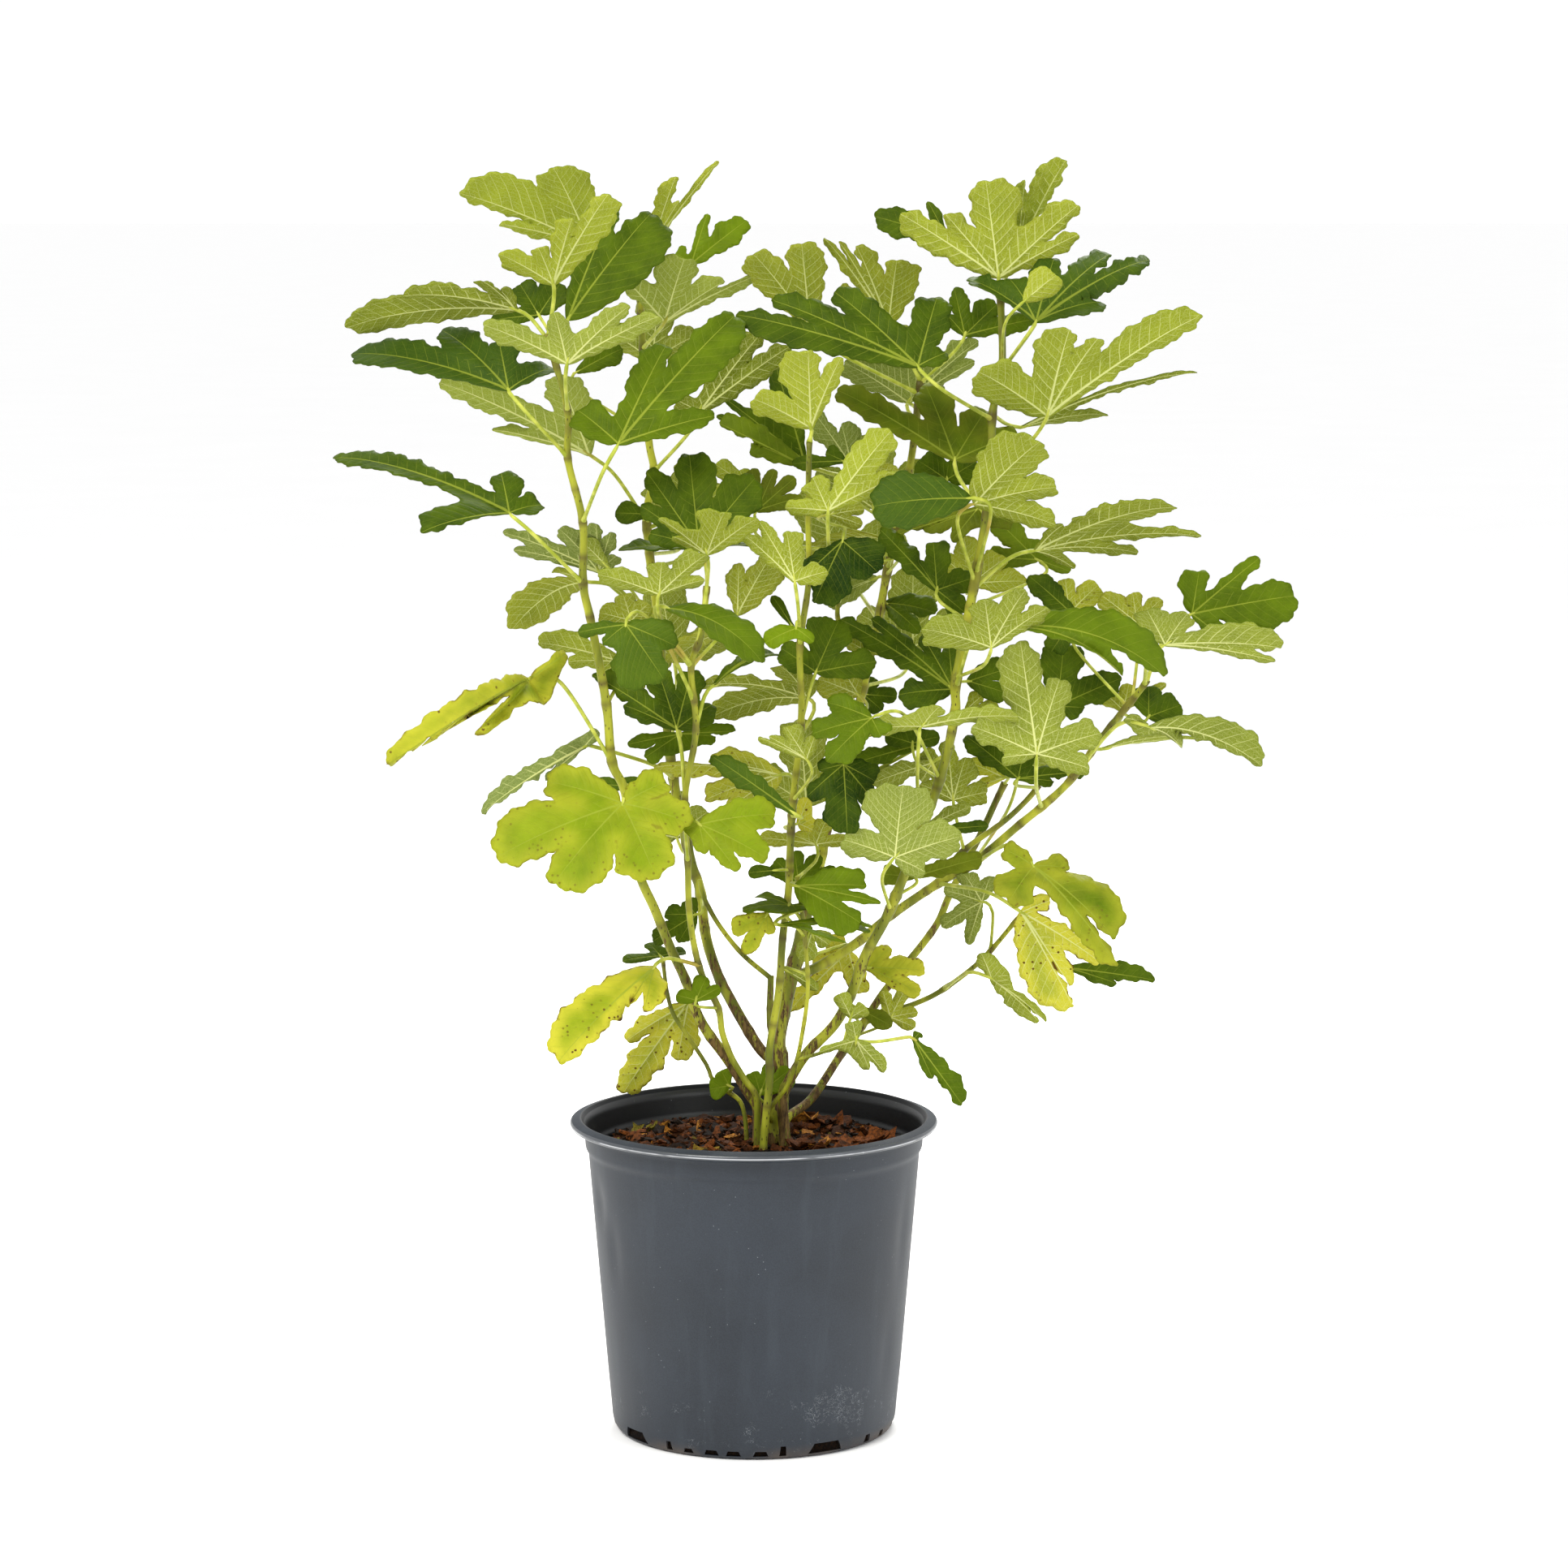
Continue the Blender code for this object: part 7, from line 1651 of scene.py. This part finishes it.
def pot_dents(radius, height, turn):
    """The thin wall is pushed in a little where it was handled and bows slightly out of round."""
    if radius < 0.09 or height < 0.02 or height > 0.228:
        return radius, height
    fade = min(1, (height - 0.02) / 0.03, (0.228 - height) / 0.02)
    push = 0.0004 * math.sin(2 * turn + 0.8) + 0.0002 * math.sin(5 * turn + 2.0)
    for bearing, level, wide, tall, deep in DENTS:
        away = math.remainder(turn - math.radians(bearing), math.tau) * radius
        push -= deep * math.exp(-(away / wide) ** 2 - ((height - level) / tall) ** 2)
    return radius + push * fade, height


# Soft dents of the wall: bearing in degrees, height, width, height of the dent and its depth in metres
DENTS = (
    (-160, 0.182, 0.011, 0.016, 0.0022),
    (-150, 0.150, 0.008, 0.022, 0.0014),
    (-22, 0.160, 0.009, 0.034, 0.0012),
    (-28, 0.070, 0.008, 0.026, 0.0008),
    (-75, 0.040, 0.007, 0.010, 0.0006),
    (70, 0.120, 0.012, 0.030, 0.0009),
)

# Drainage openings round the foot: bearing in degrees from +X, width and height in metres
DRAINS = (
    (-59.5, 0.0290, 0.0080),
    (-146, 0.0290, 0.0085),
    (-107, 0.0115, 0.0042),
    (-98, 0.0115, 0.0042),
    (-87, 0.0115, 0.0042),
    (-78, 0.0055, 0.0080),
    (-117, 0.0085, 0.0036),
    (-126, 0.0055, 0.0070),
    (-37, 0.0070, 0.0062),
    (-26, 0.0070, 0.0050),
    (-8, 0.0210, 0.0062),
    (32, 0.0290, 0.0080),
    (90, 0.0290, 0.0080),
    (150, 0.0290, 0.0080),
    (-170, 0.0085, 0.0042),
)
DRAIN_LEVEL = 0.0026


def pot_material(outside):
    """Moulded nursery plastic: matt slate outside, glossier and darker inside, scuffed and dusty, with a painted
    highlight line round the lip bead.
    """
    made, tree, shader, output = make_material("pot_plastic")
    where = place_in(tree)
    x, y, z = parts_of(tree, where)
    radius = x.work("SQRT", x * x + y * y)
    facing = parts_of(tree, node(tree, "NewGeometry").outputs["Normal"])
    inner = (facing[0] * x + facing[1] * y).fall(-0.02, 0.0)
    run = noise(tree, place_in(tree, 0.10), 60, 4, 0.6)
    cloud = noise(tree, where, 11, 4, 0.6)
    fine = noise(tree, where, 900, 3, 0.7)
    grain = cloud.rise(0.3, 0.7) * 0.6 + fine.rise(0.35, 0.65) * 0.4
    base = mix(tree, grain, tuple(value * 0.75 for value in outside), tuple(value * 1.25 for value in outside))
    base = mix(tree, run.rise(0.5, 0.75) * 0.25, base, (0.040, 0.050, 0.062))
    base = mix(tree, inner, base, (0.008, 0.009, 0.010))
    # Hairline scuffs are where a cloud of noise crosses its middle, worn through in patches near the foot
    hair = (noise(tree, where, 330, 3, 0.6) - 0.5).size().fall(0.0, 0.010)
    hair = hair.most((noise(tree, where, 150, 2) - 0.5).size().fall(0.0, 0.005))
    corner = ((x - 0.058) * (x - 0.058) * 0.35 + (z - 0.036) * (z - 0.036) * 1.4).fall(0.00005, 0.0006)
    worn = noise(tree, where, 60, 4, 0.75) + corner * 0.17 - z.rise(0.02, 0.10) * 0.14
    scratch = hair * worn.rise(0.56, 0.66) * (1 - inner)
    ticks = cells(tree, place_in(tree, 0.25), 330).fall(0.05, 0.12) * radius.rise(0.1365, 0.1385)
    speck = cells(tree, where, 260).fall(0.05, 0.12) * noise(tree, where, 70, 2).rise(0.58, 0.66)
    pale = (scratch * 0.64).most(speck * 0.45).most(ticks * 0.6)
    base = mix(tree, pale, base, (0.300, 0.320, 0.340))
    bead = radius.rise(0.1386, 0.1394)
    # A thin near-white band round the lip bead is a painted highlight, not a colour of the plastic
    painted_bead_highlight = bead * z.rise(0.2355, 0.2360) * z.fall(0.2363, 0.2368) * noise(tree, where, 40, 3).rise(0.30, 0.60)
    base = mix(tree, painted_bead_highlight * 0.60, base, (0.620, 0.640, 0.660))
    foot = z.fall(0.002, 0.012) * cloud.rise(0.40, 0.62) * 0.6
    base = mix(tree, foot, base, (0.110, 0.078, 0.052))
    feed(shader.inputs["Base Color"], base)
    feed(shader.inputs["Roughness"], 0.46 + cloud * 0.12 - inner * 0.16 - bead * 0.22)
    flange = z.rise(0.2374, 0.2380) * (1 - bead)
    feed(shader.inputs["Specular IOR Level"], 0.34 + bead * 0.60 - flange * 0.26)
    relief = fine * 0.6 + run * 0.5 - scratch
    feed(shader.inputs["Normal"], bump(tree, relief, 0.35, 0.0004))
    return made


def build_fine_pot(material):
    corners = [(r, z, fillet) for (r, z), fillet in zip(pot_profile(), POT_FILLETS)]
    line = []
    for first, second in zip(rounded(corners), rounded(corners)[1:]):
        parts = max(1, int(math.dist(first, second) / 0.008))
        line += [tuple(np.array(first) + (np.array(second) - np.array(first)) * part / parts)
                 for part in range(parts)]
    line.append(tuple(corners[-1][:2]))
    mesh = turned("nursery_pot", line, 160, pot_dents)
    pot = bpy.data.objects.new("cut_pot", mesh)
    bpy.context.scene.collection.objects.link(pot)
    cutters = bpy.data.collections.new("drains")
    bpy.context.scene.collection.children.link(cutters)
    for index, (bearing, width, height) in enumerate(DRAINS):
        turn = math.radians(bearing)
        out = Vector((math.cos(turn), math.sin(turn), 0))
        side = Vector((-math.sin(turn), math.cos(turn), 0))
        points = []
        for radius in (FOOT_RADIUS - 0.006, FOOT_RADIUS + 0.006):
            for across, rise in ((-0.5, 0), (0.5, 0), (0.36, height), (-0.36, height)):
                points.append(out * radius + side * across * width + Vector((0, 0, DRAIN_LEVEL + rise)))
        faces = [(3, 2, 1, 0), (4, 5, 6, 7), (1, 5, 4, 0), (2, 6, 5, 1), (3, 7, 6, 2), (0, 4, 7, 3)]
        cutter = mesh_object(f"drain_{index}", points, faces, cutters)
        work = bmesh.new()
        work.from_mesh(cutter.data)
        bmesh.ops.recalc_face_normals(work, faces=work.faces)
        work.to_mesh(cutter.data)
        work.free()
    boolean(pot, cutters, "DIFFERENCE", "EXACT")
    for obj in list(cutters.objects):
        bpy.data.objects.remove(obj, do_unlink=True)
    bpy.data.collections.remove(cutters)
    mesh = pot.data
    bpy.data.objects.remove(pot, do_unlink=True)
    mesh.shade_smooth()
    mesh.set_sharp_from_angle(angle=math.radians(42))
    made = finish_mesh("nursery_pot", mesh, material)
    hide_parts("pot")
    return made


def soil_height(x, y):
    """Rise of the bark mix over its level, in metres."""
    rough = 0.0016 * math.sin(173 * x + 41 * y + 1.3) * math.cos(151 * y - 67 * x)
    rough += 0.0010 * math.sin(389 * x - 211 * y + 0.4)
    heap = 0.0015 * math.exp(-((x - 0.015) ** 2 + y ** 2) / 0.0016)
    return rough + heap


def soil_material():
    """Moist bark and peat: near-black crumbs, partly painted shade for the gaps between chips, with red-brown,
    orange and olive bark and pale flecks.
    """
    made, tree, shader, output = make_material("potting_mix")
    where = place_in(tree)
    tone = attribute(tree, "chip_tone")
    grain = noise(tree, where, 520, 4, 0.7)
    clump = noise(tree, where, 70, 4, 0.6)
    # The crumbs are dark peat darkened further to near black: painted shade where the mix shows between the chips
    crumbs = mix(tree, grain.rise(0.4, 0.7), (0.002, 0.001, 0.0005), (0.014, 0.006, 0.002))
    bark = mix(tree, tone.rise(0.20, 0.60), (0.006, 0.003, 0.001), (0.066, 0.020, 0.005))
    bark = mix(tree, tone.rise(0.66, 0.80), bark, (0.165, 0.048, 0.010))
    bark = mix(tree, tone.rise(0.84, 0.88), bark, (0.420, 0.175, 0.024))
    bark = mix(tree, tone.rise(0.92, 0.94), bark, (0.170, 0.140, 0.018))
    bark = mix(tree, tone.rise(0.965, 0.985), bark, (0.330, 0.240, 0.170))
    streak = noise(tree, where, 330, 4, 0.75)
    bark = mix(tree, streak.rise(0.42, 0.62) * 0.75, bark, (0.016, 0.007, 0.003))
    feed(shader.inputs["Base Color"], mix(tree, tone.rise(0.0, 0.04), crumbs, bark))
    feed(shader.inputs["Roughness"], 0.60 + clump * 0.35)
    feed(shader.inputs["Specular IOR Level"], 0.07)
    feed(shader.inputs["Normal"], bump(tree, grain + clump + streak, 0.9, 0.0012))
    return made


def soil_section():
    """Radius of the mix against the wall at its edge and at the floor."""
    slope = (WALL_TOP - FOOT_RADIUS - 0.0005) / (0.2190 - 0.0090)
    low = FOOT_RADIUS + 0.0008 - POT_WALL - SOIL_GAP
    return low, low + slope * (SOIL_TOP - 0.006 - FLOOR_THICK)


def build_fine_soil(material):
    """The bark mix as one closed body, its top crumbled and lower along the wall."""
    low, edge = soil_section()
    line = [(edge * part / 44, SOIL_TOP) for part in range(44)]
    line += [(edge - 0.0006, SOIL_TOP - 0.005), (edge - 0.002, SOIL_TOP - 0.012)]
    line += [(low, FLOOR_THICK + 0.006), (low, FLOOR_THICK + SOIL_GAP), (0, FLOOR_THICK + SOIL_GAP)]

    def crumble(radius, height, turn):
        if height < SOIL_TOP - 0.007:
            return radius, height
        x = radius * math.cos(turn)
        y = radius * math.sin(turn)
        spot = Vector((x, y, 0))
        rise = 0.0026 * turbulence(spot * 120, 4, False) - 0.0016
        rise += 0.0030 * turbulence(spot * 34 + Vector((3, 1, 2)), 2, False) - 0.0018
        settle = 0.0035 * max(0, (radius - 0.095) / 0.028)
        return radius, height + soil_height(x, y) * 0.6 + rise - settle
    mesh = turned("potting_mix", line, 150, crumble)
    mesh.shade_smooth()
    put_attribute(mesh, "chip_tone", "FLOAT", [0.0] * len(mesh.vertices))
    made = finish_mesh("potting_mix", mesh, material)
    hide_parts("soil")
    return made


def chip_shape(name, rng, long, wide, thick, group):
    """One broken piece of bark: a split slab with rough ends."""
    work = bmesh.new()
    bmesh.ops.create_cube(work, size=1)
    bmesh.ops.subdivide_edges(work, edges=work.edges, cuts=1)
    for vert in work.verts:
        vert.co.x *= long * (1 + rng.uniform(-0.25, 0.25))
        vert.co.y *= wide * (1 + rng.uniform(-0.3, 0.3)) * (1.1 - abs(vert.co.x) / long)
        vert.co.z *= thick * (1 + rng.uniform(-0.35, 0.35))
        vert.co += Vector((rng.uniform(-1, 1), rng.uniform(-1, 1), rng.uniform(-1, 1))) * thick * 0.16
    bmesh.ops.triangulate(work, faces=work.faces)
    mesh = bpy.data.meshes.new(name)
    work.to_mesh(mesh)
    work.free()
    obj = bpy.data.objects.new(name, mesh)
    group.objects.link(obj)
    return obj


def litter_shape(name, rng, long, wide, group):
    """A dry curled scrap of leaf, thin and closed."""
    work = bmesh.new()
    rows = []
    for side in (-1, 1):
        for index in range(5):
            part = index / 4 - 0.5
            curl = rng.uniform(3.5, 6.5)
            row = []
            for across in (-0.5, 0, 0.5):
                bend = across * curl * 0.35
                spot = Vector((part * long, math.sin(bend) * wide * 0.9,
                               (1 - math.cos(bend)) * wide * 0.9 + part * part * long * 0.5))
                spot += Vector((rng.uniform(-1, 1), rng.uniform(-1, 1), rng.uniform(-1, 1))) * 0.0004
                row.append(work.verts.new(spot + Vector((0, 0, side * 0.00025))))
            rows.append(row)
    for low in list(range(4)) + list(range(5, 9)):
        for step in range(2):
            work.faces.new((rows[low][step], rows[low][step + 1], rows[low + 1][step + 1], rows[low + 1][step]))
    for low in range(4):
        for edge in (0, 2):
            work.faces.new((rows[low][edge], rows[low + 1][edge], rows[low + 6][edge], rows[low + 5][edge]))
    for end in (0, 4):
        for step in range(2):
            work.faces.new((rows[end][step], rows[end][step + 1], rows[end + 5][step + 1], rows[end + 5][step]))
    bmesh.ops.recalc_face_normals(work, faces=work.faces)
    mesh = bpy.data.meshes.new(name)
    work.to_mesh(mesh)
    work.free()
    group.objects.link(bpy.data.objects.new(name, mesh))


def scatter_tree(name, group, material):
    """Spreads a collection's shapes over a surface, with set count, sizes, tilt, tones and seed."""
    tree = bpy.data.node_groups.new(name, "GeometryNodeTree")
    sockets = {}
    for label in ("Surface", "Density", "Smallest", "Largest", "Tilt", "Tone Low", "Tone High", "Seed"):
        kind = {"Surface": "NodeSocketGeometry", "Seed": "NodeSocketInt"}.get(label, "NodeSocketFloat")
        made = tree.interface.new_socket(name=label, in_out="INPUT", socket_type=kind)
        sockets[label] = made.identifier
    tree.interface.new_socket(name="Pieces", in_out="OUTPUT", socket_type="NodeSocketGeometry")
    given = node(tree, "NodeGroupInput").outputs
    tilt = Term(given["Tilt"])
    low_turn = node(tree, "CombineXYZ", {0: tilt * -1, 1: tilt * -1, 2: 0.0})
    high_turn = node(tree, "CombineXYZ", {0: tilt, 1: tilt, 2: math.tau})
    later = Term(given["Seed"]) + 7
    turn = node(tree, "FunctionNodeRandomValue", {}, data_type="FLOAT_VECTOR")
    feed(turn.inputs[0], low_turn.outputs[0])
    feed(turn.inputs[1], high_turn.outputs[0])
    feed(turn.inputs["Seed"], later)
    size = node(tree, "FunctionNodeRandomValue", {2: given["Smallest"], 3: given["Largest"], "Seed": given["Seed"]})
    tone = node(tree, "FunctionNodeRandomValue", {2: given["Tone Low"], 3: given["Tone High"], "Seed": later})
    spread = node(tree, "GeometryNodeDistributePointsOnFaces",
                  {"Mesh": given["Surface"], "Density": given["Density"], "Seed": given["Seed"]})
    shapes = node(tree, "GeometryNodeCollectionInfo",
                  {"Collection": group, "Separate Children": True, "Reset Children": True})
    place = node(tree, "GeometryNodeInstanceOnPoints",
                 {"Points": spread.outputs["Points"], "Instance": shapes.outputs[0], "Pick Instance": True,
                  "Rotation": turn.outputs[0], "Scale": size.outputs[1]})
    keep = node(tree, "GeometryNodeStoreNamedAttribute", {"Geometry": place.outputs[0], "Name": "chip_tone"},
                data_type="FLOAT", domain="INSTANCE")
    feed(keep.inputs["Value"], tone.outputs[1])
    real = node(tree, "GeometryNodeRealizeInstances", {0: keep.outputs[0]})
    paint = node(tree, "GeometryNodeSetMaterial", {"Geometry": real.outputs[0], "Material": material})
    feed(node(tree, "NodeGroupOutput").inputs[0], paint.outputs[0])
    return tree, sockets


def scatter(name, surface, group, material, values):
    """Runs a scatter tree over a copy of the surface and gives back its plain mesh."""
    tree, sockets = scatter_tree(name, group, material)
    obj = bpy.data.objects.new(name, surface)
    bpy.context.scene.collection.objects.link(obj)
    nodes = obj.modifiers.new("spread", "NODES")
    nodes.node_group = tree
    for label, value in values.items():
        nodes[sockets[label]] = value
    bpy.context.view_layer.update()
    graph = bpy.context.evaluated_depsgraph_get()
    mesh = bpy.data.meshes.new_from_object(obj.evaluated_get(graph))
    obj.modifiers.remove(nodes)
    bpy.data.objects.remove(obj, do_unlink=True)
    return mesh


def litter_ground(soil, reach, side=-1.0):
    """The part of the mix's upper face within a reach of the axis, to the right of a line if asked."""
    work = bmesh.new()
    work.from_mesh(soil.data)
    drop = []
    for face in work.faces:
        spot = face.calc_center_median()
        if face.normal.z < 0.3 or spot.z < SOIL_TOP - 0.008 or math.hypot(spot.x, spot.y) > reach or spot.x < side:
            drop.append(face)
    bmesh.ops.delete(work, geom=drop, context="FACES")
    mesh = bpy.data.meshes.new("ground")
    work.to_mesh(mesh)
    work.free()
    return mesh


def build_bark(soil, material, count):
    """Bark chips, crumbs, dry leaf scraps and pale grit lying on the mix."""
    rng = random.Random(7)
    chips = bpy.data.collections.new("chip_shapes")
    crumbs = bpy.data.collections.new("crumb_shapes")
    scraps = bpy.data.collections.new("scrap_shapes")
    curls = bpy.data.collections.new("curl_shapes")
    for group in (chips, crumbs, scraps, curls):
        bpy.context.scene.collection.children.link(group)
    for index in range(12):
        chip_shape(f"chip_{index}", rng, rng.uniform(0.008, 0.018), rng.uniform(0.005, 0.010),
                   rng.uniform(0.0018, 0.0040), chips)
    for index in range(5):
        chip_shape(f"crumb_{index}", rng, rng.uniform(0.0022, 0.0040), rng.uniform(0.0018, 0.0030),
                   rng.uniform(0.0010, 0.0020), crumbs)
    for index in range(6):
        litter_shape(f"scrap_{index}", rng, rng.uniform(0.009, 0.018), rng.uniform(0.004, 0.007), scraps)
    for index in range(3):
        chip_shape(f"twig_{index}", rng, rng.uniform(0.014, 0.022), 0.0014, 0.0014, scraps)
    for index in range(5):
        litter_shape(f"curl_{index}", rng, rng.uniform(0.022, 0.032), rng.uniform(0.012, 0.018), curls)
    made = []
    for name, reach, side, group, amount, sizes, tilt, tones, seed in (
            ("bark_chips", 0.1130, -1, chips, count, (0.5, 1.25), 0.55, (0.06, 0.90), 3),
            ("bark_crumbs", 0.1200, -1, crumbs, count * 1.9, (0.5, 1.3), 0.9, (0.05, 1.0), 11),
            ("dry_scraps", 0.1110, -1, scraps, count * 0.12, (0.6, 1.15), 0.5, (0.60, 0.97), 23),
            ("dry_curls", 0.1000, 0.035, curls, 16, (0.6, 1.0), 0.35, (0.62, 0.92), 5)):
        surface = litter_ground(soil, reach, side)
        area = sum(polygon.area for polygon in surface.polygons)
        mesh = scatter(name, surface, group, material, {
            "Smallest": sizes[0], "Largest": sizes[1], "Tilt": tilt, "Tone Low": tones[0],
            "Tone High": tones[1], "Seed": seed, "Density": amount / area})
        piece = finish_mesh(name, mesh, material)
        for polygon in mesh.polygons:
            polygon.material_index = 0
        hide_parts("soil")
        made.append(piece)
    for group in (chips, crumbs, scraps, curls):
        for obj in list(group.objects):
            bpy.data.objects.remove(obj, do_unlink=True)
        bpy.data.collections.remove(group)
    return made


def stage_material():
    """Plain pale floor with a faint unevenness."""
    made, tree, shader, output = make_material("studio_floor")
    where = place_in(tree)
    feed(shader.inputs["Base Color"], mix(tree, noise(tree, where, 3), (0.93, 0.93, 0.93), (0.96, 0.96, 0.96)))
    feed(shader.inputs["Roughness"], 0.8)
    return made


def area_light(name, at, target, size, power, colour):
    lamp = bpy.data.lights.new(name, "AREA")
    lamp.shape = "DISK"
    lamp.size = size
    lamp.energy = power
    lamp.color = colour
    obj = bpy.data.objects.new(name, lamp)
    obj.location = at
    obj.rotation_euler = (Vector(target) - Vector(at)).to_track_quat("-Z", "Y").to_euler()
    bpy.context.scene.collection.objects.link(obj)


def build_stage(settings):
    scene = bpy.context.scene
    size = 60.0
    mesh = bpy.data.meshes.new("studio_floor")
    mesh.from_pydata([(-size, -size, -0.0004), (size, -size, -0.0004), (size, size, -0.0004),
                      (-size, size, -0.0004)], [], [(0, 1, 2, 3)])
    floor = bpy.data.objects.new("studio_floor", mesh)
    scene.collection.objects.link(floor)
    mesh.materials.append(stage_material())
    world = bpy.data.worlds.new("studio")
    world.use_nodes = True
    world.node_tree.nodes["Background"].inputs["Color"].default_value = (1.0, 1.0, 1.0, 1)
    world.node_tree.nodes["Background"].inputs["Strength"].default_value = settings.sky
    scene.world = world
    area_light("key", (-1.6, -2.4, 3.0), (0, 0, 0.55), 1.6, settings.key, (1.0, 0.985, 0.95))
    area_light("fill", (2.4, -2.2, 1.6), (0, 0, 0.5), 1.8, settings.fill, (0.95, 0.98, 1.0))
    area_light("back", (0.4, 2.2, 2.6), (0, 0, 0.7), 1.6, settings.back, (1.0, 0.99, 0.95))
    camera = bpy.data.cameras.new("photo_camera")
    camera.sensor_width = 36
    camera.lens = FOCAL / PICTURE * 36
    camera.clip_start = 0.05
    camera.clip_end = 60
    eye = bpy.data.objects.new("photo_camera", camera)
    eye.location = EYE
    eye.rotation_euler = (math.radians(90 - CAMERA_PITCH), 0, 0)
    scene.collection.objects.link(eye)
    scene.camera = eye
    scene.view_settings.view_transform = "Standard"


SHIFTS = {}


class POTTEDFIG_PG_pot(bpy.types.PropertyGroup):
    outside: bpy.props.FloatVectorProperty(
        name="Outside colour", description="Colour of the pot's matt outer wall", subtype="COLOR", size=3,
        default=(0.020, 0.025, 0.033), min=0, max=1)


class POTTEDFIG_PG_soil(bpy.types.PropertyGroup):
    chips: bpy.props.IntProperty(
        name="Bark chips", description="How many large bark chips lie on the mix", default=900, min=0,
        max=2000)


class POTTEDFIG_PG_stage(bpy.types.PropertyGroup):
    key: bpy.props.FloatProperty(
        name="Key light", description="Power of the large light at the viewer's left", default=105,
        unit="POWER", min=0)
    fill: bpy.props.FloatProperty(
        name="Fill light", description="Power of the light at the viewer's right", default=30,
        unit="POWER", min=0)
    back: bpy.props.FloatProperty(
        name="Back light", description="Power of the light behind the plant", default=95,
        unit="POWER", min=0)
    sky: bpy.props.FloatProperty(
        name="Surround", description="Strength of the even light all round", default=1.04, min=0)


class POTTEDFIG_OT_pot(bpy.types.Operator):
    """Builds the moulded pot with its rolled lip, soft dents and drainage openings"""
    bl_idname = "potted_fig.pot"
    bl_label = "Build Pot"

    def execute(self, context):
        build_fine_pot(pot_material(tuple(context.scene.potted_fig_pot.outside)))
        return {"FINISHED"}


class POTTEDFIG_OT_soil(bpy.types.Operator):
    """Builds the bark mix and scatters chips, crumbs and dry scraps over it"""
    bl_idname = "potted_fig.soil"
    bl_label = "Build Soil"

    def execute(self, context):
        material = soil_material()
        soil = build_fine_soil(material)
        build_bark(soil, material, context.scene.potted_fig_soil.chips)
        return {"FINISHED"}


class POTTEDFIG_OT_canes(bpy.types.Operator):
    """Builds the canes of every stem with their nodes and bark"""
    bl_idname = "potted_fig.canes"
    bl_label = "Build Canes"

    def execute(self, context):
        bark = bark_material()
        for name in dict.fromkeys(node_of(cane) for cane in CANES):
            build_canes(name, bark)
        return {"FINISHED"}


class POTTEDFIG_OT_stalks(bpy.types.Operator):
    """Builds the leaf stalks of every stem"""
    bl_idname = "potted_fig.stalks"
    bl_label = "Build Leaf Stalks"

    def execute(self, context):
        green = stalk_material()
        for name in dict.fromkeys(node_of(cane) for cane in CANES):
            build_stalks(name, green)
        return {"FINISHED"}


class POTTEDFIG_OT_leaves(bpy.types.Operator):
    """Builds the lobed and toothed leaves of every stem with their veins"""
    bl_idname = "potted_fig.leaves"
    bl_label = "Build Leaves"

    def execute(self, context):
        leaf = leaf_material()
        for name in dict.fromkeys(node_of(cane) for cane in CANES):
            build_leaves(name, leaf)
        return {"FINISHED"}


class POTTEDFIG_OT_stage(bpy.types.Operator):
    """Sets up the floor, the soft lights and the camera at the viewing angle"""
    bl_idname = "potted_fig.stage"
    bl_label = "Build Stage"

    def execute(self, context):
        build_stage(context.scene.potted_fig_stage)
        return {"FINISHED"}


class POTTEDFIG_PT_panel(bpy.types.Panel):
    """Lists the steps that build the potted fig and the values they use"""
    bl_label = "Potted Fig"
    bl_idname = "POTTEDFIG_PT_panel"
    bl_space_type = "VIEW_3D"
    bl_region_type = "UI"
    bl_category = "Potted Fig"

    def draw(self, context):
        layout = self.layout
        scene = context.scene
        for group, names in ((scene.potted_fig_pot, ("outside",)), (scene.potted_fig_soil, ("chips",)),
                             (scene.potted_fig_stage, ("key", "fill", "back", "sky"))):
            box = layout.box()
            for name in names:
                box.prop(group, name)
        for step in STEPS:
            layout.operator("potted_fig." + step)


STEPS = ("pot", "soil", "canes", "stalks", "leaves", "stage")
GROUPS = (("potted_fig_pot", POTTEDFIG_PG_pot), ("potted_fig_soil", POTTEDFIG_PG_soil),
          ("potted_fig_stage", POTTEDFIG_PG_stage))
OPERATORS = (POTTEDFIG_OT_pot, POTTEDFIG_OT_soil, POTTEDFIG_OT_canes, POTTEDFIG_OT_stalks,
             POTTEDFIG_OT_leaves, POTTEDFIG_OT_stage, POTTEDFIG_PT_panel)


def register():
    for name, group in GROUPS:
        bpy.utils.register_class(group)
        setattr(bpy.types.Scene, name, bpy.props.PointerProperty(type=group))
    for made in OPERATORS:
        bpy.utils.register_class(made)


def unregister():
    for made in reversed(OPERATORS):
        bpy.utils.unregister_class(made)
    for name, group in reversed(GROUPS):
        delattr(bpy.types.Scene, name)
        bpy.utils.unregister_class(group)


def main():
    register()
    SHIFTS.update((name, shift) for name, (shift, score) in lay_out().items())
    for step in STEPS:
        getattr(bpy.ops.potted_fig, step)()


if __name__ == "__main__":
    main()
